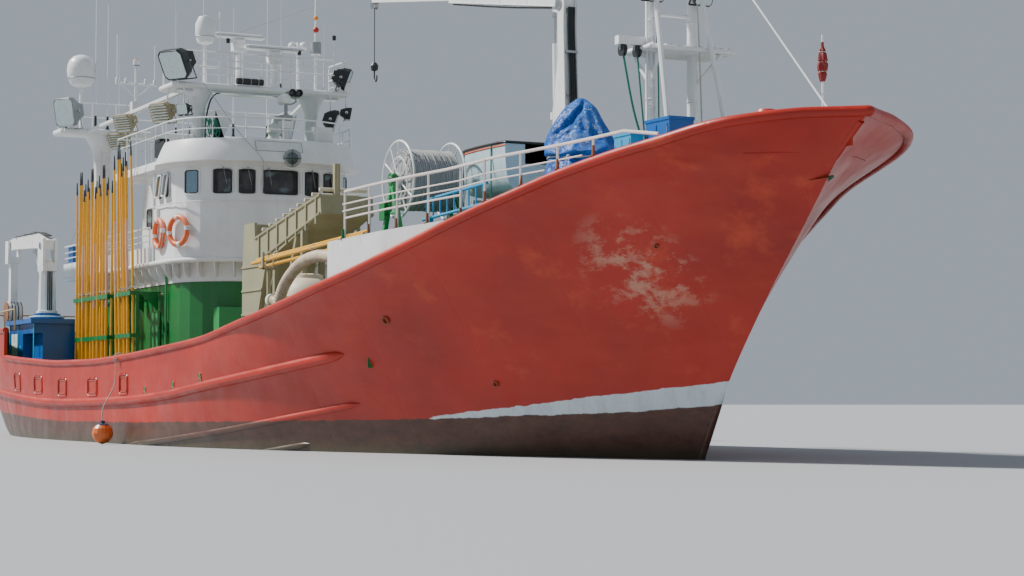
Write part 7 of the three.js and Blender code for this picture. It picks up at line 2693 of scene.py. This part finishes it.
def tarp_mesh():
    """The cover as one open sheet that closes at its peak, with its hem turned."""
    tied, let_out = tarp_grid(False), tarp_grid(True)
    columns = len(tied[0])
    peak = tied[-1][0].lerp(tied[-1][columns // 2], 0.5) + Vector((0, 0, 0.03))
    points = [p for ring in tied for p in ring] + [peak]
    loose = [p for ring in let_out for p in ring] + [peak + Vector((0, 0, 0.04))]
    faces = []
    for k in range(len(tied) - 1):
        for i in range(columns):
            j = (i + 1) % columns
            faces.append((k * columns + i, k * columns + j, (k + 1) * columns + j, (k + 1) * columns + i))
    top = (len(tied) - 1) * columns
    for i in range(columns):
        faces.append((top + i, top + (i + 1) % columns, len(points) - 1))
    mesh = bpy.data.meshes.new("tarp")
    mesh.from_pydata(points, [], faces)
    return mesh, loose, columns


def let_fall(piece, loose, columns, core):
    """Cloth simulation: the spare cloth sinks into folds above the tie."""
    piece.shape_key_add(name="tied")
    key = piece.shape_key_add(name="loose")
    for point, place in zip(key.data, loose):
        point.co = place
    pins = piece.vertex_groups.new(name="pins")
    row = round(TIE_SHARE * TARP_ROWS)
    pins.add(list(range(row * columns, (row + 1) * columns)), 1.0, "REPLACE")
    pins.add(list(range(columns)), 0.6, "REPLACE")
    core.modifiers.new("hard", "COLLISION")
    core.collision.thickness_outer = 0.012
    cloth = piece.modifiers.new("cloth", "CLOTH")
    cloth.settings.quality = 7
    cloth.settings.mass = 0.6
    cloth.settings.tension_stiffness = 40
    cloth.settings.compression_stiffness = 40
    cloth.settings.bending_stiffness = 4
    cloth.settings.air_damping = 4
    cloth.settings.vertex_group_mass = "pins"
    cloth.settings.rest_shape_key = key
    cloth.collision_settings.distance_min = 0.01
    cloth.point_cache.frame_end = TARP_FRAMES
    for number in range(1, TARP_FRAMES + 1):
        scene.frame_set(number)
    fallen = piece.evaluated_get(bpy.context.evaluated_depsgraph_get())
    places = [v.co.copy() for v in fallen.data.vertices]
    piece.modifiers.clear()
    piece.shape_key_clear()
    core.modifiers.clear()
    for v in core.data.vertices:
        v.co.x = TARP_X + (v.co.x - TARP_X) * 0.66
        v.co.y = TARP_Y + (v.co.y - TARP_Y) * 0.66
        v.co.z -= 0.1 * (v.co.z - TARP_FOOT)
    scene.frame_set(1)
    for v, place in zip(piece.data.vertices, places):
        v.co = place


TUCKS = [
    # angle, height over the deck, lean, depth, width, reach round
    (-0.75, 1.42, 0.34, 0.11, 0.06, 0.8),
    (-0.35, 1.18, -0.25, 0.07, 0.06, 0.6), (-1.25, 1.1, 0.2, 0.06, 0.05, 0.5),
    (-0.3, 0.62, -0.4, 0.06, 0.045, 0.7),
    (-0.1, 0.42, -0.3, 0.05, 0.04, 0.7), (2.4, 1.3, 0.3, 0.09, 0.07, 0.9),
]


def tuck(vertex):
    """Listed folds pressed into the fallen cloth."""
    off = Vector((vertex.co.x - TARP_X, vertex.co.y - TARP_Y))
    turn = math.atan2(off.y, off.x)
    for middle, high, lean, depth, width, reach in TUCKS:
        round_off = (turn - middle + math.pi) % (2 * math.pi) - math.pi
        rise = vertex.co.z - TARP_FOOT - high - lean * round_off
        press = depth * math.exp(-((rise / width) ** 2) - (round_off / reach) ** 2)
        vertex.co.x -= press * math.cos(turn)
        vertex.co.y -= press * math.sin(turn)


def tarp():
    """The cover, the winch under it and the rope round its waist."""
    core = covered_winch()
    mesh, loose, columns = tarp_mesh()
    mesh.materials.append(MATERIALS["tarp"])
    piece = bpy.data.objects.new("tarp_sheet", mesh)
    scene.collection.objects.link(piece)
    let_fall(piece, loose, columns, core)
    for v in mesh.vertices:
        tuck(v)
        v.co.x = min(v.co.x, 12.56)
        v.co.z = max(v.co.z, TARP_FOOT - 0.01)
    for face in mesh.polygons:
        face.use_smooth = True
    fine = piece.modifiers.new("fine", "SUBSURF")
    fine.levels = 1
    fine.render_levels = 1
    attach(piece, "root")
    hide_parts("tarp_cover")
    tie = Shape()
    ring = []
    for k in range(49):
        p = tarp_form(TIE_SHARE, 2 * math.pi * k / 48, False)
        ring.append(Vector((
            TARP_X + (p.x - TARP_X) * 1.03, TARP_Y + (p.y - TARP_Y) * 1.03, p.z + 0.012 * math.sin(k * 0.7),
        )))
    tie.tube(ring, 0.011, "rope_white", 8)
    start = tarp_form(TIE_SHARE, -0.9, False) + Vector((0.03, -0.03, 0))
    tie.ball(start, 0.03, "rope_white", 8)
    ends = [
        start, start + Vector((0.06, -0.08, -0.12)),
        start + Vector((0.1, -0.11, -0.3)), start + Vector((0.12, -0.1, -0.47)),
    ]
    tie.tube(smooth_line(ends, 5), 0.009, "rope_white", 8)
    tie.finish("tarp_tie", slot="rope")


tarp()

# Working deck: sorting chute, pump tank and hose, hatch lids, aft crane, fender


CHUTE_Y0, CHUTE_Y1 = -2.75, -1.75
CHUTE_RISE = 0.178


def sorting_chute():
    """Stiffened plates, rollers, bolts and a hinged flap on the chute and its hopper."""
    dress("sorting_chute", "olive")
    shape = Shape()
    y0, y1 = CHUTE_Y0, CHUTE_Y1
    for y in (y0, y1):
        for k in range(7):
            x = 1.55 + 0.48 * k
            z = 3.42 + (x - 1.3) * CHUTE_RISE
            shape.box((x - 0.025, y - 0.03, z), (x + 0.025, y + 0.03, z + 0.5), "olive")
        for low, high in ((3.92, 4.48), (3.45, 4.16)):
            shape.tube([(1.32, y, low), (4.6, y, high)], 0.03, "olive", 6)
        for z in (2.5, 2.95, 3.4):
            shape.box(
                (0.6, y - 0.02, z - 0.02), (1.45 + max(0, z - 2.45) * 0.45, y + 0.02, z + 0.02), "olive",
            )
    for k in range(9):
        x = 1.55 + 0.36 * k
        z = 4.08 + (x - 1.55) * CHUTE_RISE
        shape.tube([(x, y0 + 0.05, z), (x, y1 - 0.05, z)], 0.035, "tank", 14)
    shape.box((0.585, y0 + 0.12, 2.7), (0.6, y1 - 0.12, 3.3), "tan")
    for z in (2.78, 3.22):
        for y in (y0 + 0.2, y1 - 0.2):
            shape.turned((0.585, y, z), [(0.001, 0.012), (0.025, 0.01), (0.025, 0)], "rusty", 6, (-1, 0, 0))
    for x in (0.9, 2.3, 3.7):
        for y in (y0 + 0.05, y1 - 0.05):
            z = along(MAIN_DECK, x) + 0.02
            shape.box((x - 0.12, y - 0.12, z - 0.015), (x + 0.12, y + 0.12, z + 0.005), "olive")
    for a, b in (
        ((0.9, y0 + 0.05, 1.5), (2.3, y0 + 0.05, 3.3)), ((2.3, y1 - 0.05, 1.4), (0.9, y1 - 0.05, 3.2)),
    ):
        shape.tube([a, b], 0.03, "olive", 8)
    shape.tube([(4.49, -2.4, 4.4), (4.49, -2.4, 5.05)], 0.055, "tan", 12)
    shape.finish("chute_stiffeners", slot="olive_paint", bevel=0.006)


def pump_tank():
    """A ribbed upright tank with a bolted lid."""
    shape = Shape()
    x, y, z = 4.45, -2.89, along(MAIN_DECK, 4.45) + 0.004
    profile = [(0.001, 0), (0.515, 0), (0.52, 0.02)]
    for k in range(12):
        h = 0.1 + 0.11 * k
        profile += [(0.512, h), (0.5, h + 0.035), (0.512, h + 0.07)]
    profile += [
        (0.505, 1.42), (0.47, 1.55), (0.4, 1.66), (0.3, 1.74),
        (0.24, 1.76), (0.24, 1.82), (0.2, 1.84), (0.001, 1.84),
    ]
    shape.turned((x, y, z), profile, "tank", 48)
    bolts(shape, (x, y, z + 1.8), 0.22, 10, [(0.018, 0), (0.018, 0.03), (0.001, 0.03)], "rusty")
    shape.ring((x, y, z + 1.43), 0.5, 0.018, "tan", (0, 0, 1), 48, 8)
    shape.finish("pump_tank_shell", replaces=("pump_tank",), slot="tank_grey")


HOSE_ROUTE = [
    (7.47, -3.34, 3.23), (6.7, -3.34, 3.25), (5.9, -3.35, 3.3), (5.25, -3.4, 3.18), (4.8, -3.49, 2.85),
    (4.6, -3.56, 2.35), (4.56, -3.57, 1.75), (4.56, -3.57, 1.33),
]


def suction_hose():
    """A ribbed suction hose with clamped ends and the capped stub beside it."""
    shape = Shape()
    path = smooth_line(HOSE_ROUTE, 40)
    rings = []
    for i, p in enumerate(path):
        ahead = (path[min(i + 1, len(path) - 1)] - path[max(i - 1, 0)]).normalized()
        side = Vector((0, 1, 0)) - ahead * ahead.y
        side.normalize()
        up = ahead.cross(side)
        r = 0.1 + 0.004 * (1 if i % 4 < 2 else -1)
        rings.append([p + side * (r * math.cos(t)) + up * (r * math.sin(t)) for t in circle(18)])
    shape.faces(rings, "hose")
    for s in (0, 6, len(path) - 8, len(path) - 2):
        p, q = path[s], path[s + 1]
        run = (q - p).normalized() * 0.03
        shape.tube([p - run, p + run], 0.108, "silver", 20)
    shape.finish("suction_hose_ribs", replaces=("suction_hose",), slot="hose_rubber")
    stub = Shape()
    stub.tube([(3.3, -2.98, 1.3), (3.3, -2.98, 2.35)], 0.09, "olive", 20)
    elbow = smooth_line([(3.3, -2.98, 2.3), (3.3, -3.0, 2.5), (3.2, -3.02, 2.64), (3.02, -3.03, 2.68)], 6)
    stub.tube(elbow, 0.1, "tan", 20)
    stub.tube([(3.04, -3.03, 2.68), (2.95, -3.03, 2.68)], 0.125, "white_worn", 24)
    stub.finish("capped_stub", slot="tank_grey")


def hatch_lids():
    """Ribs and handles on the lids, which they ride."""
    for name in ("hatch_lid_fore", "hatch_lid_aft"):
        dress(name, "green_light", "green_light")
        (x0, _, _), (x1, _, z1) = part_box(name)
        shape = Shape()
        for y in (-0.45, 0, 0.45):
            shape.box((x0 + 0.08, y - 0.02, z1), (x1 - 0.08, y + 0.02, z1 + 0.02), "green_light")
        for x in (x0 + 0.1, x1 - 0.1):
            shape.tube(
                [(x, -0.3, z1), (x, -0.3, z1 + 0.05), (x, -0.12, z1 + 0.05), (x, -0.12, z1)],
                0.012, "silver", 8,
            )
        shape.finish(name + "_ribs", body=name, slot="green_paint", bevel=0.004)


AFT_CRANE_X = -13.3
AFT_CRANE_Y = -2.85


def aft_crane_house():
    """Finish of the whole crane, and its blue cabin's panel, frames, vents and bolted flange."""
    dress("aft_crane_housing", "blue", "blue_light")
    dress("aft_crane_column", "white_worn")
    dress("aft_crane_boom", "white_worn")
    dress("aft_crane_jib", "white_worn")
    dress("aft_crane_barrel", "silver")
    dress("aft_crane_rod", "silver")
    x, y = AFT_CRANE_X, AFT_CRANE_Y
    house = Shape()
    house.box((-14.28, y - 0.63, 1.95), (-13.72, y - 0.62, 2.52), "white_worn")
    house.ring((x, y, 2.935), 0.425, 0.016, "white_worn", (0, 0, 1), 40, 8)
    bolts(house, (x, y, 2.93), 0.385, 18, [(0.016, 0), (0.016, 0.03), (0.001, 0.032)], "rusty")
    for xx in (-14.45, -13.62, -12.15):
        house.box((xx - 0.03, y - 0.635, 1.05), (xx + 0.03, y - 0.615, 2.74), "blue_light")
    house.box((-14.5, y - 0.635, 1.0), (AFT_GANTRY_X, y - 0.615, 1.1), "blue_light")
    for z in (1.35, 1.55):
        house.tube([(-14.3, y - 0.66, z), (-13.7, y - 0.66, z)], 0.014, "silver", 8)
    for k in range(6):
        house.box((-13.45, y - 0.632, 1.35 + 0.16 * k), (-13.33, y - 0.62, 1.42 + 0.16 * k), "blue_light")
    for xx, z in ((-13.0, 1.2), (-12.6, 1.28), (-12.35, 1.2)):
        house.turned(
            (xx, y - 0.35, z), [(0.16, 0), (0.16, 0.5), (0.12, 0.56), (0.001, 0.57)], "white_worn", 18,
        )
    house.finish("aft_crane_housing_trim", slot="blue_paint", bevel=0.006)


def net_heaps():
    """Heaps of netting with their floats on the stern deck."""
    nets = Shape()
    for cx, cy, rx, ry, h in (
        (-15.4, -1.2, 0.95, 0.75, 0.62), (-15.75, 0.6, 0.9, 0.8, 0.52), (-14.9, -0.1, 0.8, 0.7, 0.45),
    ):
        z = along(MAIN_DECK, cx) + 0.01
        rings = []
        for k in range(9):
            t = k / 8
            ring = []
            for a in circle(36):
                wave = 1 + 0.06 * math.sin(3 * a + cx * 4) + 0.04 * math.sin(7 * a + k)
                wave += 0.02 * math.sin(15 * a - k * 2)
                r = math.cos(t * math.pi / 2) ** 0.6 * wave + 0.001
                ring.append(Vector((
                    cx + rx * r * math.cos(a), cy + ry * r * math.sin(a),
                    z + h * math.sin(t * math.pi / 2) ** 0.8,
                )))
            rings.append(ring)
        nets.faces(rings, "net_green" if cy > -1 else "net_dark")
    for k in range(26):
        t = k * 0.8
        nets.ball(
            (-15.4 + 0.75 * math.cos(t), -1.2 + 0.6 * math.sin(t), 1.62 + 0.12 * math.sin(t * 1.7)),
            0.065, "orange" if k % 3 else "white_worn", 8,
        )
    nets.finish("net_heaps", slot="rope")


def aft_crane_arm():
    """Column's collar and hoses, boom's edges and pipes, and the block's cheeks."""
    x, y = AFT_CRANE_X, AFT_CRANE_Y
    column = Shape()
    column.turned((x, y, 3.03), [(0.236, 0), (0.26, 0.0), (0.26, 0.05), (0.236, 0.06)], "white_worn", 32)
    for side in (1, -1):
        column.turned(
            (x, y + side * 0.19, 4.7), [(0.09, -0.01), (0.09, 0.015), (0.001, 0.02)],
            "steel", 20, (0, side, 0),
        )
    for k in range(3):
        column.tube(
            [(x + 0.24, y - 0.05 + 0.05 * k, 3.1), (x + 0.235, y - 0.05 + 0.05 * k, 4.1)], 0.016, "black", 8,
        )
    column.finish("aft_crane_column_trim", body="aft_crane_column", slot="white_paint")
    boom = Shape()
    edges = [
        (-13.1, 4.6), (-13.07, 4.83), (-13.8, 5.03), (-16.4, 5.07), (-16.78, 5.03),
        (-16.78, 4.79), (-16.2, 4.79), (-13.9, 4.69), (-13.1, 4.6),
    ]
    for side in (1, -1):
        boom.bars([Vector((ex, y + side * 0.104, ez)) for ex, ez in edges], 0.01, "white_worn", 6)
    for k in range(4):
        path = [
            (px, y - 0.06 + 0.04 * k, pz)
            for px, pz in ((-13.2, 4.95), (-13.9, 5.07), (-15.2, 5.1), (-16.3, 5.1))
        ]
        boom.tube(smooth_line(path, 6), 0.016, "black", 8)
    for bx in (-14.3, -15.2, -16.0):
        boom.box((bx - 0.02, y - 0.115, 5.03), (bx + 0.02, y + 0.115, 5.12), "steel")
    boom.finish("aft_crane_boom_trim", body="aft_crane_boom", slot="white_paint")
    jib = Shape()
    cx, cz = -16.72, 3.15
    for side in (1, -1):
        jib.turned(
            (cx, y + side * 0.19, cz),
            [(0.3, -0.02), (0.3, 0.004), (0.26, 0.01), (0.1, 0.012), (0.001, 0.012)],
            "rusty", 36, (0, side, 0),
        )
    for dy in (-0.08, 0.0, 0.08):
        jib.ring((cx, y + dy, cz), 0.302, 0.014, "black", (0, 1, 0), 40, 8)
    jib.finish("aft_crane_block_trim", body="aft_crane_jib", slot="white_paint")


def stern_gear():
    """A blue pipe on the port quarter, rails round the stern, a box by the crane and two vents."""
    shape = Shape()
    z = along(MAIN_DECK, -15.0)
    shape.bars([(-12.95, 3.86, 2.6), (-14.9, 3.7, 2.6), (-16.4, 3.45, 2.6)], 0.02, "blue_light", 8)
    for side in (1, -1):
        rail = [
            (-12.9, side * 3.75, 3.1), (-14.2, side * 3.68, 3.1),
            (-15.6, side * 3.5, 3.1), (-16.9, side * 3.3, 3.1),
        ]
        shape.bars(rail, 0.022, "tan", 8)
        for x, y, top in rail:
            shape.tube([(x, y, STERN_TOP), (x, y, top)], 0.02, "tan", 8)
    shape.bars([(-16.9, -3.3, 3.1), (-16.95, 0, 3.1), (-16.9, 3.3, 3.1)], 0.022, "tan", 8)
    for y in (-1.6, 0.0, 1.6):
        shape.tube([(-16.95, y, STERN_TOP), (-16.95, y, 3.1)], 0.02, "tan", 8)
    shape.box((-14.32, -2.05, 4.05), (-13.9, -1.75, 4.75), "blue")
    for y in (-0.9, 0.9):
        shape.turned(
            (-13.4, y, z - 0.2),
            [(0.2, 0), (0.2, 0.5), (0.32, 0.56), (0.32, 0.66), (0.2, 0.72), (0.001, 0.74)], "green_light", 24,
        )
    shape.finish("stern_gear", slot="blue_paint", bevel=0.005)


FENDER_X = -2.75
FENDER_Y = -(side_at(FENDER_X, 0.9) + 0.345)
FENDER_RIM = -(RIM.breadth(FENDER_X) + 0.058)
ROPE_THICK = 0.022
ROPE_ROUTE = [
    (FENDER_X, FENDER_RIM - 0.02, rim_height(FENDER_X) - 0.06), (FENDER_X, FENDER_RIM - 0.04, 1.2),
    (FENDER_X, FENDER_Y, 0.7), (FENDER_X, FENDER_Y, 0.4653),
]


def fender():
    """An orange ball with a dark eye, and the rope that carries it from the rim."""
    dress("fender_ball", "ball_fender", angle=180)
    trim = Shape()
    trim.ring((FENDER_X, FENDER_Y, 0.43), 0.03, 0.012, "dark_blue", (1, 0, 0), 20, 8)
    trim.ring((FENDER_X, FENDER_Y, 0.385), 0.12, 0.009, "dark_blue", (0, 0, 1), 32, 8)
    trim.finish("fender_eye", slot="rope")
    rope = Shape()
    path = smooth_line(ROPE_ROUTE, 16)
    rope.tube(path, ROPE_THICK / 2, "rope_white", 12)
    cord = rope.finish("fender_line", replaces=("fender_rope",), slot="rope")
    length = sum((b - a).length for a, b in zip(path, path[1:]))
    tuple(ROPE_ROUTE[0])
    [tuple(p) for p in path]
    knots = Shape()
    knots.ring(
        (FENDER_X, FENDER_RIM + 0.04, rim_height(FENDER_X)), 0.1, 0.012, "rope_white", (1, 0, 0), 28, 8,
    )
    knots.ball((FENDER_X, FENDER_RIM - 0.02, rim_height(FENDER_X) - 0.03), 0.026, "rope_white", 8)
    knots.finish("fender_hitch", slot="rope")


def propeller_and_rudder():
    """The propeller's cap and the rudder's anodes."""
    dress("propeller", "bronze", angle=40)
    dress("rudder", "hull", angle=30)
    boss = Shape()
    boss.turned(
        (-13.97, 0, -2.13), [(0.001, -0.12), (0.08, -0.1), (0.14, -0.02), (0.16, 0.06)],
        "bronze", 28, (1, 0, 0),
    )
    boss.finish("propeller_cap", body="propeller", slot="bronze")
    zincs = Shape()
    for z in (-2.9, -2.1, -1.3):
        for side in (1, -1):
            zincs.box(
                (-14.95, side * 0.082 - 0.012, z - 0.05), (-14.65, side * 0.082 + 0.012, z + 0.05), "silver",
            )
    zincs.finish("rudder_anodes", body="rudder", slot="steel", bevel=0.008)


sorting_chute()
pump_tank()
suction_hose()
hatch_lids()
aft_crane_house()
net_heaps()
aft_crane_arm()
stern_gear()
fender()
propeller_and_rudder()
